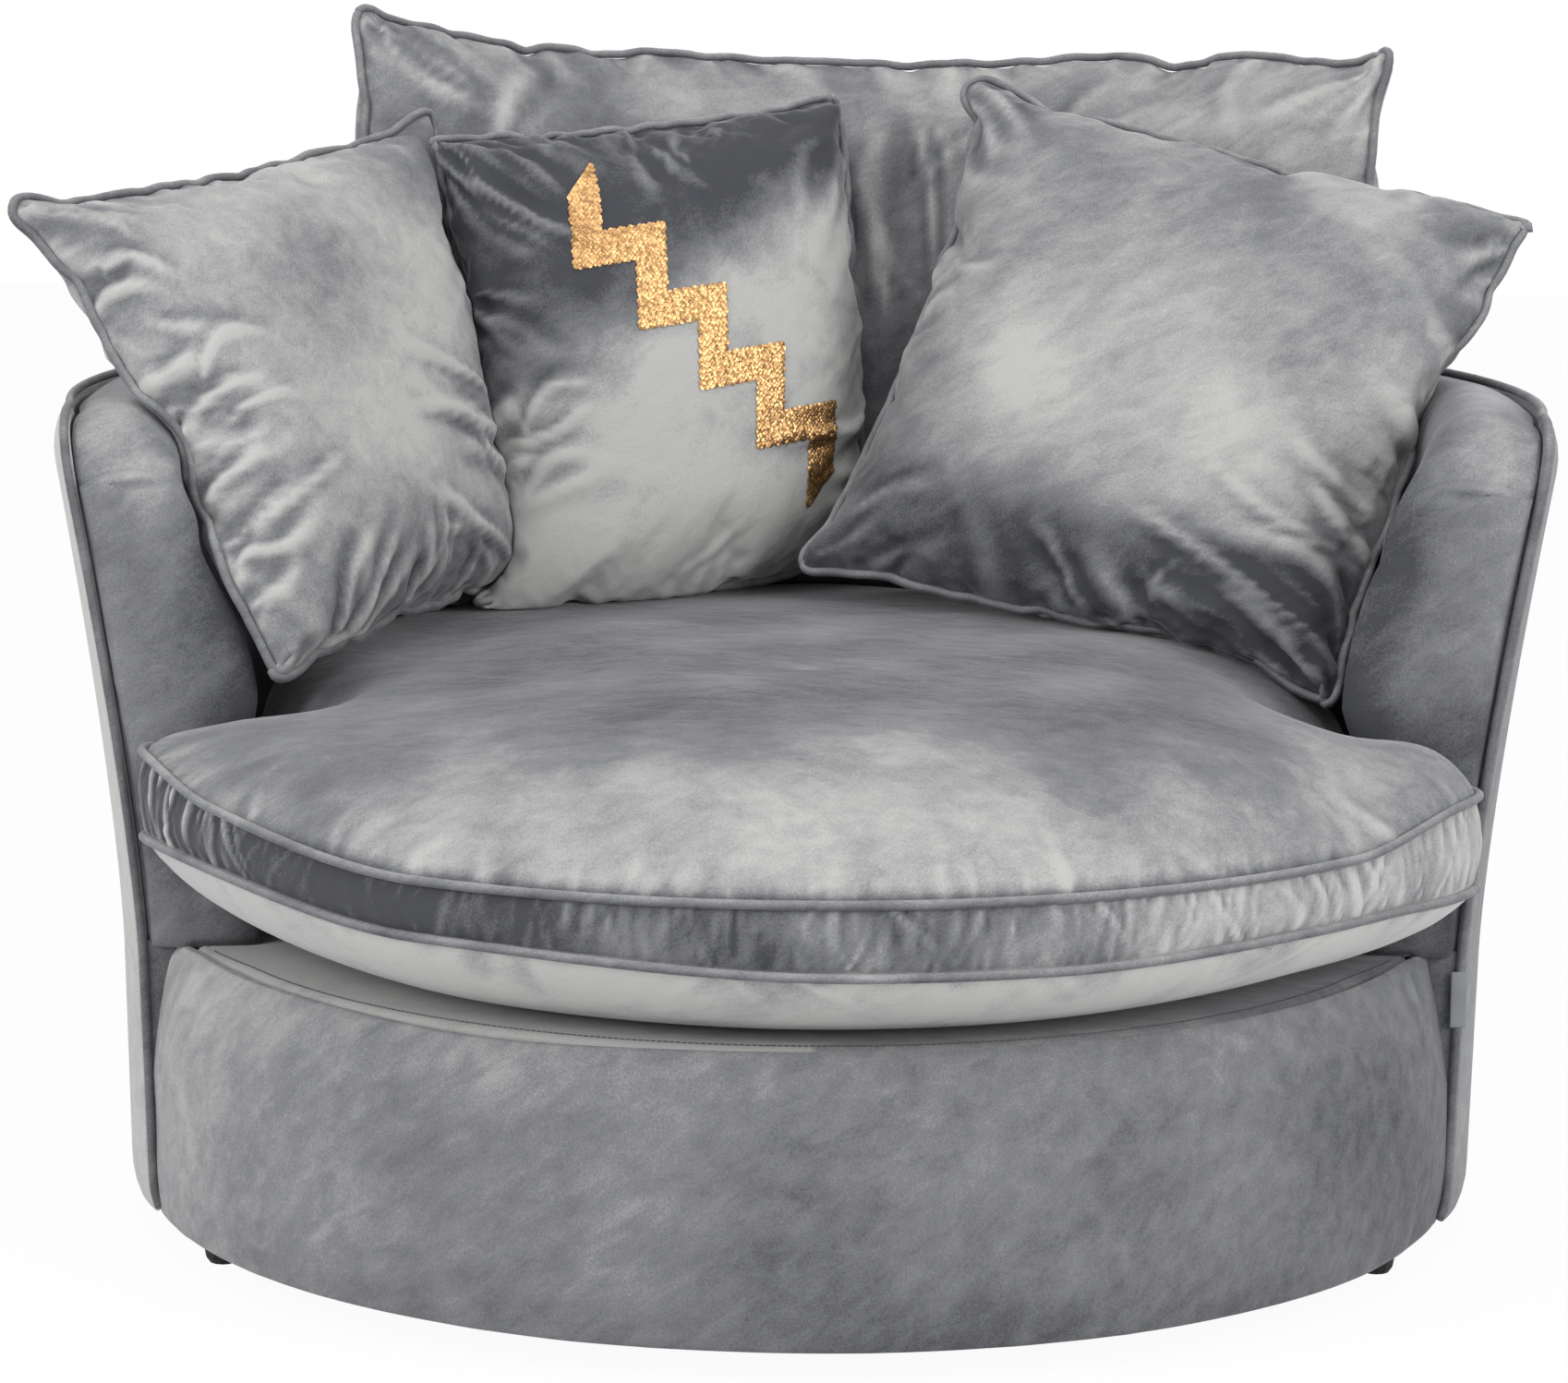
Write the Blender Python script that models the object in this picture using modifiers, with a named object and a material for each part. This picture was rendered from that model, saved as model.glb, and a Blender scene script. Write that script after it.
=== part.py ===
"""Round swivel armchair: static swivel base, turning tub, and loose seat, back and scatter cushions.

Metres, +Z up. The front faces -Y. Every piece is drawn about the swivel axis, and the root empty then
carries the whole chair to its place, so that the middle of its floor outline is the origin.
"""

import math

import bmesh
import bpy
from mathutils import Matrix, Vector
from mathutils.bvhtree import BVHTree

# Radius of the tub's outer face at the floor, which everything round the tub follows
BASE_R = 0.583

# Place of the swivel axis, so that the bounding box is centred on the origin
AXIS_X = -0.003
AXIS_Y = -0.0215

# Fits
GAP = 0.0003
SOFT_GAP = 0.0008
OWN_GROOVE = 0.00015
BACK_SEAM_GAP = 0.0018
SCATTER_SEAM_SINK = 0.0005
PRESS_ROUNDS = 8
PRESS_DRAW = 0.6
PANEL_FIT = 0.0008
WALL_FIT = 0.0014
SLIDE_GAP = 0.0015

# Static base
FOOT_INSET = 0.0460
FOOT_TURN = 25.66
FOOT_X = (BASE_R - FOOT_INSET) * math.cos(math.radians(FOOT_TURN))
FOOT_Y = (BASE_R - FOOT_INSET) * math.sin(math.radians(FOOT_TURN))
FOOT_R = 0.016
FOOT_CONTACT_R = 0.009
FOOT_HEIGHT = 0.022
FOOT_STEM_R = 0.004
FOOT_STEM_LENGTH = 0.012
RAIL_WIDTH = 0.060
RAIL_THICKNESS = 0.018
RAIL_OVERHANG = 0.010

# Turntable bearing
PLATE_SIDE = 0.280
PLATE_THICKNESS = 0.003
PLATE_CORNER = 0.020
BALL_R = 0.005
BALL_CIRCLE_R = 0.105
BALL_COUNT = 10
CAGE_WIDTH = 0.022
CAGE_THICKNESS = 0.003
PIN_R = 0.010
PIN_HEAD_R = 0.018
PIN_HEAD_HEIGHT = 0.006
PIN_CLEARANCE = 0.0006
BOLT_R = 0.004
BOLT_HEAD_R = 0.008
BOLT_HEAD_HEIGHT = 0.0035
BOLT_LENGTH = 0.012
LOWER_BOLT_CIRCLE_R = 0.135
UPPER_BOLT_PITCH = 0.230

# Tub frame
SKIRT_Z = 0.025
BOARD_THICKNESS = 0.018
DUST_COVER_THICKNESS = 0.0015
DUST_COVER_BORE_R = 0.215
DUST_COVER_MARGIN = 0.006
BASE_POST_SIDE = 0.038
BASE_POST_COUNT = 6
SEAT_RING_TOP = 0.221
SEAT_RING_THICKNESS = 0.018
SEAT_RING_WIDTH = 0.163
SEAT_RING_BORE_R = BASE_R - SEAT_RING_WIDTH
POST_INSET = 0.098
POST_CIRCLE_R = BASE_R - POST_INSET
WEB_WIDTH = 0.060
WEB_THICKNESS = 0.002
WEB_COUNT = 3
WEB_PITCH = 0.190
WEB_HOLD = 0.030
POST_SIDE = 0.036
WALL_POST_INSET = 0.045
WALL_POST_R = BASE_R - WALL_POST_INSET
BACK_POST_ANGLES = (-55.0, 0.0, 55.0)
ARM_POST_BACKSET = 0.070
RIM_RAIL_THICKNESS = 0.018
RIM_RAIL_WIDTH = 0.055
RIM_RAIL_DROP = 0.034

# Outer panel and apron
PANEL_THICKNESS = 0.010
FLARE_START_Z = 0.243
FLARE_R = 0.061
FLARE_POWER = 1.35
BASE_SWELL = 0.006
RIM_Z = 0.706
APRON_COLUMNS = 24
PANEL_COLUMNS = 24
RING_FIT = 0.0010
RIM_CURL = 0.016
RIM_CURL_DEPTH = 0.045
SKIRT_TUCK = 0.006
SKIRT_TUCK_DEPTH = 0.030
ARM_FRONT_Y = -0.168
ARM_CORNER_R = 0.055
ARM_EDGE_TUCK = 0.005
ARM_EDGE_TUCK_DEPTH = 0.080
APRON_TOP_Z = 0.258
APRON_TOP_INSET = 0.034
APRON_SWELL_INSET = 0.005
APRON_BOTTOM_INSET = 0.012
APRON_TOP_R = BASE_R - APRON_TOP_INSET
APRON_SWELL_R = BASE_R - APRON_SWELL_INSET
APRON_BOTTOM_R = BASE_R - APRON_BOTTOM_INSET
APRON_END_TUCK = 0.008
APRON_END_SETBACK = 0.0036

# Padded arm and back wall
WALL_THICKNESS = 0.108
WALL_CROWN = 0.010
WALL_ROUND = 0.045
PAD_THICKNESS = 0.032
ARM_PILLOW = 0.010
DECK_TOP_Z = 0.2595
DECK_FRONT_INSET = 0.048
DECK_FRONT_R = BASE_R - DECK_FRONT_INSET
DECK_EDGE_ROUND = 0.006

# Pipings and tag
PIPING_R = 0.0045
TAG_WIDTH = 0.014
TAG_THICKNESS = 0.0008
TAG_GAP = 0.0015
TAG_TOP_Z = 0.246
TAG_BOTTOM_Z = 0.198

# Seat cushion
SEAT_OVERHANG = 0.007
SEAT_SIDE_INSET = 0.111
SEAT_BACK_INSET = 0.133
SEAT_FRONT_R = BASE_R + SEAT_OVERHANG
SEAT_SIDE_R = BASE_R - SEAT_SIDE_INSET
SEAT_BACK_Y = BASE_R - SEAT_BACK_INSET
EAR_CLEARANCE = 0.011
EAR_ROUND = 0.028
EAR_INNER_ROUND = 0.022
SEAT_UPPER_SEAM_Z = 0.390
SEAT_LOWER_SEAM_Z = 0.326
SEAT_CROWN = 0.118
SEAT_FRONT_FULLNESS = 3.5
SEAT_SIDE_FULLNESS = 8.0
SEAT_SHOULDER = 0.6
SEAT_BORDER_SWELL = 0.006
SEAT_LEFT_EAR_LIFT = 0.034
SEAT_EAR_LIFT = 0.010
SEAT_MIDDLE_Y = -0.200

# Back cushion
BACK_SIDE_INSET = 0.053
BACK_WIDTH = 2.0 * (BASE_R - BACK_SIDE_INSET)
BACK_HEIGHT = 0.530
BACK_THICKNESS = 0.190
BACK_MIDDLE_X = 0.062
BACK_MIDDLE_Z = 0.740
BACK_LOWER_SETBACK = 0.208
BACK_UPPER_SETBACK = 0.093
BACK_LOWER_BEND_INSET = 0.153
BACK_UPPER_BEND_EXCESS = 0.057
BACK_LOWER_Y = BASE_R - BACK_LOWER_SETBACK
BACK_UPPER_Y = BASE_R - BACK_UPPER_SETBACK
BACK_LOWER_BEND_R = BASE_R - BACK_LOWER_BEND_INSET
BACK_UPPER_BEND_R = BASE_R + BACK_UPPER_BEND_EXCESS
BACK_TOP_SAG = 0.030
BACK_CORNER_LIFT = 0.038

# Scatter cushions: thickness, draw of the sides, and the corners, which are upper left, upper right,
# lower left and lower right as seen from the front. A corner is its turn round the tub in degrees from
# the back's middle, its distance inside the base's radius and its height
SCATTER_THICKNESS = 0.150
SCATTER_PULL = 0.060
LEFT_CORNERS = (
    (-99.87, -0.0585, 0.9120),
    (-54.94, 0.1652, 0.9310),
    (-114.49, 0.1006, 0.5030),
    (-61.12, 0.2724, 0.5220),
)
CENTRE_CORNERS = (
    (-59.39, 0.1903, 0.9160),
    (4.13, 0.2221, 0.9470),
    (-70.28, 0.2866, 0.5160),
    (6.88, 0.2909, 0.5650),
)
RIGHT_CORNERS = (
    (23.70, 0.1899, 0.9590),
    (77.64, -0.0712, 0.8560),
    (-0.74, 0.4280, 0.5410),
    (101.41, 0.1255, 0.4610),
)

# Sequin appliqué on the centre scatter cushion
MOTIF_START_SHARE = (-0.50, 0.64)
MOTIF_END_SHARE = (0.70, -0.66)
MOTIF_TURNS = 9
MOTIF_COLUMNS = 27
MOTIF_SWING_SHARE = 0.11
MOTIF_WIDTH_SHARE = 0.10
MOTIF_THICKNESS = 0.0010
MOTIF_GAP = 0.0018

# Finishes: colour, roughness, metallic
FINISHES = {
    "velvet": ((0.25, 0.26, 0.28), 0.75, 0.0),
    "velvet_light": ((0.42, 0.43, 0.45), 0.7, 0.0),
    "velvet_dark": ((0.12, 0.12, 0.14), 0.8, 0.0),
    "sequin_gold": ((0.48, 0.30, 0.17), 0.3, 0.9),
    "black_plastic": ((0.012, 0.012, 0.013), 0.5, 0.0),
    "timber": ((0.50, 0.36, 0.22), 0.65, 0.0),
    "plywood": ((0.58, 0.45, 0.30), 0.7, 0.0),
    "zinc_steel": ((0.60, 0.60, 0.58), 0.35, 1.0),
    "webbing": ((0.03, 0.03, 0.035), 0.85, 0.0),
    "dust_cloth": ((0.015, 0.015, 0.016), 0.9, 0.0),
    "woven_tag": ((0.20, 0.20, 0.21), 0.8, 0.0),
}

# Heights that follow from the sizes above
RAIL_BOTTOM = FOOT_HEIGHT + GAP
RAIL_TOP = RAIL_BOTTOM + RAIL_THICKNESS
LOWER_PLATE_Z = RAIL_TOP + GAP
BALL_Z = LOWER_PLATE_Z + PLATE_THICKNESS + GAP + BALL_R
UPPER_PLATE_Z = BALL_Z + BALL_R + GAP
BOARD_Z = UPPER_PLATE_Z + PLATE_THICKNESS + GAP
BOARD_TOP = BOARD_Z + BOARD_THICKNESS
RING_Z = SEAT_RING_TOP - SEAT_RING_THICKNESS
WALL_BOTTOM = SEAT_RING_TOP + GAP
RIM_RAIL_Z = RIM_Z - RIM_RAIL_DROP - RIM_RAIL_THICKNESS - PAD_THICKNESS / 2
SEAT_BOTTOM_Z = DECK_TOP_Z + GAP

parts = None
cutters = None


def clear_scene():
    for thing in list(bpy.data.objects):
        bpy.data.objects.remove(thing, do_unlink=True)


def new_collection(name):
    made = bpy.data.collections.new(name)
    bpy.context.scene.collection.children.link(made)
    return made


def new_material(name, finish):
    colour, roughness, metallic = FINISHES[finish]
    made = bpy.data.materials.new(name)
    made.use_nodes = True
    shader = made.node_tree.nodes["Principled BSDF"]
    shader.inputs["Base Color"].default_value = (*colour, 1.0)
    shader.inputs["Roughness"].default_value = roughness
    shader.inputs["Metallic"].default_value = metallic
    return made


def new_empty(name, parent=None):
    made = bpy.data.objects.new(name, None)
    parts.objects.link(made)
    made.parent = parent
    return made


def add_part(name, data, finish, parent):
    made = bpy.data.objects.new(name, data)
    parts.objects.link(made)
    made.parent = parent
    data.materials.append(new_material(name + "_finish", finish))
    return made


def add_cutter(name, data, parent=None):
    made = bpy.data.objects.new(name, data)
    cutters.objects.link(made)
    made.parent = parent
    made.hide_render = True
    made.display_type = "WIRE"
    return made


def mesh_from(name, bm, smooth=False):
    bmesh.ops.recalc_face_normals(bm, faces=bm.faces)
    data = bpy.data.meshes.new(name)
    bm.to_mesh(data)
    bm.free()
    if smooth:
        data.shade_smooth()
    return data


def box_mesh(name, size):
    bm = bmesh.new()
    bmesh.ops.create_cube(bm, size=1.0)
    bmesh.ops.scale(bm, vec=size, verts=bm.verts)
    return mesh_from(name, bm)


def cylinder_mesh(name, radius, height, segments=16):
    bm = bmesh.new()
    bmesh.ops.create_cone(
        bm, cap_ends=True, segments=segments, radius1=radius, radius2=radius, depth=height
    )
    return mesh_from(name, bm)


def profile_mesh(name, profile, closed):
    """Edges through (radius, height) points, for a Screw modifier to turn."""
    data = bpy.data.meshes.new(name)
    count = len(profile)
    edges = [(i, i + 1) for i in range(count - 1)]
    if closed:
        edges.append((count - 1, 0))
    data.from_pydata([(r, 0.0, z) for r, z in profile], edges, [])
    return data


def add_turned(name, profile, finish, parent, steps=24, closed=False):
    """A body turned about its own Z axis; the profile runs down its outer side."""
    made = add_part(name, profile_mesh(name, profile, closed), finish, parent)
    turn_profile(made, steps)
    return made


def turn_profile(obj, steps):
    screw = obj.modifiers.new("turn", "SCREW")
    screw.steps = steps
    screw.render_steps = steps
    screw.use_merge_vertices = True
    screw.merge_threshold = 0.00001
    screw.use_smooth_shade = True


def ring_profile(inner, outer, bottom, top):
    return [(outer, top), (outer, bottom), (inner, bottom), (inner, top)]


def turned_radius(radius, steps):
    """The radius of a turned body's flats, which lie inside its corners."""
    return radius * math.cos(math.pi / steps)


def cut(obj, cutter, name="cut"):
    boolean = obj.modifiers.new(name, "BOOLEAN")
    boolean.operation = "DIFFERENCE"
    boolean.solver = "EXACT"
    boolean.object = cutter


def evaluated_mesh(obj, name):
    bpy.context.view_layer.update()
    graph = bpy.context.evaluated_depsgraph_get()
    return bpy.data.meshes.new_from_object(obj.evaluated_get(graph))


def loft_mesh(name, rings, smooth=True):
    """A closed body through rings of equally many points, with a face at each end."""
    bm = bmesh.new()
    loops = [[bm.verts.new(point) for point in ring] for ring in rings]
    count = len(rings[0])
    for lower, upper in zip(loops, loops[1:]):
        for i in range(count):
            j = (i + 1) % count
            bm.faces.new((lower[i], lower[j], upper[j], upper[i]))
    bm.faces.new(loops[0])
    bm.faces.new(loops[-1])
    bmesh.ops.remove_doubles(bm, verts=bm.verts, dist=0.00001)
    return mesh_from(name, bm, smooth)


def sheet_mesh(name, columns, rows, place):
    """A grid whose corner (u, v), each from 0 to 1, lies at place(u, v)."""
    bm = bmesh.new()
    bmesh.ops.create_grid(bm, x_segments=columns, y_segments=rows, size=0.5)
    for vertex in bm.verts:
        vertex.co = place(vertex.co.x + 0.5, vertex.co.y + 0.5)
    return mesh_from(name, bm, smooth=True)


def add_tube(name, points, radius, finish, parent, cyclic=False):
    curve = bpy.data.curves.new(name, "CURVE")
    curve.dimensions = "3D"
    curve.bevel_depth = radius
    curve.bevel_resolution = 1
    curve.use_fill_caps = True
    spline = curve.splines.new("POLY")
    spline.points.add(len(points) - 1)
    for slot, point in zip(spline.points, points):
        slot.co = (*point, 1.0)
    spline.use_cyclic_u = cyclic
    return add_part(name, curve, finish, parent)


def smoothstep(x):
    x = min(max(x, 0.0), 1.0)
    return x * x * (3.0 - 2.0 * x)


# The tub's surfaces


def rim_height(y):
    """Height of the rim over a point at depth y: level, and rounded down at the arms' fronts."""
    back = min(max(y - ARM_FRONT_Y, 0.0), ARM_CORNER_R)
    return RIM_Z - ARM_CORNER_R + math.sqrt(ARM_CORNER_R**2 - (ARM_CORNER_R - back) ** 2)


def flare_radius(z):
    rise = max(z - FLARE_START_Z, 0.0) / (RIM_Z - FLARE_START_Z)
    swell = BASE_SWELL * min(z / FLARE_START_Z, 1.0)
    return BASE_R + swell + FLARE_R * rise**FLARE_POWER


def outer_radius(z, y, top):
    """Radius of the outer panel's face at height z and depth y, under a rim at height top."""
    behind = min(max((y - ARM_FRONT_Y) / ARM_CORNER_R, 0.0), 1.0)
    curl = RIM_CURL * behind * max(1.0 - (top - z) / RIM_CURL_DEPTH, 0.0) ** 2
    skirt = SKIRT_TUCK * max(1.0 - (z - SKIRT_Z) / SKIRT_TUCK_DEPTH, 0.0) ** 2
    near_edge = max(1.0 - (y - ARM_FRONT_Y) / ARM_EDGE_TUCK_DEPTH, 0.0) ** 2
    tuck = ARM_EDGE_TUCK * max(1.0 - z / RIM_Z, 0.0) * near_edge
    return flare_radius(z) - curl - skirt - tuck


def panel_inner_radius(z, y, top):
    """Radius that fits inside the outer panel, whose thickness is square to its face."""
    slope = (outer_radius(z + 0.001, y, top) - outer_radius(z - 0.001, y, top)) / 0.002
    return outer_radius(z, y, top) - PANEL_THICKNESS * math.hypot(1.0, slope) - PANEL_FIT


def around(radius, share, front_y):
    """Plan point at this radius, share of the way from the back's middle to the plane y = front_y."""
    angle = share * math.acos(front_y / radius)
    return Vector((radius * math.sin(angle), radius * math.cos(angle)))


def outer_point(share, rise, inset=0.0):
    """A point of the outer face: share from -1 (left arm) to 1 (right arm), rise from 0 to 1."""
    depth = around(BASE_R, share, ARM_FRONT_Y).y
    top = rim_height(depth)
    z = SKIRT_Z + rise * (top - SKIRT_Z)
    radius = outer_radius(z, depth, top) - inset
    flat = around(radius, share, ARM_FRONT_Y)
    return Vector((flat.x, flat.y, z))


def end_shares(fine, coarse_count):
    """Shares from -1 to 1, close together near both ends."""
    half_length = BASE_R * math.acos(ARM_FRONT_Y / BASE_R)
    near = [1.0 - distance / half_length for distance in fine]
    last = near[-1]
    middle = [last * (1.0 - 2.0 * i / coarse_count) for i in range(1, coarse_count)]
    return [-s for s in near] + [-s for s in middle] + near[::-1]


PANEL_RISES = (0.0, 0.044, 0.15, 0.30, 0.45, 0.60, 0.74, 0.86, 0.934, 0.972, 1.0)


def panel_shares():
    corner = [ARM_CORNER_R * (1.0 - math.cos(math.radians(turn))) for turn in (0.0, 22.5, 45.0, 67.5, 90.0)]
    return end_shares((*corner, 0.085), PANEL_COLUMNS)


def add_outer_panel(parent):
    shares = panel_shares()

    def place(u, v):
        share = shares[round(u * (len(shares) - 1))]
        return outer_point(share, PANEL_RISES[round(v * (len(PANEL_RISES) - 1))])

    data = sheet_mesh("outer_panel", len(shares) - 1, len(PANEL_RISES) - 1, place)
    made = add_part("outer_panel", data, "velvet", parent)
    solidify(made, PANEL_THICKNESS, Vector((1.0, 0.0, 0.0)))
    return made


def solidify(obj, thickness, outward):
    """Thickens a sheet inwards; its farthest face in the outward direction tells its outer side."""
    data = obj.data
    face = max(data.polygons, key=lambda polygon: polygon.center.dot(outward))
    side = 1.0 if face.normal.dot(outward) > 0.0 else -1.0
    modifier = obj.modifiers.new("thickness", "SOLIDIFY")
    modifier.thickness = thickness
    modifier.offset = -1.0 * side
    modifier.use_even_offset = True


def apron_radius(z):
    rise = (z - SKIRT_Z) / (APRON_TOP_Z - SKIRT_Z)
    lower = APRON_SWELL_R - (APRON_SWELL_R - APRON_BOTTOM_R) * max(1.0 - rise / 0.25, 0.0) ** 2
    return lower - (APRON_SWELL_R - APRON_TOP_R) * max((rise - 0.45) / 0.55, 0.0) ** 2.6


def apron_place(z, share, inset=0.0):
    """Plan point of the apron's face, share of the way from its middle to its end by the arm."""
    radius = apron_radius(z) - APRON_END_TUCK * share**4 - inset
    flat = around(radius, share, -ARM_FRONT_Y + APRON_END_SETBACK)
    return Vector((flat.x, -flat.y))


def add_apron(parent):
    rises = (0.0, 0.08, 0.22, 0.42, 0.60, 0.76, 0.90, 1.0)

    def place(u, v):
        z = SKIRT_Z + (APRON_TOP_Z - SKIRT_Z) * rises[round(v * (len(rises) - 1))]
        return Vector((*apron_place(z, 2.0 * u - 1.0), z))

    data = sheet_mesh("front_apron", APRON_COLUMNS, len(rises) - 1, place)
    made = add_part("front_apron", data, "velvet", parent)
    solidify(made, PANEL_THICKNESS, Vector((0.0, -1.0, 0.0)))
    return made


def tub_outline(bottom, top):
    """Plan of a board that fits inside the apron and the outer panel between two heights."""
    points = []
    slope = (apron_radius(top + 0.001) - apron_radius(top - 0.001)) / 0.002
    inset = PANEL_THICKNESS * math.hypot(1.0, slope) + RING_FIT
    for index in range(APRON_COLUMNS + 1):
        share = 2.0 * index / APRON_COLUMNS - 1.0
        points.append(min((apron_place(z, share, inset) for z in (bottom, top)), key=lambda p: p.length))
    left, right = points[0], points[-1]
    points.insert(0, Vector((left.x, ARM_FRONT_Y + GAP)))
    points.append(Vector((right.x, ARM_FRONT_Y + GAP)))
    for share in panel_shares()[::-1]:
        depth = around(BASE_R, share, ARM_FRONT_Y).y
        radius = min(panel_inner_radius(z, depth, RIM_Z) for z in (bottom, top))
        points.append(around(radius, share, ARM_FRONT_Y + GAP))
    return points


def add_board(name, bottom, top, finish, parent):
    outline = tub_outline(bottom, top)
    rings = [[Vector((point.x, point.y, z)) for point in outline] for z in (bottom, top)]
    return add_part(name, loft_mesh(name, rings, smooth=False), finish, parent)


def wall_section(top, depth, inset, bottom):
    """(radius, height) points round the padded wall, from its inner foot over the top to its outer foot."""
    points = [(outer_radius(bottom, depth, top) - WALL_THICKNESS + inset, bottom)]
    shoulder = top - WALL_ROUND
    for share in (0.35, 0.7):
        z = WALL_BOTTOM + share * (shoulder - WALL_BOTTOM)
        points.append((outer_radius(z, depth, top) - WALL_THICKNESS + inset, z))
    crown = top + WALL_CROWN - inset
    inner_r = outer_radius(shoulder, depth, top) - WALL_THICKNESS + inset
    outer_r = panel_inner_radius(top, depth, top) - WALL_FIT + PANEL_FIT - inset
    middle_r = (inner_r + outer_r) / 2.0
    for degrees in (0, 22, 45, 68):
        turn = math.radians(degrees)
        points.append(
            (
                middle_r - (middle_r - inner_r) * math.cos(turn),
                shoulder + (crown - shoulder) * math.sin(turn),
            )
        )
    points.append((middle_r, crown))
    points.append((outer_r - 0.35 * (outer_r - middle_r), crown - 0.12 * WALL_ROUND))
    points.append((outer_r - 0.0005, top - PIPING_R))
    for rise in PANEL_RISES[-2:3:-1]:
        z = SKIRT_Z + rise * (top - SKIRT_Z)
        points.append((panel_inner_radius(z, depth, top) - WALL_FIT + PANEL_FIT - inset, z))
    points.append((panel_inner_radius(bottom, depth, top) - WALL_FIT + PANEL_FIT - inset, bottom))
    return points


def wall_ring(share, front_y, inset, bottom=WALL_BOTTOM):
    depth = around(BASE_R, share, ARM_FRONT_Y).y
    section = wall_section(rim_height(depth), depth, inset, bottom)
    ring = []
    for radius, z in section:
        flat = around(radius, share, front_y)
        ring.append(Vector((flat.x, flat.y, z)))
    return ring


def arm_front_rings(side):
    """The pillowed front of an arm, which stands on the apron's top edge."""
    foot = APRON_TOP_Z + PANEL_FIT
    rings = [wall_ring(side, ARM_FRONT_Y, 0.0, foot)]
    for turn, share in ((35.0, 0.18), (70.0, 0.66)):
        front_y = ARM_FRONT_Y - ARM_PILLOW * math.sin(math.radians(turn))
        rings.append(wall_ring(side, front_y, ARM_PILLOW * share, foot))
    return rings


def add_inner_padding(parent):
    """The padded wall: a solid swept round the tub, hollowed from outside and below for the frame."""
    shares = panel_shares()
    rings = [wall_ring(share, ARM_FRONT_Y, 0.0) for share in shares]
    data = loft_mesh("inner_padding", arm_front_rings(-1.0)[::-1] + rings + arm_front_rings(1.0))
    made = add_part("inner_padding", data, "velvet", parent)
    cut(made, add_cutter("frame_space", frame_space_mesh(), parent))
    return made


def frame_space_mesh():
    hollow_front = ARM_FRONT_Y + PAD_THICKNESS
    ceiling = RIM_Z - PAD_THICKNESS
    rings = []
    for i in range(31):
        share = -1.0 + i / 15.0
        ring = []
        for z in (WALL_BOTTOM - 0.02, WALL_BOTTOM, 0.35, 0.5, ceiling):
            radius = flare_radius(z) - WALL_THICKNESS + PAD_THICKNESS
            ring.append((radius, z))
        ring.append((flare_radius(RIM_Z) + 0.05, ceiling))
        ring.append((flare_radius(RIM_Z) + 0.05, WALL_BOTTOM - 0.02))
        placed = []
        for radius, z in ring:
            flat = around(radius, share, hollow_front)
            placed.append(Vector((flat.x, flat.y, z)))
        rings.append(placed)
    return loft_mesh("frame_space", rings, smooth=False)


# Static base and bearing


def foot_profile():
    dome = []
    for degrees in (0, 35, 70):
        turn = math.radians(degrees)
        dome.append(
            (
                FOOT_CONTACT_R + (FOOT_R - FOOT_CONTACT_R) * math.cos(turn),
                FOOT_HEIGHT * 0.55 * (1.0 - math.sin(turn)),
            )
        )
    return [
        (0.0, FOOT_HEIGHT + FOOT_STEM_LENGTH),
        (FOOT_STEM_R, FOOT_HEIGHT + FOOT_STEM_LENGTH),
        (FOOT_STEM_R, FOOT_HEIGHT),
        (FOOT_R, FOOT_HEIGHT),
        *dome,
        (FOOT_CONTACT_R, 0.0),
        (0.0, 0.0),
    ]


def add_static_base(parent):
    foot_r = math.hypot(FOOT_X, FOOT_Y)
    angle = math.atan2(FOOT_Y, FOOT_X)
    rail_length = 2.0 * (foot_r + RAIL_OVERHANG)
    rails = {}
    for name, turn in (("base_rail_lower", angle), ("base_rail_upper", -angle)):
        rail = add_part(name, box_mesh(name, (rail_length, RAIL_WIDTH, RAIL_THICKNESS)), "timber", parent)
        rail.location.z = RAIL_BOTTOM + RAIL_THICKNESS / 2.0
        rail.rotation_euler.z = turn
        rails[name] = rail
    notch_size = (RAIL_WIDTH * 2.6, RAIL_WIDTH + 2.0 * GAP, RAIL_THICKNESS)
    for name, other_turn, rise in (
        ("base_rail_lower", -angle, 0.5),
        ("base_rail_upper", angle, -0.5),
    ):
        notch = add_cutter(name + "_notch", box_mesh(name + "_notch", notch_size), parent)
        notch.location.z = RAIL_BOTTOM + RAIL_THICKNESS * (0.5 + rise) - math.copysign(GAP / 2.0, rise)
        notch.rotation_euler.z = other_turn
        cut(rails[name], notch, "halving")
    foot_places = {
        "foot_front_left": (-FOOT_X, -FOOT_Y),
        "foot_front_right": (FOOT_X, -FOOT_Y),
        "foot_rear_left": (-FOOT_X, FOOT_Y),
        "foot_rear_right": (FOOT_X, FOOT_Y),
    }
    for name, (x, y) in foot_places.items():
        foot = add_turned(name, foot_profile(), "black_plastic", parent, steps=12)
        foot.location = (x, y, 0.0)
        hole = add_cutter(name + "_hole", stem_hole_mesh(name), parent)
        hole.location = (x, y, RAIL_BOTTOM)
        rail = rails["base_rail_lower"] if x * y > 0.0 else rails["base_rail_upper"]
        cut(rail, hole, "stem hole")
    return rails


def stem_hole_mesh(name):
    return cylinder_mesh(name + "_hole", FOOT_STEM_R + 2.0 * GAP, 2.0 * (FOOT_STEM_LENGTH + GAP), 12)


def plate_mesh(name):
    return box_mesh(name, (PLATE_SIDE, PLATE_SIDE, PLATE_THICKNESS))


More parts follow.
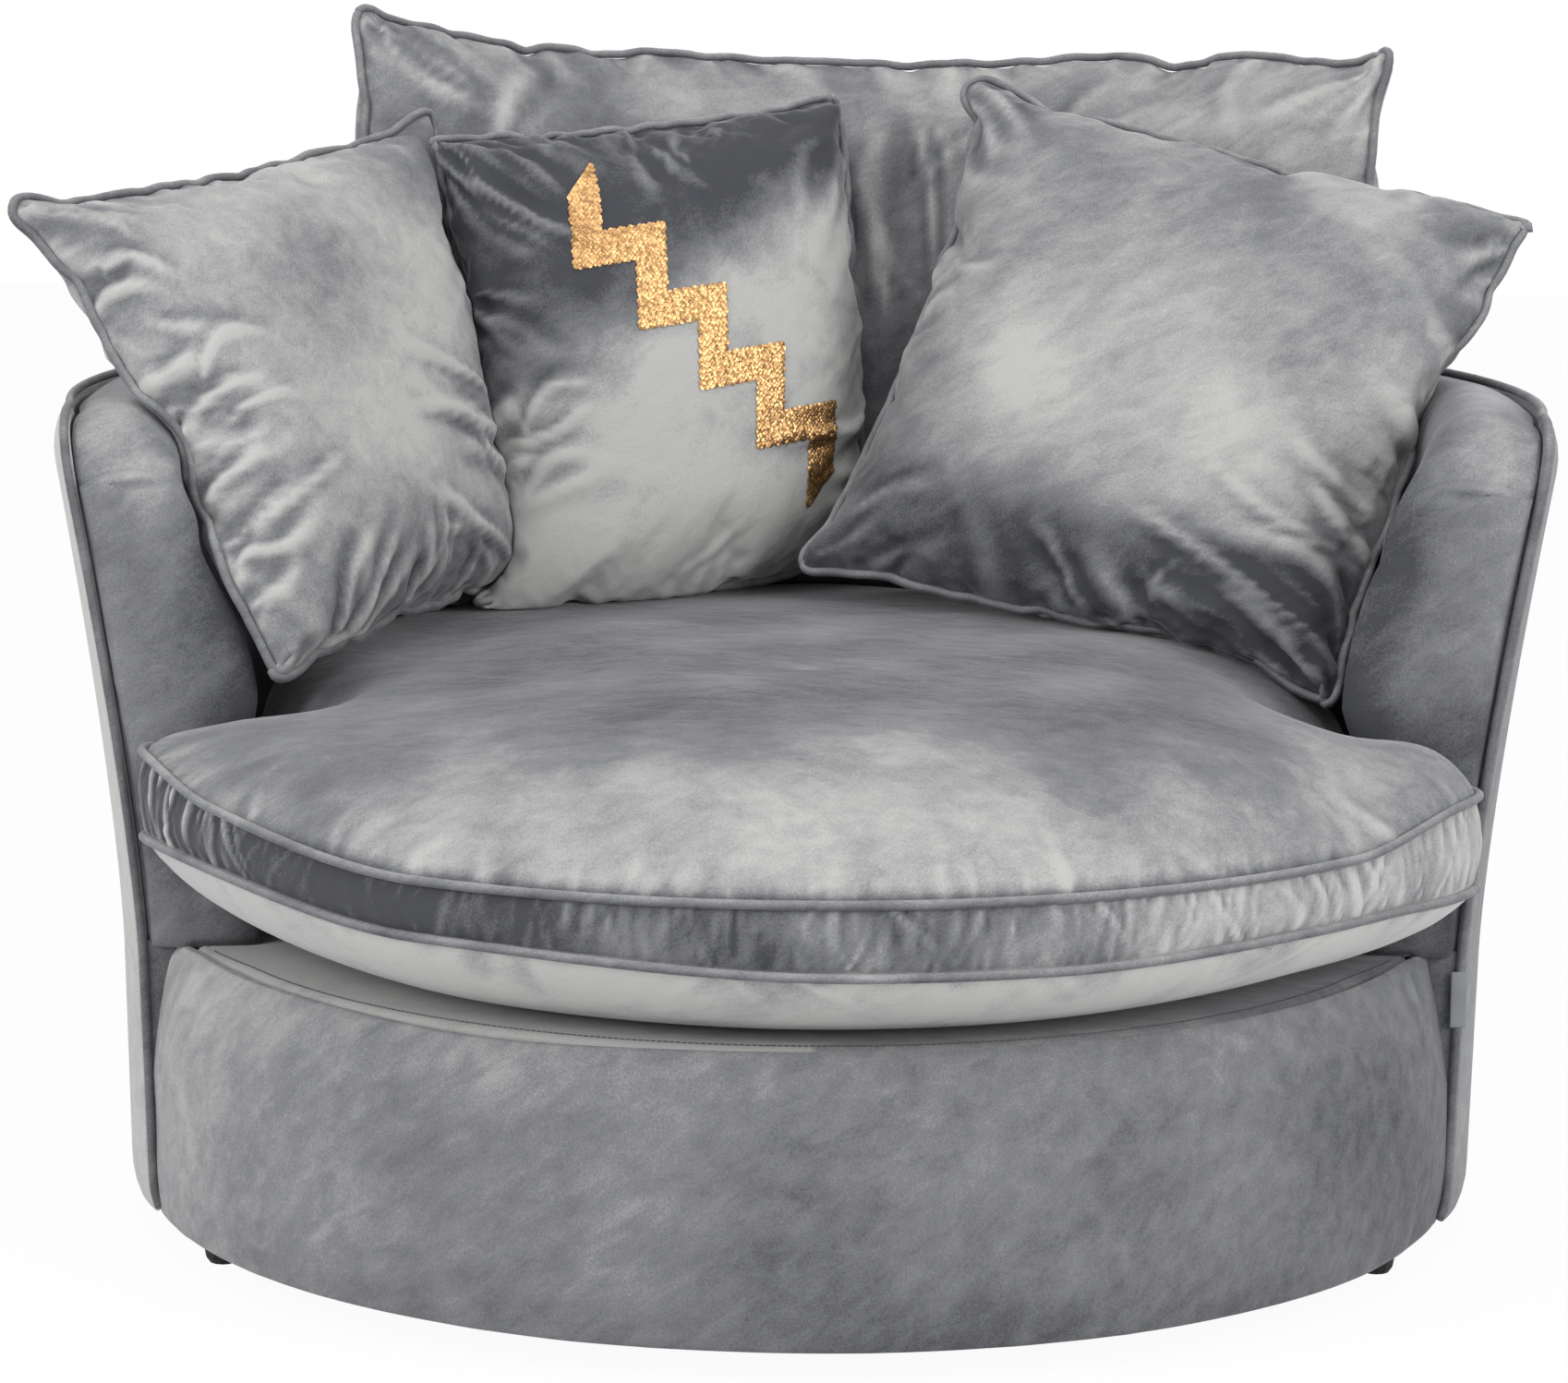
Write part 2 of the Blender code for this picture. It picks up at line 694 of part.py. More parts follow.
def round_plate(plate):
    bevel = plate.modifiers.new("corners", "BEVEL")
    bevel.width = PLATE_CORNER
    bevel.segments = 3
    bevel.limit_method = "WEIGHT"
    weights = plate.data.attributes.new("bevel_weight_edge", "FLOAT", "EDGE")
    for edge in plate.data.edges:
        first, second = (plate.data.vertices[i].co for i in edge.vertices)
        upright = abs(first.z - second.z) > PLATE_THICKNESS / 2.0
        weights.data[edge.index].value = 1.0 if upright else 0.0


def add_plate(name, bottom, parent):
    plate = add_part(name, plate_mesh(name), "zinc_steel", parent)
    plate.location.z = bottom + PLATE_THICKNESS / 2.0
    round_plate(plate)
    return plate


def bolt_profile(length):
    """A bolt whose head's underside lies at height 0."""
    return [
        (0.0, BOLT_HEAD_HEIGHT),
        (BOLT_HEAD_R * 0.6, BOLT_HEAD_HEIGHT),
        (BOLT_HEAD_R, BOLT_HEAD_HEIGHT * 0.4),
        (BOLT_HEAD_R, 0.0),
        (BOLT_R, 0.0),
        (BOLT_R, -length),
        (0.0, -length),
    ]


def add_bolt(name, place, upside_down, parent):
    bolt = add_turned(name, bolt_profile(BOLT_LENGTH), "zinc_steel", parent, steps=8)
    bolt.location = place
    bolt.rotation_euler.x = math.pi if upside_down else 0.0
    return bolt


def bolt_hole(name, place, targets, parent):
    hole = add_cutter(name, cylinder_mesh(name, BOLT_R + GAP, 2.0 * (BOLT_LENGTH + GAP), 12), parent)
    hole.location = place
    for target in targets:
        cut(target, hole, name)


def add_bearing(base, tub, cage_parent, rails):
    lower = add_plate("swivel_plate_lower", LOWER_PLATE_Z, base)
    upper = add_plate("swivel_plate_upper", UPPER_PLATE_Z, tub)
    board = add_base_board(tub)
    angle = math.atan2(FOOT_Y, FOOT_X)
    head_z = LOWER_PLATE_Z + PLATE_THICKNESS + GAP
    for index, turn in enumerate((angle, math.pi - angle, math.pi + angle, -angle)):
        x = LOWER_BOLT_CIRCLE_R * math.cos(turn)
        y = LOWER_BOLT_CIRCLE_R * math.sin(turn)
        add_bolt(f"lower_bolt_{index + 1}", (x, y, head_z), False, base)
        rail = rails["base_rail_lower"] if x * y > 0.0 else rails["base_rail_upper"]
        bolt_hole(f"lower_bolt_hole_{index + 1}", (x, y, head_z), [lower, rail], base)
    under_z = UPPER_PLATE_Z - GAP
    offsets = ((1, 1), (-1, 1), (-1, -1), (1, -1))
    for index, (side_x, side_y) in enumerate(offsets):
        place = (side_x * UPPER_BOLT_PITCH / 2.0, side_y * UPPER_BOLT_PITCH / 2.0, under_z)
        add_bolt(f"upper_bolt_{index + 1}", place, True, tub)
        bolt_hole(f"upper_bolt_hole_{index + 1}", place, [upper, board], tub)
    add_pivot(base, lower, upper, board)
    add_ball_cage(cage_parent)
    return board


def add_pivot(parent, lower, upper, board):
    """A shouldered pin, fast in the lower plate, whose head holds the upper plate down."""
    head_bottom = UPPER_PLATE_Z + PLATE_THICKNESS + PIN_CLEARANCE
    profile = [
        (0.0, head_bottom + PIN_HEAD_HEIGHT),
        (PIN_HEAD_R, head_bottom + PIN_HEAD_HEIGHT),
        (PIN_HEAD_R, head_bottom),
        (PIN_R, head_bottom),
        (PIN_R, LOWER_PLATE_Z),
        (0.0, LOWER_PLATE_Z),
    ]
    add_turned("pivot_pin", profile, "zinc_steel", parent, steps=24)
    seat = add_cutter("pin_seat", cylinder_mesh("pin_seat", PIN_R + GAP, 0.02, 24), parent)
    seat.location.z = LOWER_PLATE_Z
    cut(lower, seat, "pin seat")
    bore = add_cutter("pin_bore", cylinder_mesh("pin_bore", PIN_R + PIN_CLEARANCE, 0.02, 24), parent)
    bore.location.z = UPPER_PLATE_Z
    cut(upper, bore, "pin bore")
    well_r = PIN_HEAD_R + 0.004
    well = add_cutter("pin_well", cylinder_mesh("pin_well", well_r, 0.08, 24), parent)
    well.location.z = BOARD_Z
    cut(board, well, "pin well")


def add_ball_cage(parent):
    """A flat ring that carries the balls, each of which stands out above and below it."""
    ring = profile_mesh(
        "ball_cage",
        ring_profile(
            BALL_CIRCLE_R - CAGE_WIDTH / 2.0,
            BALL_CIRCLE_R + CAGE_WIDTH / 2.0,
            BALL_Z - CAGE_THICKNESS / 2.0,
            BALL_Z + CAGE_THICKNESS / 2.0,
        ),
        closed=True,
    )
    cage = add_part("ball_cage", ring, "zinc_steel", parent)
    turn_profile(cage, 24)
    bm = bmesh.new()
    bmesh.ops.create_uvsphere(bm, u_segments=6, v_segments=4, radius=BALL_R)
    ball_data = mesh_from("ball", bm, smooth=True)
    for index in range(BALL_COUNT):
        turn = 2.0 * math.pi * (index + 0.5) / BALL_COUNT
        ball = add_cutter(f"ball_{index + 1}", ball_data, parent)
        ball.location = (BALL_CIRCLE_R * math.cos(turn), BALL_CIRCLE_R * math.sin(turn), BALL_Z)
        boolean = cage.modifiers.new(f"ball {index + 1}", "BOOLEAN")
        boolean.operation = "UNION"
        boolean.solver = "EXACT"
        boolean.object = ball
    return cage


# Tub frame


def add_base_board(parent):
    return add_board("base_board", BOARD_Z, BOARD_TOP, "plywood", parent)


def add_dust_cover(parent):
    outer = apron_radius(BOARD_Z) - PANEL_THICKNESS - APRON_END_TUCK - DUST_COVER_MARGIN
    top = BOARD_Z - GAP
    profile = ring_profile(DUST_COVER_BORE_R, outer, top - DUST_COVER_THICKNESS, top)
    return add_turned("dust_cover", profile, "dust_cloth", parent, steps=36, closed=True)


def add_seat_ring(parent):
    ring = add_board("seat_ring", RING_Z, SEAT_RING_TOP, "plywood", parent)
    bore_data = cylinder_mesh("seat_bore", SEAT_RING_BORE_R, 2.0 * SEAT_RING_THICKNESS, 40)
    bore = add_cutter("seat_bore", bore_data, parent)
    bore.location.z = (RING_Z + SEAT_RING_TOP) / 2.0
    cut(ring, bore, "seat bore")
    return ring


def add_base_posts(parent):
    height = RING_Z - BOARD_TOP - 2.0 * GAP
    middle_r = POST_CIRCLE_R
    for index in range(BASE_POST_COUNT):
        name = f"base_post_{index + 1}"
        turn = 2.0 * math.pi * (index + 0.5) / BASE_POST_COUNT
        post = add_part(name, box_mesh(name, (BASE_POST_SIDE, BASE_POST_SIDE, height)), "timber", parent)
        post.location = (middle_r * math.sin(turn), middle_r * math.cos(turn), BOARD_TOP + GAP + height / 2.0)
        post.rotation_euler.z = -turn


def add_webbing(parent):
    """Straps across the seat ring, the cross set lying on the first."""
    for index in range(WEB_COUNT):
        offset = (index - (WEB_COUNT - 1) / 2.0) * WEB_PITCH
        length = 2.0 * math.sqrt((SEAT_RING_BORE_R + WEB_HOLD) ** 2 - (abs(offset) + WEB_WIDTH / 2.0) ** 2)
        for name, size, place in (
            (
                f"seat_web_side_{index + 1}",
                (length, WEB_WIDTH, WEB_THICKNESS),
                (0.0, offset, SEAT_RING_TOP + GAP + WEB_THICKNESS / 2.0),
            ),
            (
                f"seat_web_long_{index + 1}",
                (WEB_WIDTH, length, WEB_THICKNESS),
                (offset, 0.0, SEAT_RING_TOP + 2.0 * GAP + 1.5 * WEB_THICKNESS),
            ),
        ):
            strap = add_part(name, box_mesh(name, size), "webbing", parent)
            strap.location = place


def add_rim_frame(parent):
    """The curved rim rail and the posts that carry it on the seat ring."""
    outer = flare_radius(RIM_RAIL_Z) - PANEL_THICKNESS - 2.0 * SLIDE_GAP
    inner = outer - RIM_RAIL_WIDTH
    post_top = RIM_RAIL_Z - GAP
    rings = []
    end_y = ARM_FRONT_Y + PAD_THICKNESS + 2.0 * SLIDE_GAP
    for index in range(33):
        share = -1.0 + index / 16.0
        ring = []
        for radius, z in ring_profile(inner, outer, RIM_RAIL_Z, RIM_RAIL_Z + RIM_RAIL_THICKNESS):
            flat = around(radius, share, end_y)
            ring.append(Vector((flat.x, flat.y, z)))
        rings.append(ring)
    add_part("rim_rail", loft_mesh("rim_rail", rings, smooth=False), "plywood", parent)
    height = post_top - SEAT_RING_TOP - GAP
    post_r = WALL_POST_R
    lean = math.atan2(inner + RIM_RAIL_WIDTH / 2.0 - post_r, height)
    angles = {f"back_post_{i + 1}": math.radians(a) for i, a in enumerate(BACK_POST_ANGLES)}
    arm_angle = math.acos((ARM_FRONT_Y + ARM_POST_BACKSET) / post_r)
    angles["arm_post_left"] = -arm_angle
    angles["arm_post_right"] = arm_angle
    for name, turn in angles.items():
        add_part(name, post_mesh(name, turn, post_r, lean, height), "timber", parent)


def post_mesh(name, turn, radius, lean, height):
    """A square post that leans outwards, cut level at its foot and its head."""
    half = POST_SIDE / 2.0
    rings = []
    for rise in (0.0, height):
        middle = radius + rise * math.tan(lean)
        ring = []
        for across, out in ((-half, -half), (half, -half), (half, half), (-half, half)):
            r = middle + out
            x = r * math.sin(turn) + across * math.cos(turn)
            y = r * math.cos(turn) - across * math.sin(turn)
            ring.append(Vector((x, y, SEAT_RING_TOP + GAP + rise)))
        rings.append(ring)
    return loft_mesh(name, rings, smooth=False)


def deck_outline():
    """Plan of the deck: the front crescent, then the round between the arms."""
    inner = outer_radius(WALL_BOTTOM, ARM_FRONT_Y, RIM_Z) - WALL_THICKNESS - SLIDE_GAP
    step_y = ARM_FRONT_Y - ARM_PILLOW - SLIDE_GAP
    back_turn = math.acos(step_y / inner)
    points = []
    for index in range(APRON_COLUMNS + 1):
        share = 2.0 * index / APRON_COLUMNS - 1.0
        flat = around(DECK_FRONT_R - APRON_END_TUCK * share**4, share, -step_y)
        points.append((flat.x, -flat.y))
    for index in range(29):
        turn = back_turn - 2.0 * back_turn * index / 28.0
        radius = outer_radius(WALL_BOTTOM, BASE_R * math.cos(turn), RIM_Z) - WALL_THICKNESS - SLIDE_GAP
        points.append((radius * math.sin(turn), radius * math.cos(turn)))
    return points


def add_deck(parent):
    bottom = SEAT_RING_TOP + 3.0 * GAP + 2.0 * WEB_THICKNESS
    rings = [[Vector((x, y, z)) for x, y in deck_outline()] for z in (bottom, DECK_TOP_Z)]
    deck = add_part("seat_deck", loft_mesh("seat_deck", rings, smooth=False), "velvet", parent)
    bevel = deck.modifiers.new("edge", "BEVEL")
    bevel.width = DECK_EDGE_ROUND
    bevel.segments = 1
    bevel.limit_method = "ANGLE"
    bevel.angle_limit = math.radians(60.0)
    return deck


def add_rim_piping(parent):
    """Up the left arm's front edge, round the rim and down the right arm's front edge."""
    front = ARM_FRONT_Y - PIPING_R - GAP
    rise_start = (PIPING_R * 1.5) / (RIM_Z - SKIRT_Z)
    points = []
    upright_rises = [rise_start, *PANEL_RISES[1:-2], 0.97]
    inset = PANEL_THICKNESS / 2.0

    def upright(side):
        column = []
        for rise in upright_rises:
            z = SKIRT_Z + rise * (rim_height(ARM_FRONT_Y) - SKIRT_Z)
            radius = outer_radius(z, ARM_FRONT_Y, rim_height(ARM_FRONT_Y)) - inset
            x = math.sqrt(radius**2 - ARM_FRONT_Y**2)
            column.append(Vector((side * x, front, z)))
        return column

    lift = PIPING_R + GAP
    rim = []
    for share in panel_shares():
        edge = outer_point(share, 1.0, inset)
        slope_y = min(max(edge.y - ARM_FRONT_Y, 0.0), ARM_CORNER_R)
        turn = math.acos((ARM_CORNER_R - slope_y) / ARM_CORNER_R)
        out = Vector((0.0, -math.cos(turn), math.sin(turn)))
        rim.append(edge + out * lift)
    points = upright(-1.0) + rim + upright(1.0)[::-1]
    return add_tube("rim_piping", points, PIPING_R, "velvet_dark", parent)


def add_side_tag(parent):
    """A small blank tag sewn into the right arm's piping seam."""
    middle = (TAG_TOP_Z + TAG_BOTTOM_Z) / 2.0
    top = rim_height(ARM_FRONT_Y)
    radius = outer_radius(middle, ARM_FRONT_Y, top) - PANEL_THICKNESS / 2.0
    x = math.sqrt(radius**2 - ARM_FRONT_Y**2) + PIPING_R + TAG_GAP + TAG_WIDTH / 2.0
    size = (TAG_WIDTH, TAG_THICKNESS, TAG_TOP_Z - TAG_BOTTOM_Z)
    tag = add_part("side_tag", box_mesh("side_tag", size), "woven_tag", parent)
    tag.location = (x, ARM_FRONT_Y - PIPING_R - GAP, middle)
    return tag


# Seat cushion


def seat_outline():
    """Plan of the seat cushion's border: front arc, ears before the arms, and the round between them."""
    ear_y = ARM_FRONT_Y - ARM_PILLOW - EAR_CLEARANCE
    ear_middle_y = ear_y - EAR_ROUND
    ear_middle_x = math.sqrt((SEAT_FRONT_R - EAR_ROUND) ** 2 - ear_middle_y**2)
    front_turn = math.atan2(ear_middle_x, -ear_middle_y)
    inner_y = ear_y + EAR_INNER_ROUND
    inner_x = math.sqrt((SEAT_SIDE_R + EAR_INNER_ROUND) ** 2 - inner_y**2)
    inner_turn = math.atan2(inner_x, -inner_y)
    half = []
    for index in range(13):
        turn = front_turn * index / 12.0
        half.append(Vector((SEAT_FRONT_R * math.sin(turn), -SEAT_FRONT_R * math.cos(turn))))
    for index in range(1, 5):
        turn = front_turn + (math.pi - front_turn) * index / 4.0
        half.append(
            Vector((ear_middle_x + EAR_ROUND * math.sin(turn), ear_middle_y - EAR_ROUND * math.cos(turn)))
        )
    for index in range(4):
        turn = (math.pi - inner_turn) * index / 3.0
        half.append(
            Vector((inner_x - EAR_INNER_ROUND * math.sin(turn), inner_y - EAR_INNER_ROUND * math.cos(turn)))
        )
    for index in range(1, 12):
        turn = inner_turn + (math.pi - inner_turn) * index / 11.0
        point = Vector((SEAT_SIDE_R * math.sin(turn), -SEAT_SIDE_R * math.cos(turn)))
        point.y = min(point.y, SEAT_BACK_Y)
        half.append(point)
    mirrored = [Vector((-p.x, p.y)) for p in half[1:-1]]
    return half + mirrored[::-1]


def seat_lift(point):
    """How much the seams rise towards the ears; the left ear is turned up."""
    left = smoothstep((-point.x - 0.30) / 0.26) * SEAT_LEFT_EAR_LIFT
    right = smoothstep((point.x - 0.30) / 0.26) * SEAT_EAR_LIFT
    return left + right


def seat_rings():
    outline = seat_outline()
    middle = Vector((0.0, SEAT_MIDDLE_Y))
    steps = []
    for share in (0.16, 0.40, 0.62, 0.80, 0.91, 0.97, 1.0):
        steps.append((share, SEAT_UPPER_SEAM_Z, SEAT_CROWN, 1.0))
    border = SEAT_UPPER_SEAM_Z - SEAT_LOWER_SEAM_Z
    swell = 1.0 + SEAT_BORDER_SWELL / SEAT_FRONT_R
    steps.append((swell, SEAT_LOWER_SEAM_Z + border / 2.0, 0.0, 0.95))
    steps.append((1.0, SEAT_LOWER_SEAM_Z, 0.0, 0.9))
    drop = SEAT_LOWER_SEAM_Z - SEAT_BOTTOM_Z
    steps.append((0.985, SEAT_LOWER_SEAM_Z - 0.35 * drop, 0.0, 0.75))
    steps.append((0.94, SEAT_LOWER_SEAM_Z - 0.72 * drop, 0.0, 0.45))
    steps.append((0.87, SEAT_BOTTOM_Z + 0.06 * drop, 0.0, 0.1))
    steps.append((0.80, SEAT_BOTTOM_Z, 0.0, 0.0))
    rings = []
    for share, z, crown, follow in steps:
        ring = []
        for point in outline:
            flat = middle + (point - middle) * share
            held = smoothstep((point.y - ARM_FRONT_Y + 0.25) / 0.45)
            fullness = SEAT_FRONT_FULLNESS + (SEAT_SIDE_FULLNESS - SEAT_FRONT_FULLNESS) * held
            rise = crown * max(1.0 - share**fullness, 0.0) ** SEAT_SHOULDER
            ring.append(Vector((flat.x, flat.y, z + rise + follow * seat_lift(flat))))
        rings.append(ring)
    return rings


def offset_outline(outline, distance):
    """The outline moved outwards by distance; it runs anticlockwise seen from above."""
    count = len(outline)
    moved = []
    for index, point in enumerate(outline):
        along = outline[(index + 1) % count] - outline[index - 1]
        out = Vector((along.y, -along.x)).normalized()
        moved.append(point + out * distance)
    return moved


def add_seat_cushion(parent):
    cushion = add_part("seat_cushion", loft_mesh("seat_cushion", seat_rings()), "velvet_light", parent)
    reach = PIPING_R + GAP
    for name, z, follow in (
        ("seat_piping_upper", SEAT_UPPER_SEAM_Z, 1.0),
        ("seat_piping_lower", SEAT_LOWER_SEAM_Z, 0.9),
    ):
        tilt = 1.0 if follow == 1.0 else -1.0
        points = []
        for inner, point in zip(seat_outline(), offset_outline(seat_outline(), reach * 0.95)):
            points.append(Vector((point.x, point.y, z + tilt * reach * 0.5 + follow * seat_lift(inner))))
        add_tube(name, points, PIPING_R, "velvet_dark", parent, cyclic=True)
    return cushion


# Knife-edged cushions


def pillow_point(u, v, side, width, height, thickness, pull):
    """A point of a pillow in its own frame: x across, z up, y towards its back."""
    x = 0.5 * width * u * (1.0 - pull * (1.0 - v * v) * u * u)
    z = 0.5 * height * v * (1.0 - pull * (1.0 - u * u) * v * v)
    plump = max((1.0 - u * u) * (1.0 - v * v), 0.0) ** 0.5
    return Vector((x, side * 0.5 * thickness * plump, z))


def pillow_mesh(name, columns, rows, sizes, place):
    """A closed pillow: a front and a back sheet that meet in a creased seam, once subdivided."""
    width, height, thickness, pull = sizes
    bm = bmesh.new()
    for side in (-1.0, 1.0):
        made = bmesh.ops.create_grid(bm, x_segments=columns, y_segments=rows, size=1.0)
        for vertex in made["verts"]:
            point = pillow_point(vertex.co.x, vertex.co.y, side, width, height, thickness, pull)
            vertex.co = place(point)
    crease = bm.edges.layers.float.new("crease_edge")
    for edge in bm.edges:
        edge[crease] = 1.0 if edge.is_boundary else 0.0
    bmesh.ops.remove_doubles(bm, verts=bm.verts, dist=0.0001)
    bmesh.ops.recalc_face_normals(bm, faces=bm.faces)
    if bm.calc_volume(signed=True) < 0.0:
        bmesh.ops.reverse_faces(bm, faces=bm.faces)
    data = bpy.data.meshes.new(name)
    bm.to_mesh(data)
    bm.free()
    data.shade_smooth()
    return data


def subdivided(obj):
    """The object's mesh after one subdivision that keeps the seam sharp."""
    modifier = obj.modifiers.new("soft", "SUBSURF")
    modifier.levels = 1
    modifier.render_levels = 1
    fresh = evaluated_mesh(obj, obj.name)
    obj.modifiers.remove(modifier)
    return fresh


def tree_of(objects):
    """Bounding volume tree of the objects' evaluated faces, in the chair's frame."""
    bpy.context.view_layer.update()
    graph = bpy.context.evaluated_depsgraph_get()
    points, faces = [], []
    for obj in objects:
        evaluated = obj.evaluated_get(graph)
        mesh = evaluated.to_mesh()
        start = len(points)
        points += [evaluated.matrix_world @ vertex.co for vertex in mesh.vertices]
        faces += [[start + i for i in polygon.vertices] for polygon in mesh.polygons]
        evaluated.to_mesh_clear()
    return BVHTree.FromPolygons(points, faces)


def is_inside(tree, point):
    """Whether a ray from the point leaves the body an odd number of times."""
    direction = Vector((0.31, 0.17, 0.93)).normalized()
    crossings = 0
    start = point
    while crossings < 40:
        found = tree.ray_cast(start, direction)[0]
        if found is None:
            break
        crossings += 1
        start = found + direction * 1e-5
    return crossings % 2 == 1


def clear_move(tree, point, gap):
    """The move that takes the point out of the tree's body, to its gap in front of the faces."""
    found, normal, _, distance = tree.find_nearest(point)
    inside = is_inside(tree, point)
    if not inside and distance >= gap:
        return None
    out = found - point if inside else point - found
    direction = normal if distance < 1e-6 else out.normalized()
    return found + direction * gap - point


def press_clear(data, trees, gaps):
    """Dents the mesh where a body of the trees pushes into it, and draws the dents' edges along."""
    points = [vertex.co.copy() for vertex in data.vertices]
    beside = [set() for _ in points]
    for edge in data.edges:
        first, second = edge.vertices
        beside[first].add(second)
        beside[second].add(first)
    samples = [(index,) for index in range(len(points))]
    samples += [tuple(edge.vertices) for edge in data.edges]
    samples += [tuple(polygon.vertices) for polygon in data.polygons]
    for _ in range(PRESS_ROUNDS):
        moves = [Vector() for _ in points]
        for sample in samples:
            middle = sum((points[index] for index in sample), Vector()) / len(sample)
            gap = min(gaps[index] for index in sample)
            for tree in trees:
                move = clear_move(tree, middle, gap)
                for index in sample if move else ():
                    if move.length > moves[index].length:
                        moves[index] = move
        if not any(move.length > 0.0 for move in moves):
            break
        for index, move in enumerate(moves):
            drawn = sum((moves[other] for other in beside[index]), Vector()) / len(beside[index])
            points[index] += move if move.length > drawn.length * PRESS_DRAW else drawn * PRESS_DRAW
    for vertex, point in zip(data.vertices, points):
        vertex.co = point
    data.update()


def seam_loop(data):
    """Indices of the seam's vertices in order round the cushion."""
    bm = bmesh.new()
    bm.from_mesh(data)
    layer = bm.edges.layers.float.get("crease_edge")
    seam = [edge for edge in bm.edges if edge[layer] > 0.5]
    following = {}
    for edge in seam:
        first, second = (vertex.index for vertex in edge.verts)
        following.setdefault(first, []).append(second)
        following.setdefault(second, []).append(first)
    start = min(following)
    loop = [start]
    previous, current = start, following[start][0]
    while current != start:
        loop.append(current)
        nearby = following[current]
        previous, current = current, nearby[1] if nearby[0] == previous else nearby[0]
    bm.free()
    return loop


def groove(cushion, pipings, clearance):
    """Lets pipings sink into the cushion that lies on them."""
    for piping in pipings:
        name = f"{cushion.name}_on_{piping.name}"
        wider = piping.data.copy()
        wider.bevel_depth = PIPING_R + clearance
        helper = bpy.data.objects.new(name, wider)
        cutters.objects.link(helper)
        tube = evaluated_mesh(helper, name)
        bpy.data.objects.remove(helper)
        bm = bmesh.new()
        bm.from_mesh(tube)
        bmesh.ops.remove_doubles(bm, verts=bm.verts, dist=0.00001)
        cut(cushion, add_cutter(name, mesh_from(name, bm), cushion.parent), name)


def trim_contact(cushion, bodies):
    """Shaves off what still reaches into a body that the cushion lies against."""
    for body in bodies:
        name = f"{cushion.name}_against_{body.name}"
        wider = evaluated_mesh(body, name)
        normals = [vertex.normal.copy() for vertex in wider.vertices]
        for vertex, normal in zip(wider.vertices, normals):
            vertex.co += normal * GAP
        cut(cushion, add_cutter(name, wider, body.parent), name)


def add_pillow(name, cells, sizes, place, parent, finish, neighbours, room):
    """A knife-edged cushion pressed clear of its neighbours, with piping round its seam."""
    cushion = add_part(name, pillow_mesh(name, *cells, sizes, place), finish, parent)
    fresh = subdivided(cushion)
    stale = cushion.data
    cushion.data = fresh
    bpy.data.meshes.remove(stale)
    loop = seam_loop(fresh)
    on_seam = set(loop)
    gaps = [room if index in on_seam else SOFT_GAP for index in range(len(fresh.vertices))]
    press_clear(fresh, [tree_of([body]) for body in neighbours if body.type == "MESH"], gaps)
    path = piping_path(fresh, loop)
    piping = add_tube(name + "_piping", path, PIPING_R, "velvet_dark", parent, cyclic=True)
    groove(cushion, [piping], OWN_GROOVE)
    groove(cushion, [body for body in neighbours if body.type == "CURVE"], GAP)
    trim_contact(cushion, [body for body in neighbours if body.type == "MESH"])
    return [cushion, piping]


def piping_path(data, loop):
    """The seam moved off the cushion, away from the vertices next to it on both sheets."""
    on_seam = set(loop)
    inward = {index: Vector() for index in loop}
    for polygon in data.polygons:
        touching = [index for index in polygon.vertices if index in on_seam]
        for index in touching:
            inward[index] += polygon.center - data.vertices[index].co
    count = len(loop)
    path = []
    for index, vertex in enumerate(loop):
        along = data.vertices[loop[(index + 1) % count]].co - data.vertices[loop[index - 1]].co
        out = -inward[vertex]
        out -= along * (out.dot(along) / max(along.length_squared, 1e-12))
        path.append(data.vertices[vertex].co + out.normalized() * (PIPING_R + GAP))
    return path


def bent_back_place(point):
    """Bends the back cushion round the tub and leans it over the rim."""
    rise = point.z / BACK_HEIGHT + 0.5
    bend_r = BACK_LOWER_BEND_R + (BACK_UPPER_BEND_R - BACK_LOWER_BEND_R) * rise
    middle_y = BACK_LOWER_Y + (BACK_UPPER_Y - BACK_LOWER_Y) * rise
    angle = point.x / bend_r
    radius = bend_r + point.y
    sag = BACK_TOP_SAG * max(rise, 0.0) * (math.cos(angle * 1.6) * 1.4 - 0.4)
    sag -= BACK_CORNER_LIFT * (1.0 - rise) * (2.0 * point.x / BACK_WIDTH) ** 2
    return Vector(
        (
            BACK_MIDDLE_X + radius * math.sin(angle),
            middle_y - bend_r + radius * math.cos(angle),
            BACK_MIDDLE_Z + point.z - sag,
        )
    )


def scatter_place(corners):
    """Lays a unit pillow on the patch between four corners, its thickness along the patch's normal."""
    placed = []
    for turn, inset, height in corners:
        radius, angle = BASE_R - inset, math.radians(turn)
        placed.append(Vector((radius * math.sin(angle), radius * math.cos(angle), height)))
    upper_left, upper_right, lower_left, lower_right = placed

    def place(point):
        across = point.x + 0.5
        rise = point.z + 0.5
        left = lower_left.lerp(upper_left, rise)
        right = lower_right.lerp(upper_right, rise)
        upward = (upper_left - lower_left).lerp(upper_right - lower_right, across)
        normal = upward.cross(right - left).normalized()
        return left.lerp(right, across) + normal * point.y

    return place


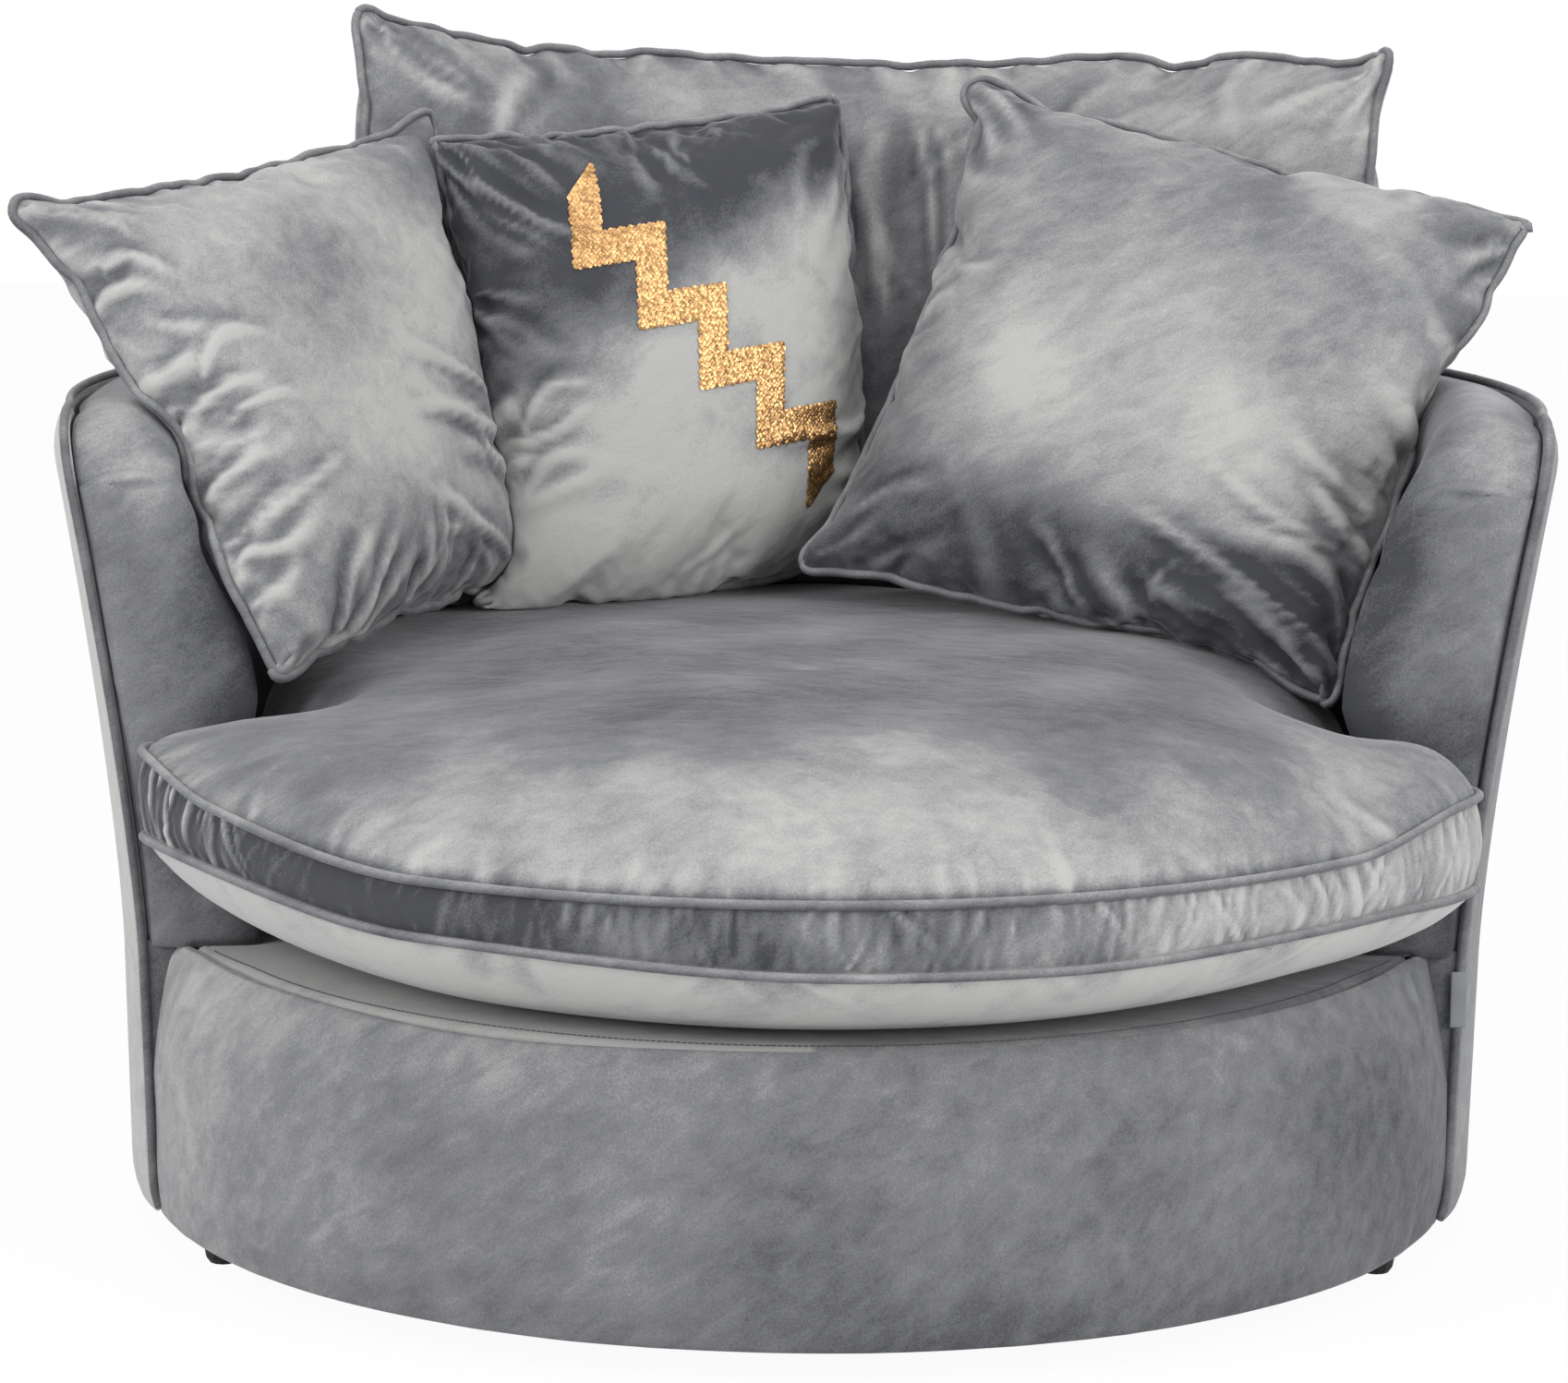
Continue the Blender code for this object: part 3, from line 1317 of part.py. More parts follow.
def add_motif(cushion, place, parent):
    """A zigzag band of sequins on the cushion's front, laid down across it."""
    tree = tree_of([cushion])
    inverse = parent.matrix_world.inverted()
    start, end = Vector(MOTIF_START_SHARE), Vector(MOTIF_END_SHARE)
    along = (end - start).normalized()
    side = Vector((-along.y, along.x))

    def lay(u, v):
        step = u * MOTIF_TURNS
        swing = MOTIF_SWING_SHARE * (2.0 * abs(step % 2.0 - 1.0) - 1.0)
        flat = start.lerp(end, u) + side * (swing + MOTIF_WIDTH_SHARE * (v - 0.5))
        inner = place(Vector((flat.x / 2.0, 0.0, flat.y / 2.0)))
        outer = place(Vector((flat.x / 2.0, -1.0, flat.y / 2.0)))
        direction = (outer - inner).normalized()
        found = tree.ray_cast(inner + direction, -direction)[0]
        surface = found or inner + direction * SCATTER_THICKNESS / 2.0
        return inverse @ (surface + direction * (MOTIF_GAP + MOTIF_THICKNESS))

    data = sheet_mesh("sequin_motif", MOTIF_COLUMNS, 2, lay)
    made = add_part("sequin_motif", data, "sequin_gold", parent)
    solidify(made, MOTIF_THICKNESS, Vector((0.0, -1.0, 0.0)))
    return made


def add_cushions(bodies, inner_padding):
    seat = add_seat_cushion(bodies["seat"])
    neighbours = [inner_padding, seat]
    sizes = (BACK_WIDTH, BACK_HEIGHT, BACK_THICKNESS, 0.04)
    made = add_pillow(
        "back_cushion",
        (12, 6),
        sizes,
        bent_back_place,
        bodies["back"],
        "velvet",
        neighbours,
        2.0 * PIPING_R + BACK_SEAM_GAP,
    )
    neighbours += made
    for name, corners, finish in (
        ("left_scatter_cushion", LEFT_CORNERS, "velvet_light"),
        ("centre_scatter_cushion", CENTRE_CORNERS, "velvet"),
        ("right_scatter_cushion", RIGHT_CORNERS, "velvet_light"),
    ):
        sizes = (1.0, 1.0, SCATTER_THICKNESS, SCATTER_PULL)
        body = bodies[name.split("_")[0]]
        room = 2.0 * PIPING_R - SCATTER_SEAM_SINK
        made = add_pillow(name, (6, 6), sizes, scatter_place(corners), body, finish, neighbours, room)
        neighbours += made
        if corners is CENTRE_CORNERS:
            neighbours.append(add_motif(made[0], scatter_place(corners), body))


def main():
    global parts, cutters
    clear_scene()
    parts = new_collection("swivel_armchair")
    cutters = new_collection("cutters")
    root = new_empty("chair_place")
    base = new_empty("base_place", root)
    tub = new_empty("swivel_axis", root)
    cage = new_empty("ball_cage_axis", root)
    bodies = {"seat": new_empty("seat_cushion_place", tub)}
    bodies["back"] = new_empty("back_cushion_place", bodies["seat"])
    bodies["left"] = new_empty("left_scatter_place", bodies["back"])
    bodies["centre"] = new_empty("centre_scatter_place", bodies["left"])
    bodies["right"] = new_empty("right_scatter_place", bodies["centre"])
    rails = add_static_base(base)
    add_bearing(base, tub, cage, rails)
    add_dust_cover(tub)
    add_base_posts(tub)
    add_seat_ring(tub)
    add_webbing(tub)
    add_rim_frame(tub)
    add_deck(tub)
    add_outer_panel(tub)
    add_apron(tub)
    padding = add_inner_padding(tub)
    add_rim_piping(tub)
    add_side_tag(tub)
    add_cushions(bodies, padding)
    root.location = (AXIS_X, AXIS_Y, 0.0)


main()
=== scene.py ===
"""Round swivel armchair in crushed velvet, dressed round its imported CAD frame.

Metres, +Z up, front towards -Y. The tub's surfaces are drawn about the swivel axis with the sizes of the
CAD part. Loose cushions are sewn flat, filled by a cloth simulation, laid in place and pressed clear of
what carries them.
"""

import math

import bmesh
import bpy
import numpy as np
from bpy.props import FloatProperty, FloatVectorProperty, IntProperty, PointerProperty
from mathutils import Matrix, Vector
from mathutils.bvhtree import BVHTree


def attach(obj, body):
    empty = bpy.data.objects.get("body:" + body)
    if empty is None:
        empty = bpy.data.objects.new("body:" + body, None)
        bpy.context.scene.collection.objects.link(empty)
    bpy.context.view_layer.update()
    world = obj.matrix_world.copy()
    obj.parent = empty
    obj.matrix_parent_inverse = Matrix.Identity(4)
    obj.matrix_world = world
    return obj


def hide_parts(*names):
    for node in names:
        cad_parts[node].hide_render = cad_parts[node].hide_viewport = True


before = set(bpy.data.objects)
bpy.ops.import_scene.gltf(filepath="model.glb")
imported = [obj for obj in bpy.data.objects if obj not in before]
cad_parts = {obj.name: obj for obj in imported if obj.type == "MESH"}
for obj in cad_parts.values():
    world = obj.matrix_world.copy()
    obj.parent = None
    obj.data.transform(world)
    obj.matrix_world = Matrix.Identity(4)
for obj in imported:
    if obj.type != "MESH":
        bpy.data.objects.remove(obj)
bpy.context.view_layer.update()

bl_info = {
    "name": "Round Swivel Armchair",
    "version": (1, 0, 0),
    "blender": (4, 5, 0),
    "location": "View3D > Sidebar > Armchair",
    "description": "Builds the velvet, piping, cushions and studio of a round swivel armchair",
    "category": "Add Mesh",
}

# Place of the swivel axis in the row frame
AXIS = np.array((-0.003, -0.0215, 0.0))

# Tub, as in the CAD part
BASE_R = 0.583
SKIRT_Z = 0.025
FLARE_START_Z = 0.243
FLARE_R = 0.061
FLARE_POWER = 1.35
BASE_SWELL = 0.006
RIM_Z = 0.706
RIM_CURL = 0.016
RIM_CURL_DEPTH = 0.045
SKIRT_TUCK = 0.006
SKIRT_TUCK_DEPTH = 0.030
ARM_FRONT_Y = -0.168
ARM_CORNER_R = 0.055
ARM_EDGE_TUCK = 0.005
ARM_EDGE_TUCK_DEPTH = 0.080
PANEL_THICKNESS = 0.010
PANEL_GAP = 0.0014
APRON_TOP_Z = 0.258
APRON_TOP_R = 0.549
APRON_SWELL_R = 0.578
APRON_BOTTOM_R = 0.571
APRON_END_TUCK = 0.0040
APRON_END_RETURN = 0.028
APRON_END_FLARE = 0.0125
APRON_END_R = 0.5755
APRON_END_SLOPE = 0.11
APRON_SEAM_DIP = 0.0035
WALL_BOTTOM = 0.2213
WALL_THICKNESS = 0.108
WALL_CROWN = 0.010
WALL_ROUND = 0.045
PAD_THICKNESS = 0.032
ARM_PILLOW = 0.010
ARM_INNER_EASE = 0.008
ARM_TOP_EASE = 0.016
LEFT_ARM_SWELL = (0.023, 0.650)
RIGHT_ARM_SWELL = (0.032, 0.715)
ARM_INNER_EASE_LENGTH = 0.095
ARM_WRAP = 0.050
ARM_FOOT_WIDTH = 0.034
ARM_OUTER_SHARE = 0.4
DECK_BOTTOM_Z = 0.2259
DECK_TOP_Z = 0.2595
DECK_FRONT_R = 0.535
TAG_BOTTOM_Z = 0.198
TAG_TOP_Z = 0.246
TAG_WIDTH = 0.014
TAG_COLOUR = "#85888D"
TAG_RIB_PITCH = 0.0008

# Widths of marks: velvet tufts, wrinkles in the piping's cover and dents in a sequin
TUFT_WIDTH = 1.0 / 620.0
WRINKLE_WIDTH = 1.0 / 130.0
DENT_WIDTH = 0.0025

# Seat cushion, as in the CAD part
SEAT_FRONT_R = 0.590
SEAT_SIDE_R = 0.472
SEAT_BACK_Y = 0.450
EAR_CLEARANCE = 0.011
EAR_ROUND = 0.028
EAR_INNER_ROUND = 0.022
SEAT_UPPER_SEAM_Z = 0.390
SEAT_LOWER_SEAM_Z = 0.326
SEAT_BOTTOM_Z = 0.2600
SEAT_CROWN = 0.118
SEAT_FRONT_FULLNESS = 3.5
SEAT_SIDE_FULLNESS = 8.0
SEAT_SHOULDER = 0.6
SEAT_BORDER_SWELL = 0.006
SEAT_LEFT_EAR_LIFT = 0.034
SEAT_MIDDLE_Y = -0.200

# Back cushion, as in the CAD part
BACK_WIDTH = 1.060
BACK_HEIGHT = 0.530
BACK_THICKNESS = 0.190
BACK_CORNER_R = 0.042
BACK_MIDDLE_X = 0.062
BACK_MIDDLE_Z = 0.740
BACK_LOWER_Y = 0.375
BACK_UPPER_Y = 0.490
BACK_LOWER_BEND_R = 0.430
BACK_UPPER_BEND_R = 0.640
BACK_TOP_SAG = 0.030
BACK_CORNER_LIFT = 0.038

# Scatter cushions: upper left, upper right, lower left and lower right corner, seen from the front
SCATTER_SIZE = 0.45
SCATTER_THICKNESS = 0.150
SCATTER_CORNER_R = 0.026
SCATTER_REAR_SHARE = 0.62
SCATTER_FRONT_SHARE = 1.08
LEFT_CORNERS = (
    (-0.662, -0.110, 0.874),
    (-0.342, 0.240, 0.928),
    (-0.439, -0.200, 0.488),
    (-0.272, 0.150, 0.522),
)
CENTRE_CORNERS = (
    (-0.338, 0.200, 0.916),
    (0.026, 0.360, 0.947),
    (-0.279, 0.100, 0.492),
    (0.052, 0.290, 0.548),
)
RIGHT_CORNERS = (
    (0.158, 0.360, 0.959),
    (0.639, 0.140, 0.856),
    (-0.002, 0.155, 0.541),
    (0.4485, -0.0905, 0.461),
)

# How far the middle of the left, right, lower and upper side is drawn in, as a share of the cushion's size
BACK_PULLS = (0.006, 0.006, 0.006, 0.008)
LEFT_PULLS = (0.055, 0.030, 0.030, 0.030)
CENTRE_PULLS = (0.030, -0.012, -0.045, 0.030)
RIGHT_PULLS = (0.060, 0.036, 0.030, 0.025)

# Points along and across the meshes
APRON_COLUMNS = 361
FOOT_ROWS = 24
DECK_FRONT_POINTS = 241
TAG_ROWS = 21
TAG_COLUMNS = 9
SEAT_POINTS = 720
BACK_CELLS = (130, 66)
SCATTER_CELLS = (78, 78)

# Sequin band, in u and v of the centre cushion
BAND_START = (-0.50, 0.64)
BAND_END = (0.70, -0.66)
BAND_TURNS = 9.0
BAND_SWING = 0.11
BAND_WIDTH = 0.12
SEQUIN_TILT = 0.22

# Camera, fitted to the photograph's frame
PHOTO_WIDTH_PX = 1698.0
FOCAL_LENGTH_PX = 5677.0
SENSOR_MM = 36.0
CAMERA_PLACE = (-0.017, -4.5, 1.202)
CAMERA_PITCH = math.radians(9.47)
CAMERA_ROLL = math.radians(0.49)
FLOOR_REACH = 9.0
WHITE = (1.0, 1.0, 1.0, 1.0)


# Colours


def linear(code):
    """Linear RGB of an sRGB hex code."""
    parts = [int(code[i : i + 2], 16) / 255.0 for i in (1, 3, 5)]
    return [p / 12.92 if p <= 0.04045 else ((p + 0.055) / 1.055) ** 2.4 for p in parts]


def rgba(colour):
    return (*colour[:3], 1.0)


def colour_property(label, description, code):
    limits = {"size": 3, "min": 0.0, "max": 1.0}
    return FloatVectorProperty(
        name=label, description=description, subtype="COLOR", default=linear(code), **limits
    )


def number_property(label, description, value, low, high, unit="NONE", precision=2):
    return FloatProperty(
        name=label, description=description, unit=unit, default=value, min=low, max=high, precision=precision
    )


def length_property(label, description, value, low, high):
    return number_property(label, description, value, low, high, "LENGTH", 4)


class VelvetSettings(bpy.types.PropertyGroup):
    """Colours and pile of the crushed velvet."""

    shade: colour_property("Shade", "Pile that leans away from the light", "#3F4045")
    middle: colour_property("Middle", "Pile that stands up", "#7B7C7F")
    shine: colour_property("Shine", "Pile that leans towards the light", "#B6B6B4")
    gloss: colour_property("Gloss", "Light that the pile's tips catch at a glancing angle", "#CFCFD2")
    brush_size: length_property("Brush size", "Width of a patch brushed one way", 0.110, 0.02, 0.5)
    crush_size: length_property("Crush size", "Width of a small crush mark", 0.019, 0.005, 0.1)


class SewingSettings(bpy.types.PropertyGroup):
    """Piping, puckers and stitches."""

    piping_radius: length_property("Piping radius", "Radius of the covered cord", 0.0038, 0.002, 0.01)
    pucker_depth: length_property("Pucker depth", "Depth of the puckers at a seam", 0.0030, 0.0, 0.01)
    stitch_pitch: length_property("Stitch pitch", "Distance between two top stitches", 0.0050, 0.002, 0.02)
    stitch_inset: length_property("Stitch inset", "Distance of the stitches from the seam", 0.01, 0.003, 0.03)


class CushionSettings(bpy.types.PropertyGroup):
    """Filling of the loose cushions."""

    fill_pressure: number_property("Fill pressure", "Pressure of the filling", 4.0, 0.5, 20.0)
    fill_frames: IntProperty(
        name="Fill frames", description="Length of the simulation", default=26, min=5, max=80
    )


class SequinSettings(bpy.types.PropertyGroup):
    """Sequin band on the centre cushion."""

    radius: length_property("Sequin radius", "Radius of one sequin", 0.0027, 0.001, 0.006)
    pitch: length_property("Sequin pitch", "Distance between two sequins in a row", 0.0034, 0.001, 0.01)
    gold: colour_property("Gold", "Anodised foil of the sequins", "#C79A68")


class StudioSettings(bpy.types.PropertyGroup):
    """Light and background."""

    key_power: number_property("Key power", "Power of the overhead softbox", 24.0, 0.0, 1000.0, "POWER")
    fill_power: number_property("Fill power", "Power of the two side softboxes", 56.0, 0.0, 1000.0, "POWER")
    sky_strength: number_property("Surround", "Strength of the white surround", 0.55, 0.0, 5.0)


# Nodes and materials


def feed(tree, node, inputs):
    """Sets a node's inputs; each is a number, a colour or the socket that feeds it."""
    for key, value in inputs.items():
        if isinstance(value, bpy.types.NodeSocket):
            tree.links.new(value, node.inputs[key])
        else:
            node.inputs[key].default_value = value


def add_node(tree, kind, inputs=None, out=0, stops=(), **settings):
    """Adds a node; gives one output, or all where out is None. Stops are a ramp's places and colours."""
    node = tree.nodes.new(kind)
    for key, value in settings.items():
        setattr(node, key, value)
    feed(tree, node, inputs or {})
    if stops:
        ramp = node.color_ramp.elements
        while len(ramp) < len(stops):
            ramp.new(0.5)
        for element, (place, colour) in zip(ramp, stops):
            element.position, element.color = place, rgba(colour)
    return node.outputs if out is None else node.outputs[out]


def use_material(name, make, *values):
    """The material of that name; when it is new, make adds its nodes and gives its shader's inputs."""
    made = bpy.data.materials.get(name)
    if made is None:
        made = bpy.data.materials.new(name)
        made.use_nodes = True
        tree = made.node_tree
        feed(tree, tree.nodes["Principled BSDF"], make(tree, *values))
    return made


def velvet(piping=False):
    return use_material("crushed_velvet_piping" if piping else "crushed_velvet", crushed_velvet)


def crushed_velvet(tree):
    """Crushed polyester velvet, woven double and cut: a short pile that is brushed and pressed every way.

    Its lean and each piece's painted light and shade, held in its tone attribute, make light and dark
    patches;
    its tips catch light at every edge, so the cloth looks soft.
    """
    look = bpy.context.scene.armchair_velvet
    place = add_node(tree, "ShaderNodeTexCoord", out="Object")
    # The tone attribute carries each piece's painted light and shade along with its lighter and darker velvet
    lean = add_node(tree, "ShaderNodeAttribute", out="Fac", attribute_name="tone")
    slanted = {"Vector": place, "Rotation": (0.5, 0.9, 0.3), "Scale": (1.0, 1.0, 2.6)}
    stroke = add_node(tree, "ShaderNodeMapping", slanted, "Vector", vector_type="TEXTURE")
    # Brushed patches, crush marks and tufts: place, width, detail, roughness, distortion and share.
    # Tufts are 0.3 mm wide; they are drawn 1.6 mm wide to show at the photograph's scale
    marks = (
        (place, look.brush_size, 4.0, 0.6, 0.25, 0.30),
        (stroke, look.crush_size, 4.0, 0.66, 0.35, 0.52),
        (place, TUFT_WIDTH, 1.0, 0.5, 0.0, 0.36),
    )
    fields = []
    for where, width, detail, rough, bent, share in marks:
        values = {"Vector": where, "Scale": 1.0 / width, "Detail": detail}
        values.update({"Roughness": rough, "Distortion": bent})
        fields.append(add_node(tree, "ShaderNodeTexNoise", values, "Fac"))
        centred = add_node(tree, "ShaderNodeMath", {0: fields[-1], 1: 0.5}, operation="SUBTRACT")
        lean = add_node(tree, "ShaderNodeMath", {0: centred, 1: share, 2: lean}, operation="MULTIPLY_ADD")
    crush, tufts = fields[1:]
    stops = ((0.05, look.shade), (0.5, look.middle), (0.95, look.shine))
    gloss = {"Value": lean, "From Min": 0.1, "From Max": 0.9, "To Min": 0.82, "To Max": 0.56}
    soft = add_node(tree, "ShaderNodeBump", {"Height": crush, "Strength": 0.35, "Distance": 0.004})
    fine = {"Height": tufts, "Strength": 0.25, "Distance": 0.0006, "Normal": soft}
    return {
        "Base Color": add_node(tree, "ShaderNodeValToRGB", {"Fac": lean}, stops=stops),
        "Roughness": add_node(tree, "ShaderNodeMapRange", gloss),
        "Specular IOR Level": 0.35,
        "Sheen Weight": 0.55,
        "Sheen Roughness": 0.35,
        "Sheen Tint": rgba(look.gloss),
        "Normal": add_node(tree, "ShaderNodeBump", fine),
    }


# Each finish: colour, roughness, metallic, width of a grain mark in millimetres, contrast, stretch, bump
FINISHES = {
    # Moulded polypropylene: satin black with a fine spark grain
    "moulded_polypropylene": ("#1B1B1D", 0.42, 0.0, 1.111, 0.20, (1.0, 1.0, 1.0), 0.0001),
    # Sawn pine: pale yellow, streaked along the grain
    "sawn_pine": ("#C9A878", 0.70, 0.0, 111.1, 0.24, (1.0, 12.0, 12.0), 0.0004),
    # Birch plywood: pale, with a faint figure
    "birch_plywood": ("#D3B88C", 0.62, 0.0, 71.43, 0.16, (1.0, 5.0, 20.0), 0.0003),
    # Zinc-plated steel: bluish grey with soft spangles
    "zinc_plated_steel": ("#B9BCC0", 0.34, 1.0, 8.333, 0.12, (1.0, 1.0, 1.0), 0.0001),
    # Elastic webbing: ribbed black polypropylene
    "elastic_webbing": ("#26262A", 0.85, 0.0, 3.333, 0.35, (1.0, 1.0, 0.2), 0.0005),
    # Spunbond dust cloth: thin black felt
    "spunbond_dust_cloth": ("#19191B", 0.92, 0.0, 2.381, 0.30, (1.0, 1.0, 1.0), 0.0004),
    # Twisted polyester thread: fine ply, slightly glossy
    "polyester_thread": ("#5B5E64", 0.5, 0.0, 0.7143, 0.25, (1.0, 1.0, 1.0), 0.0001),
}


def finish(name):
    return use_material(name, grained_finish, *FINISHES[name])


def grained_finish(tree, code, roughness, metallic, grain_mm, contrast, stretch, bump):
    """A finish whose colour and gloss vary with a stretched grain."""
    place = add_node(tree, "ShaderNodeTexCoord", out="Object")
    place = add_node(tree, "ShaderNodeMapping", {"Vector": place, "Scale": stretch}, "Vector")
    marks = {"Vector": place, "Scale": 1000.0 / grain_mm, "Detail": 5.0, "Roughness": 0.6}
    grain = add_node(tree, "ShaderNodeTexNoise", marks, "Fac")
    base = np.array(linear(code))
    stops = ((0.25, base * (1.0 - contrast)), (0.75, np.minimum(base * (1.0 + contrast), 1.0)))
    gloss = {"Value": grain, "To Min": roughness - 0.08, "To Max": roughness + 0.08}
    return {
        "Base Color": add_node(tree, "ShaderNodeValToRGB", {"Fac": grain}, stops=stops),
        "Metallic": metallic,
        "Roughness": add_node(tree, "ShaderNodeMapRange", gloss),
        "Normal": add_node(tree, "ShaderNodeBump", {"Height": grain, "Strength": 0.4, "Distance": bump}),
    }


def anodised_foil(tree):
    """Anodised foil, punched into discs: a gold mirror, each disc a little lighter or darker and dented."""
    gold = np.array(bpy.context.scene.armchair_sequins.gold)
    stops = ((0.0, gold * 0.62), (0.6, gold), (1.0, np.minimum(gold * 1.45, 1.0)))
    shift = add_node(tree, "ShaderNodeAttribute", out="Fac", attribute_name="shift")
    place = add_node(tree, "ShaderNodeTexCoord", out="Object")
    dents = add_node(tree, "ShaderNodeTexNoise", {"Vector": place, "Scale": 1.0 / DENT_WIDTH}, "Fac")
    return {
        "Base Color": add_node(tree, "ShaderNodeValToRGB", {"Fac": shift}, stops=stops),
        "Metallic": 0.85,
        "Roughness": 0.32,
        "Normal": add_node(tree, "ShaderNodeBump", {"Height": dents, "Strength": 0.3, "Distance": 0.0004}),
    }


def woven_satin(tree):
    """Woven polyester satin: two crossed sets of fine ribs, so the tag looks flat and a little glossy."""
    place = add_node(tree, "ShaderNodeTexCoord", out="Object")
    # Blender's waves of scale s lie 0.31 / s apart
    ribs = {"Vector": place, "Scale": 0.31 / TAG_RIB_PITCH}
    crossed = {}
    for number, axis in enumerate(("X", "Z")):
        settings = {"wave_type": "BANDS", "bands_direction": axis}
        crossed[number] = add_node(tree, "ShaderNodeTexWave", ribs, "Fac", **settings)
    both = add_node(tree, "ShaderNodeMath", crossed, operation="MULTIPLY")
    base = np.array(linear(TAG_COLOUR))
    stops = ((0.0, base * 0.7), (1.0, np.minimum(base * 1.3, 1.0)))
    return {
        "Base Color": add_node(tree, "ShaderNodeValToRGB", {"Fac": both}, stops=stops),
        "Roughness": 0.6,
        "Sheen Weight": 0.2,
        "Normal": add_node(tree, "ShaderNodeBump", {"Height": both, "Strength": 0.5, "Distance": 0.0002}),
    }


def new_tree(name, sizes, on_geometry=True):
    """A Geometry Nodes tree with named inputs for its sizes and its material; gives it and its inputs."""
    tree = bpy.data.node_groups.new(name, "GeometryNodeTree")
    face = tree.interface
    face.new_socket("Geometry", in_out="OUTPUT", socket_type="NodeSocketGeometry")
    if on_geometry:
        face.new_socket("Geometry", in_out="INPUT", socket_type="NodeSocketGeometry")
    for label, value in sizes.items():
        kind = "NodeSocketInt" if isinstance(value, int) else "NodeSocketFloat"
        face.new_socket(label, in_out="INPUT", socket_type=kind).default_value = value
    face.new_socket("Material", in_out="INPUT", socket_type="NodeSocketMaterial")
    return tree, add_node(tree, "NodeGroupInput", out=None)


def end_tree(tree, geometry, material):
    """Makes a tree's geometry real, gives it its material and sends it out."""
    real = add_node(tree, "GeometryNodeRealizeInstances", {"Geometry": geometry})
    dressed = add_node(tree, "GeometryNodeSetMaterial", {"Geometry": real, "Material": material})
    add_node(tree, "NodeGroupOutput", {0: dressed}, None)
    return tree


def use_tree(obj, name, make, **values):
    """Adds a node tree, which is made once, as a modifier; values are its inputs by label."""
    tree = bpy.data.node_groups.get(name) or make(name)
    modifier = obj.modifiers.new(name, "NODES")
    modifier.node_group = tree
    for item in tree.interface.items_tree:
        if item.in_out == "INPUT" and item.name in values:
            modifier[item.identifier] = values[item.name]


# Meshes


def smooth(x):
    x = np.clip(x, 0.0, 1.0)
    return x * x * (3.0 - 2.0 * x)


def grid_faces(rows, columns, wrap):
    """Quads of a grid of points, row after row; wrap joins its last column to its first."""
    count = columns if wrap else columns - 1
    r, c = np.meshgrid(np.arange(rows - 1), np.arange(count), indexing="ij")
    nxt = (c + 1) % columns
    corners = (r * columns + c, r * columns + nxt, (r + 1) * columns + nxt, (r + 1) * columns + c)
    return np.stack(corners, axis=-1).reshape(-1, 4)


def grid_normals(points, wrap):
    """Unit normals of a grid of points shaped (rows, columns, 3)."""
    if wrap:
        across = np.roll(points, -1, axis=1) - np.roll(points, 1, axis=1)
    else:
        across = np.gradient(points, axis=1)
    along = np.gradient(points, axis=0)
    normals = np.cross(across, along)
    return normals / np.maximum(np.linalg.norm(normals, axis=2, keepdims=True), 1e-12)


def volume_sign(points, faces):
    """Positive where the faces of a closed mesh point outwards."""
    total = 0.0
    for i in range(1, faces.shape[1] - 1):
        a, b, c = points[faces[:, 0]], points[faces[:, i]], points[faces[:, i + 1]]
        total += np.einsum("ij,ij->i", a, np.cross(b, c)).sum()
    return total


def new_object(name, data):
    made = bpy.data.objects.new(name, data)
    bpy.context.scene.collection.objects.link(made)
    return made


def new_piece(name, points, faces, caps=(), tone=0.5, place=True):
    """A mesh object of quads and cap polygons, its faces outwards, with a tone for the velvet."""
    points = np.asarray(points, float).reshape(-1, 3)
    if place:
        points = points + AXIS
    turned = volume_sign(points - points.mean(axis=0), faces) < 0.0
    polygons = [list(map(int, face)) for face in (faces[:, ::-1] if turned else faces)]
    polygons += [list(map(int, cap[::-1] if turned else cap)) for cap in caps]
    data = bpy.data.meshes.new(name)
    data.from_pydata(points.tolist(), [], polygons)
    data.shade_smooth()
    set_tone(data, tone)
    return new_object(name, data)


def orient_caps(piece):
    """Turns the faces of a closed mesh outwards, caps included."""
    bm = bmesh.new()
    bm.from_mesh(piece.data)
    bmesh.ops.recalc_face_normals(bm, faces=bm.faces)
    bm.to_mesh(piece.data)
    bm.free()


def end_caps(rings, size):
    """The first and the last ring of a wrapped grid, as polygons."""
    return list(range(size)), list(range((rings - 1) * size, rings * size))[::-1]


def set_tone(data, tone):
    layer = data.attributes.get("tone") or data.attributes.new("tone", "FLOAT", "POINT")
    values = np.broadcast_to(np.asarray(tone, float).reshape(-1), (len(data.vertices),))
    layer.data.foreach_set("value", np.ascontiguousarray(values, np.float32))


def finish_piece(piece, body, slot, material, *replaced):
    piece.data.materials.clear()
    piece.data.materials.append(material)
    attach(piece, body)
    if replaced:
        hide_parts(*replaced)
    return piece


def bake(obj):
    """Turns an object with its modifiers into a plain mesh object of the same name."""
    bpy.context.view_layer.update()
    graph = bpy.context.evaluated_depsgraph_get()
    data = bpy.data.meshes.new_from_object(obj.evaluated_get(graph))
    name = obj.name
    bpy.data.objects.remove(obj)
    data.name = name
    return new_object(name, data)


def mesh_points(data):
    points = np.empty(len(data.vertices) * 3)
    data.vertices.foreach_get("co", points)
    return points.reshape(-1, 3)


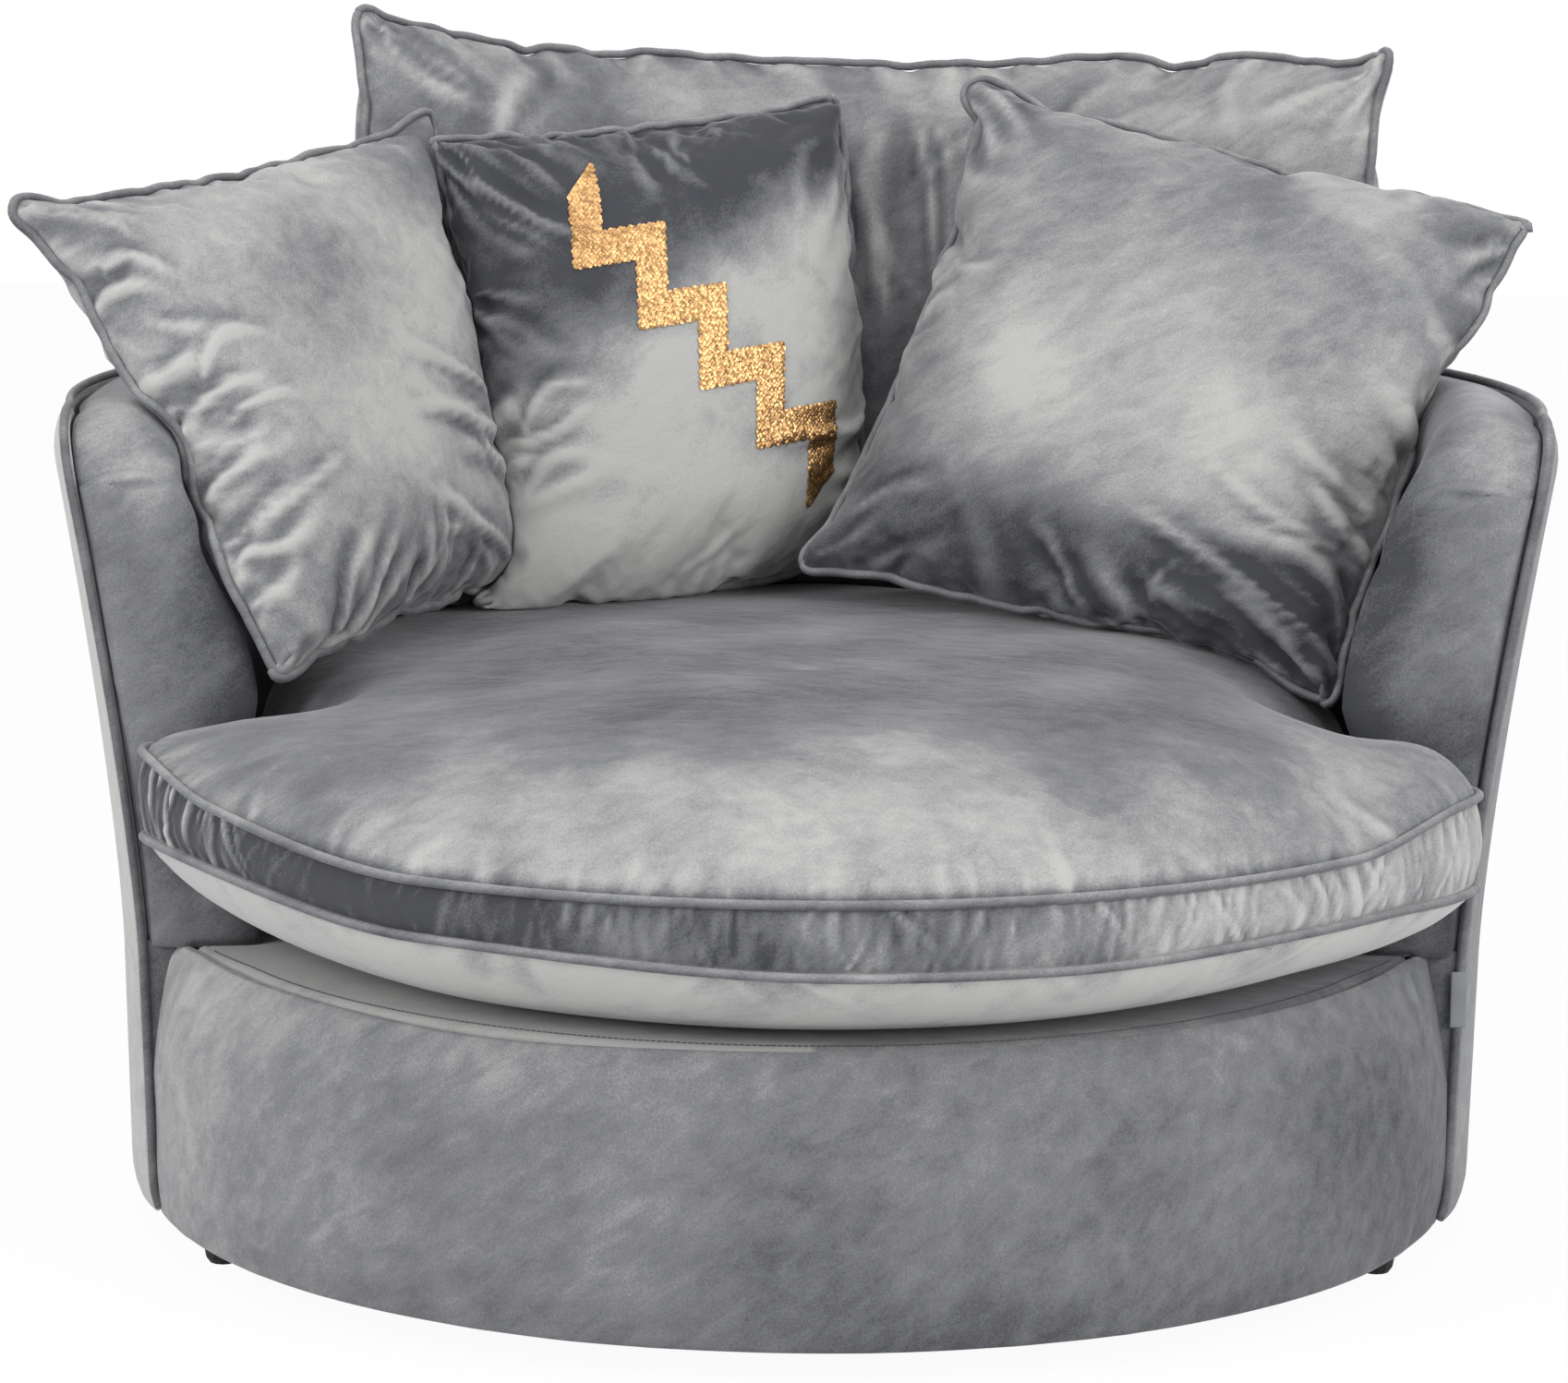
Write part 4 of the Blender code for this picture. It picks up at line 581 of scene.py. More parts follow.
def pleats(along, away, total, seed, spacing, reach, depth, width, slant=0.5, where=None):
    """Height of pinched pleats that start at a seam, from the distances along and away from it."""
    rng = np.random.default_rng(seed)
    field = np.zeros(along.shape)
    place = 0.0
    while place < total:
        place += spacing * rng.uniform(0.45, 1.7)
        wide = width * rng.uniform(0.6, 1.5)
        far = reach * rng.uniform(0.35, 1.35)
        high = depth * rng.uniform(0.25, 1.0)
        lean = rng.normal(0.0, slant)
        curve = rng.normal(0.0, 3.0)
        if where is not None:
            high *= where(place)
        if high < 1e-5:
            continue
        offset = (along - place - lean * away - curve * away**2 + total / 2.0) % total - total / 2.0
        near = (np.abs(offset) < 4.0 * wide) & (away < 2.2 * far)
        x = offset[near] / wide
        fall = np.exp(-((away[near] / far) ** 1.6)) * (0.35 + 0.65 * smooth(away[near] / 0.006))
        ridge = np.exp(-(x**2)) - 0.6 * np.exp(-((x - 1.5) ** 2)) - 0.4 * np.exp(-((x + 1.6) ** 2))
        field[near] += high * fall * ridge
    return field


def waves(points, seed, size, count=14):
    """A smooth random field of about unit height, with swells of the given size."""
    rng = np.random.default_rng(seed)
    field = np.zeros(points.shape[:-1])
    for _ in range(count):
        direction = rng.normal(size=3)
        direction *= 2.0 * math.pi / (size * rng.uniform(0.7, 1.9)) / np.linalg.norm(direction)
        field += np.sin(points @ direction + rng.uniform(0.0, 2.0 * math.pi))
    return field / math.sqrt(count / 2.0)


# The tub's surfaces


def rim_height(y):
    back = np.clip(y - ARM_FRONT_Y, 0.0, ARM_CORNER_R)
    return RIM_Z - ARM_CORNER_R + np.sqrt(ARM_CORNER_R**2 - (ARM_CORNER_R - back) ** 2)


def flare_radius(z):
    rise = np.maximum(z - FLARE_START_Z, 0.0) / (RIM_Z - FLARE_START_Z)
    return BASE_R + BASE_SWELL * np.minimum(z / FLARE_START_Z, 1.0) + FLARE_R * rise**FLARE_POWER


def outer_radius(z, y, top):
    behind = np.clip((y - ARM_FRONT_Y) / ARM_CORNER_R, 0.0, 1.0)
    curl = RIM_CURL * behind * np.maximum(1.0 - (top - z) / RIM_CURL_DEPTH, 0.0) ** 2
    skirt = SKIRT_TUCK * np.maximum(1.0 - (z - SKIRT_Z) / SKIRT_TUCK_DEPTH, 0.0) ** 2
    near_edge = np.maximum(1.0 - (y - ARM_FRONT_Y) / ARM_EDGE_TUCK_DEPTH, 0.0) ** 2
    tuck = ARM_EDGE_TUCK * np.maximum(1.0 - z / RIM_Z, 0.0) * near_edge
    return flare_radius(z) - curl - skirt - tuck


def panel_inner_radius(z, y, top):
    slope = (outer_radius(z + 0.001, y, top) - outer_radius(z - 0.001, y, top)) / 0.002
    return outer_radius(z, y, top) - PANEL_THICKNESS * np.hypot(1.0, slope) - PANEL_GAP


def around(radius, share, front_y):
    angle = share * np.arccos(front_y / radius)
    return radius * np.sin(angle), radius * np.cos(angle)


def wall_shares():
    """Shares from -1 to 1 round the wall, close together at the arms' rounded fronts."""
    half_length = BASE_R * math.acos(ARM_FRONT_Y / BASE_R)
    corner = ARM_CORNER_R * (1.0 - np.cos(np.radians(np.linspace(0.0, 90.0, 14))))
    corner = np.concatenate([corner, ARM_CORNER_R + np.linspace(0.005, 0.055, 9)])
    near = 1.0 - corner / half_length
    middle = np.linspace(near[-1], -near[-1], 140)[1:-1]
    return np.concatenate([-near, middle[::-1], near[::-1]])


def panel_tree(name):
    """Geometry Nodes: a grid rolled round the swivel axis, flared to the rim and tucked at skirt and arm."""
    sizes = {
        "Base Radius": BASE_R,
        "Flare": FLARE_R,
        "Flare Power": FLARE_POWER,
        "Flare Start": FLARE_START_Z,
        "Rim Height": RIM_Z,
        "Skirt Height": SKIRT_Z,
        "Arm Front": ARM_FRONT_Y,
        "Corner Radius": ARM_CORNER_R,
        "Columns": 261,
        "Rows": 60,
    }
    tree, given = new_tree(name, sizes, on_geometry=False)
    size = {"Size X": 2.0, "Size Y": 1.0, "Vertices X": given["Columns"], "Vertices Y": given["Rows"]}
    grid = add_node(tree, "GeometryNodeMeshGrid", size)
    flat = add_node(tree, "ShaderNodeSeparateXYZ", {0: add_node(tree, "GeometryNodeInputPosition")}, None)
    value = {label: given[label] for label in sizes}
    value.update(across=flat["X"], up=flat["Y"])
    # Each row names a value and says what makes it: an operation, or a clamped range, and its inputs
    steps = (
        # Shares crowd towards the arms' fronts, where the rim's corner turns
        ("turned", "MULTIPLY", "across", math.pi / 2.0),
        ("turned", "SINE", "turned"),
        ("turned", "MULTIPLY", "turned", 0.55),
        ("even", "MULTIPLY", "across", 0.45),
        ("share", "ADD", "turned", "even"),
        ("rise", "ADD", "up", 0.5),
        # The rim's height, with its rounded corners at the arms' fronts
        ("depth", "DIVIDE", "Arm Front", "Base Radius"),
        ("depth", "ARCCOSINE", "depth"),
        ("depth", "MULTIPLY", "share", "depth"),
        ("depth", "COSINE", "depth"),
        ("depth", "MULTIPLY", "Base Radius", "depth"),
        ("from front", "SUBTRACT", "depth", "Arm Front"),
        ("back", "MAXIMUM", "from front", 0.0),
        ("back", "MINIMUM", "back", "Corner Radius"),
        ("ahead", "SUBTRACT", "Corner Radius", "back"),
        ("ahead", "POWER", "ahead", 2.0),
        ("corner", "POWER", "Corner Radius", 2.0),
        ("corner", "SUBTRACT", "corner", "ahead"),
        ("corner", "SQRT", "corner"),
        ("top", "SUBTRACT", "Rim Height", "Corner Radius"),
        ("top", "ADD", "top", "corner"),
        ("z", "SUBTRACT", "top", "Skirt Height"),
        ("z", "MULTIPLY", "rise", "z"),
        ("z", "ADD", "Skirt Height", "z"),
        # The radius: flare and swell outwards, curl at the rim, tucks at the arms' edges and the skirt
        ("flare", "RANGE", "z", "Flare Start", "Rim Height", 0.0, 1.0),
        ("flare", "POWER", "flare", "Flare Power"),
        ("flare", "MULTIPLY", "flare", "Flare"),
        ("radius", "ADD", "Base Radius", "flare"),
        ("swell", "RANGE", "z", 0.0, "Flare Start", 0.0, BASE_SWELL),
        ("radius", "ADD", "radius", "swell"),
        ("below", "SUBTRACT", "top", "z"),
        ("below", "RANGE", "below", 0.0, RIM_CURL_DEPTH, 1.0, 0.0),
        ("below", "POWER", "below", 2.0),
        ("curl", "RANGE", "from front", 0.0, ARM_CORNER_R, 0.0, RIM_CURL),
        ("curl", "MULTIPLY", "below", "curl"),
        ("edge", "RANGE", "from front", 0.0, ARM_EDGE_TUCK_DEPTH, 1.0, 0.0),
        ("edge", "POWER", "edge", 2.0),
        ("low", "RANGE", "z", 0.0, RIM_Z, ARM_EDGE_TUCK, 0.0),
        ("edge", "MULTIPLY", "edge", "low"),
        ("edge", "ADD", "curl", "edge"),
        ("radius", "SUBTRACT", "radius", "edge"),
        ("skirt", "RANGE", "z", SKIRT_Z, SKIRT_Z + SKIRT_TUCK_DEPTH, 1.0, 0.0),
        ("skirt", "POWER", "skirt", 2.0),
        ("skirt", "MULTIPLY", "skirt", SKIRT_TUCK),
        ("radius", "SUBTRACT", "radius", "skirt"),
        # The place round the axis
        ("turn", "DIVIDE", "Arm Front", "radius"),
        ("turn", "ARCCOSINE", "turn"),
        ("turn", "MULTIPLY", "share", "turn"),
        ("x", "SINE", "turn"),
        ("x", "MULTIPLY", "radius", "x"),
        ("x", "ADD", "x", float(AXIS[0])),
        ("y", "COSINE", "turn"),
        ("y", "MULTIPLY", "radius", "y"),
        ("y", "ADD", "y", float(AXIS[1])),
    )
    for label, operation, *parts in steps:
        parts = [value[part] if isinstance(part, str) else part for part in parts]
        if operation == "RANGE":
            inputs = dict(zip(("Value", "From Min", "From Max", "To Min", "To Max"), parts))
            value[label] = add_node(tree, "ShaderNodeMapRange", inputs, clamp=True)
        else:
            value[label] = add_node(tree, "ShaderNodeMath", dict(enumerate(parts)), operation=operation)
    place = add_node(tree, "ShaderNodeCombineXYZ", {0: value["x"], 1: value["y"], 2: value["z"]})
    rolled = add_node(tree, "GeometryNodeSetPosition", {"Geometry": grid, "Position": place})
    smoothed = add_node(tree, "GeometryNodeSetShadeSmooth", {"Geometry": rolled})
    return end_tree(tree, smoothed, given["Material"])


def panel_tone_and_painted_light(points):
    x, y, z = (points - AXIS).T
    # Painted light: lighter towards the left and the front, for the glancing light on the strips seen beside
    # the arms; painted shade darkens it near the floor; the waves vary it at random
    left, front = 1.0 - smooth((x + 0.40) / 0.80), 1.0 - 0.8 * smooth((y + 0.14) / 0.30)
    tone = 0.46 + 0.52 * left * front - 0.08 * smooth((0.10 - z) / 0.08)
    return tone + 0.05 * waves(points, 31, 0.30)


class ARMCHAIR_OT_outer_panel(bpy.types.Operator):
    """Smooth outer skin round the arms and the back, turned in at its edges"""

    bl_idname = "armchair.outer_panel"
    bl_label = "Outer Panel"

    def execute(self, context):
        carrier = new_object("outer_panel_skin", bpy.data.meshes.new("outer_panel_skin"))
        use_tree(carrier, "rolled_panel", panel_tree, Material=velvet())
        thickness = carrier.modifiers.new("thickness", "SOLIDIFY")
        thickness.thickness = PANEL_THICKNESS
        thickness.offset = 1.0
        thickness.use_even_offset = True
        piece = bake(carrier)
        points = mesh_points(piece.data) - AXIS
        low = np.hypot(points[:, 0], points[:, 1])[points[:, 2] < 0.2]
        if low.max() > BASE_R + 0.5 * PANEL_THICKNESS + 0.002:
            raise RuntimeError("the panel's thickness went outwards")
        edges = piece.modifiers.new("turned edges", "BEVEL")
        edges.width = 0.0028
        edges.segments = 3
        edges.limit_method = "ANGLE"
        edges.angle_limit = math.radians(55.0)
        piece = bake(piece)
        piece.data.shade_smooth()
        set_tone(piece.data, panel_tone_and_painted_light(mesh_points(piece.data)))
        finish_piece(piece, "tub", "velvet", velvet(), "outer_panel")
        return {"FINISHED"}


# Apron, padded wall and deck


def apron_radius(z):
    rise = (z - SKIRT_Z) / (APRON_TOP_Z - SKIRT_Z)
    lower = APRON_SWELL_R - (APRON_SWELL_R - APRON_BOTTOM_R) * np.maximum(1.0 - rise / 0.25, 0.0) ** 2
    return lower - (APRON_SWELL_R - APRON_TOP_R) * np.maximum((rise - 0.45) / 0.55, 0.0) ** 2.6


def edge_rings(edge, steps):
    """Copies of a ring of points, each drawn in towards the axis and lifted as a step says."""
    scale = 1.0 / np.linalg.norm(edge[:, :2], axis=1)[:, None]
    rings = []
    for inset, lift in steps:
        ring = edge.copy()
        ring[:, :2] *= 1.0 - inset * scale
        ring[:, 2] += lift
        rings.append(ring)
    return np.stack(rings)


class ARMCHAIR_OT_front_apron(bpy.types.Operator):
    """Convex front panel between the arms, gathered a little below its upper corners"""

    bl_idname = "armchair.front_apron"
    bl_label = "Front Apron"

    def execute(self, context):
        close = APRON_TOP_Z - 0.030
        heights = np.concatenate([np.linspace(SKIRT_Z, close, 44)[:-1], np.linspace(close, APRON_TOP_Z, 12)])
        share = np.linspace(-1.0, 1.0, APRON_COLUMNS)
        share = np.sign(share) * (1.0 - (1.0 - np.abs(share)) ** 1.15)[None, :]
        # The top seam dips a little left of the middle
        dip = APRON_SEAM_DIP * np.exp(-(((share * 75.0 + 27.0) / 13.0) ** 2))
        z = heights[:, None] - dip * smooth((heights[:, None] - 0.18) / 0.07)
        away = np.maximum(z[-1] - z, 0.0)
        along = share * 0.72 + 0.0 * z
        corner = smooth((np.abs(share) - 0.62) / 0.3)
        gathers = pleats(along + 0.8, away, 1.6, 5, 0.030, 0.055, 0.0030, 0.010, 0.12) * corner
        gathers += pleats(along + 0.8, away, 1.6, 6, 0.060, 0.030, 0.0012, 0.012, 0.3)
        gathers += pleats(along + 0.8, z - SKIRT_Z, 1.6, 7, 0.075, 0.030, 0.0014, 0.014, 0.3)
        flat = np.stack([along, 0.0 * along, z], axis=-1)
        swell = 0.0010 * waves(flat, 8, 0.16)
        radius = apron_radius(z) - APRON_END_TUCK * share**4
        # At its ends the apron runs down straight from its upper corners
        narrow = APRON_END_R - APRON_TOP_R + APRON_END_TUCK - APRON_END_FLARE
        straight = APRON_END_R - narrow * np.clip(1.0 - away / APRON_END_SLOPE, 0.0, 1.0)
        at_end = smooth((np.abs(share) - 0.88) / 0.12)
        radius = radius + (straight - radius) * at_end * smooth((z - 0.06) / 0.08)
        sewn = smooth(away / 0.012) * smooth((1.0 - np.abs(share)) / 0.02)
        radius = radius + (np.minimum(gathers, 0.0022) + swell) * sewn
        back_y = ARM_FRONT_Y + APRON_END_RETURN
        lining = panel_inner_radius(z, back_y, RIM_Z) - 0.0002
        radius = radius + (lining - radius) * smooth((np.abs(share) - 0.960) / 0.040)
        x, y = around(radius, share, -back_y)
        outer = np.stack([x, -y, z], axis=-1)
        # The upper edge rolls in towards the deck, the lower edge turns under
        roll = ((0.0012, 0.0010), (0.0035, 0.0016), (0.0062, 0.0010), (0.0080, -0.0008))
        rolls = edge_rings(outer[-1], roll + ((PANEL_THICKNESS, -0.0060),))
        turned = ((PANEL_THICKNESS, 0.0030), (0.0085, 0.0006), (0.0050, 0.0), (0.0018, 0.0))
        unders = edge_rings(outer[0], turned)
        outer[0, :, 2] += 0.0008
        inner = outer[::-6].copy()[1:-1]
        inner[:, :, :2] *= 1.0 - PANEL_THICKNESS / np.linalg.norm(inner[:, :, :2], axis=2)[:, :, None]
        rings = np.concatenate([unders, outer, rolls, inner])
        rows = len(rings)
        points = rings.transpose(1, 0, 2)
        faces = grid_faces(APRON_COLUMNS, rows, True)
        # Painted light and shade: lighter at the top and darker near the floor, the gathers lighter on their
        # ridges and darker in their hollows; the apron is also lighter to the left, and the waves vary it at
        # random
        tone = 0.42 - 0.20 * share + 0.10 * smooth((z - 0.19) / 0.06) - 0.05 * smooth((0.10 - z) / 0.08)
        tone = tone + 55.0 * gathers * sewn + 0.05 * waves(flat, 9, 0.22)
        full = np.full((rows, APRON_COLUMNS), 0.35)
        first, last = len(unders), len(unders) + len(outer)
        full[first:last] = tone
        full[last : last + len(rolls)] = 0.55
        piece = new_piece("front_apron_panel", points, faces, end_caps(APRON_COLUMNS, rows), full.T)
        orient_caps(piece)
        finish_piece(piece, "tub", "velvet", velvet(), "front_apron")
        return {"FINISHED"}


def wall_section(top, depth, inset, wrap, hollow, near, swell_size, swell_top):
    """Radius and height of points round the padded wall: up its inner face, over and down its outer face."""
    shoulder = top - WALL_ROUND
    heights = np.linspace(WALL_BOTTOM, shoulder, 26)[:-1]
    # Above the seat the pad swells inwards; at the top it narrows again
    swell = [swell_size * float(smooth((z - 0.40) / 0.08) * smooth((swell_top - z) / 0.15)) for z in heights]
    ease = [(ARM_INNER_EASE + ARM_TOP_EASE * float(smooth((z - 0.50) / 0.18))) * near + wrap for z in heights]
    ease = [moved - more * near**0.5 for moved, more in zip(ease, swell)]
    points = [(outer_radius(z, depth, top) - WALL_THICKNESS + moved, z) for z, moved in zip(heights, ease)]
    crown = top + WALL_CROWN - inset
    inner_r = outer_radius(shoulder, depth, top) - WALL_THICKNESS + ease[-1]
    outer_r = panel_inner_radius(top, depth, top) - ARM_OUTER_SHARE * inset
    middle_r = (inner_r + outer_r) / 2.0
    for turn in np.radians(np.linspace(0.0, 90.0, 14)):
        radius = middle_r - (middle_r - inner_r) * math.cos(turn)
        points.append((radius, shoulder + (crown - shoulder) * math.sin(turn)))
    for share in np.linspace(0.0, 1.0, 14)[1:]:
        points.append((middle_r + (outer_r - middle_r) * share, crown - (crown - top + 0.004) * share**2.6))
    ceiling = RIM_Z - PAD_THICKNESS
    for z in heights[::-1]:
        face = panel_inner_radius(z, depth, top) - ARM_OUTER_SHARE * inset
        space = flare_radius(z) - WALL_THICKNESS + PAD_THICKNESS
        points.append((space if hollow and z < ceiling else face, z))
    return points


def wall_ring(share, front_y, inset, wrap, hollow):
    depth = around(BASE_R, share, ARM_FRONT_Y)[1]
    # The inner side turns outwards before it reaches the arm's front, so that the two meet in a wide curve
    near = max(1.0 - (depth - ARM_FRONT_Y) / ARM_INNER_EASE_LENGTH, 0.0) ** 2.2
    ring = []
    swell = RIGHT_ARM_SWELL if share > 0.0 else LEFT_ARM_SWELL
    for radius, z in wall_section(float(rim_height(depth)), depth, inset, wrap, hollow, near, *swell):
        x, y = around(radius, share, front_y)
        ring.append((x, y, z))
    return ring


class ARMCHAIR_OT_padded_wall(bpy.types.Operator):
    """Padded inner wall that wraps over the arms and the rim, with pillowed arm fronts"""

    bl_idname = "armchair.padded_wall"
    bl_label = "Padded Wall"

    def execute(self, context):
        rings = []
        for share in wall_shares():
            depth = around(BASE_R, share, ARM_FRONT_Y)[1]
            rings.append(wall_ring(share, ARM_FRONT_Y, 0.0, 0.0, depth > ARM_FRONT_Y + PAD_THICKNESS))
        fronts = []
        for turn in np.radians((9.0, 18.0, 27.0, 36.0, 46.0, 57.0, 68.0, 79.0, 90.0)):
            wrap = ARM_WRAP * (1.0 - math.cos(turn)) + 0.003 * math.sin(turn)
            inset = ARM_PILLOW * (1.0 - math.cos(turn))
            fronts.append((ARM_FRONT_Y - ARM_PILLOW * math.sin(turn), inset, wrap))
        left, right = ([wall_ring(side, *front, False) for front in fronts] for side in (-1.0, 1.0))
        points = np.array(left[::-1] + rings + right)
        ahead = points[:, :, 1] < ARM_FRONT_Y + 0.001
        points[:, :, 2] = np.where(ahead, np.maximum(points[:, :, 2], APRON_TOP_Z + 0.0008), points[:, :, 2])
        normals = grid_normals(points, True)
        middle = np.array((0.0, 0.0, 0.45))
        if np.mean(np.einsum("ijk,ijk->ij", normals[40:-40, 5:20], middle - points[40:-40, 5:20])) < 0.0:
            normals = -normals
        shown = np.zeros(points.shape[:2])
        shown[:, :50] = 1.0
        shown[: len(fronts)] = 1.0
        shown[-len(fronts) :] = 1.0
        shown *= smooth((points[:, :, 2] - 0.245) / 0.03)
        x, y, z = points[:, :, 0], points[:, :, 1], points[:, :, 2]
        front = smooth((ARM_FRONT_Y + 0.004 - y) / 0.006)
        bulge = 0.0012 * waves(points, 12, 0.13) * (1.0 - 0.5 * front)
        radial = np.hypot(x, y)
        from_seam = np.clip((flare_radius(z) - PANEL_THICKNESS) - radial, 0.0, 0.2)
        middle_way = np.exp(-(((from_seam - 0.052) / 0.024) ** 2))
        crease = np.exp(-(((z - 0.6515 - 0.10 * (from_seam - 0.05)) / 0.0040) ** 2)) * front * middle_way
        pinches = pleats(z + 1.0, from_seam, 3.0, 14, 0.026, 0.016, 0.0016, 0.005, 0.8) * front
        top_along = np.arctan2(x, y) * 0.63 + 2.0
        over = smooth((z - 0.66) / 0.02) * (1.0 - front)
        tops = pleats(top_along, from_seam, 4.0, 15, 0.045, 0.022, 0.0012, 0.009, 0.4) * over
        moved = (bulge + pinches + tops - 0.0032 * crease) * shown
        points = points + normals * moved[:, :, None]
        # Painted light and shade: lighter on the arms' tops and fronts and higher up the wall, the pleats
        # lighter on their ridges and darker in their hollows, the crease darker, and painted shade on the
        # wall's inner side away from the outer skin; darker to the right; the waves vary it at random
        tone = 0.20 + 0.20 * smooth((z - 0.630) / 0.040) + 0.08 * front
        tone = tone + 45.0 * (pinches + tops) - 0.25 * crease
        tone = tone - 0.07 * smooth(x / 0.3) - 0.22 * smooth((from_seam - 0.050) / 0.055)
        tone = tone + 0.08 * waves(points, 16, 0.12) + 0.14 * smooth((z - 0.38) / 0.26)
        rows, columns = points.shape[:2]
        faces = [grid_faces(rows, columns, True)]
        stack, tones, count = [points.reshape(-1, 3)], [tone.reshape(-1)], rows * columns
        # Each arm's front is closed by a pillowed patch between the two sides of its last ring
        half, steps = columns // 2, 9
        for ring in (0, rows - 1):
            near, far = points[ring, :half], points[ring, ::-1][:half]
            share = np.linspace(0.0, 1.0, steps + 1)[1:-1]
            patch = near[None] + (far - near)[None] * share[:, None, None]
            patch[:, :, 1] -= 0.0020 * np.sin(math.pi * share)[:, None]
            index = np.empty((steps + 1, half), int)
            index[0] = ring * columns + np.arange(half)
            index[-1] = ring * columns + columns - 1 - np.arange(half)
            index[1:-1] = count + np.arange((steps - 1) * half).reshape(steps - 1, half)
            quads = np.stack([index[:-1, :-1], index[:-1, 1:], index[1:, 1:], index[1:, :-1]], axis=-1)
            faces.append(quads.reshape(-1, 4))
            blend = tone[ring, :half] * (1.0 - share[:, None]) + tone[ring, ::-1][:half] * share[:, None]
            stack.append(patch.reshape(-1, 3))
            tones.append(blend.reshape(-1))
            count += (steps - 1) * half
        points, faces, tone = (np.concatenate(part) for part in (stack, faces, tones))
        piece = new_piece("padded_wall", points, faces, (), tone)
        orient_caps(piece)
        finish_piece(piece, "tub", "velvet", velvet(), "inner_padding")
        self.add_foot("left_arm_foot", -1.0)
        self.add_foot("right_arm_foot", 1.0)
        return {"FINISHED"}

    def add_foot(self, name, side):
        """The strip of an arm's front that runs down between the apron's end and the piping."""
        rows = []
        front, rear = ARM_FRONT_Y - 0.0030, ARM_FRONT_Y + 0.0030
        for z in np.linspace(SKIRT_Z + 0.004, APRON_TOP_Z + 0.004, FOOT_ROWS):
            reach = float(panel_inner_radius(z, ARM_FRONT_Y, RIM_Z))
            end = math.sqrt(reach**2 - ARM_FRONT_Y**2) + 0.0040
            start = end - ARM_FOOT_WIDTH
            plan = ((start, front), (end - 0.0010, front), (end, front + 0.0010), (end, rear), (start, rear))
            rows.append([(side * x, y, z) for x, y in plan])
        count = len(plan)
        faces = grid_faces(FOOT_ROWS, count, True)
        piece = new_piece(name, np.array(rows), faces, end_caps(FOOT_ROWS, count), 0.22)
        orient_caps(piece)
        finish_piece(piece, "tub", "velvet", velvet())


def deck_outline():
    """Plan of the deck: the front crescent from left to right, then the round between the arms."""
    inner = float(outer_radius(WALL_BOTTOM, ARM_FRONT_Y, RIM_Z)) - WALL_THICKNESS - 0.0015 + 0.012
    step_y = ARM_FRONT_Y - ARM_PILLOW - 0.004
    share = np.linspace(-1.0, 1.0, DECK_FRONT_POINTS)
    flare = (APRON_END_FLARE - 0.002) * smooth((np.abs(share) - 0.84) / 0.16)
    x, y = around(DECK_FRONT_R - APRON_END_TUCK * share**4 + flare, share, -step_y)
    front = np.stack([x, -y], axis=-1)
    turn_end = math.acos(-0.085 / inner)
    turn = np.linspace(turn_end, -turn_end, 100)
    back = np.stack([inner * np.sin(turn), inner * np.cos(turn)], axis=-1)
    under = np.array([(front[-1, 0], step_y + 0.03), (front[-1, 0] - 0.004, step_y + 0.07)])
    return np.concatenate([front, under, back, under[::-1] * np.array((-1.0, 1.0))])


def shrunk(outline, distance):
    """The outline moved inwards by distance; it runs anticlockwise seen from above."""
    along = np.roll(outline, -1, axis=0) - np.roll(outline, 1, axis=0)
    out = np.stack([along[:, 1], -along[:, 0]], axis=-1)
    out /= np.linalg.norm(out, axis=1, keepdims=True)
    return outline - out * distance


class ARMCHAIR_OT_deck(bpy.types.Operator):
    """Seat deck whose front strip shows below the seat cushion, with a row of top stitches and a join"""

    bl_idname = "armchair.deck"
    bl_label = "Deck"

    def execute(self, context):
        sewing = context.scene.armchair_sewing
        outline = deck_outline()
        front = np.arange(len(outline)) < DECK_FRONT_POINTS
        rings = []
        stitched = sewing.stitch_inset
        profile = [(0.0, DECK_BOTTOM_Z), (0.0, DECK_TOP_Z - 0.007)]
        for turn in np.radians((25.0, 50.0, 75.0)):
            profile.append((0.005 * (1.0 - math.cos(turn)), DECK_TOP_Z - 0.007 + 0.006 * math.sin(turn)))
        for inset in (0.0065, 0.0080, stitched - 0.001, stitched, stitched + 0.001, stitched + 0.003, 0.018):
            profile.append((inset, DECK_TOP_Z - 0.0006 * math.exp(-(((inset - stitched) / 0.0012) ** 2))))
        for inset, z in profile:
            plan = shrunk(outline, inset)
            rings.append(np.column_stack([plan, np.full(len(plan), z)]))
        rings = np.array(rings)
        join = np.exp(-(((rings[:, :, 0] - 0.0075) / 0.0012) ** 2)) * front[None, :]
        rings[2:, :, 2] -= 0.0005 * join[2:]
        rows, columns = rings.shape[:2]
        faces = grid_faces(rows, columns, True)
        # Painted light: the strip is given nearly the lightest tone against the seat cushion's shadow on it;
        # darker at the join, right of the join and further to the right; the waves vary it at random
        tone = 0.98 + 0.05 * waves(rings, 21, 0.12) - 0.30 * join
        x = rings[:, :, 0]
        tone = tone - 0.34 * smooth((x - 0.007) / 0.004) - 0.30 * smooth((x - 0.1) / 0.4)
        caps = [cap[::-1] for cap in end_caps(rows, columns)]
        piece = new_piece("deck_cover", rings, faces, caps, tone)
        orient_caps(piece)
        finish_piece(piece, "tub", "velvet", velvet(), "seat_deck")
        row = shrunk(outline, stitched)[front][4:-4]
        path = np.column_stack([row, np.full(len(row), DECK_TOP_Z + 0.0001)]) + AXIS
        stitches = stitch_row("deck_top_stitches", path, sewing.stitch_pitch)
        finish_piece(stitches, "tub", "velvet", finish("polyester_thread"))
        return {"FINISHED"}


def path_curve(name, path, cyclic):
    curve = bpy.data.curves.new(name, "CURVE")
    curve.dimensions = "3D"
    spline = curve.splines.new("POLY")
    spline.points.add(len(path) - 1)
    spline.points.foreach_set("co", np.column_stack([path, np.ones(len(path))]).reshape(-1))
    spline.use_cyclic_u = cyclic
    return new_object(name, curve)


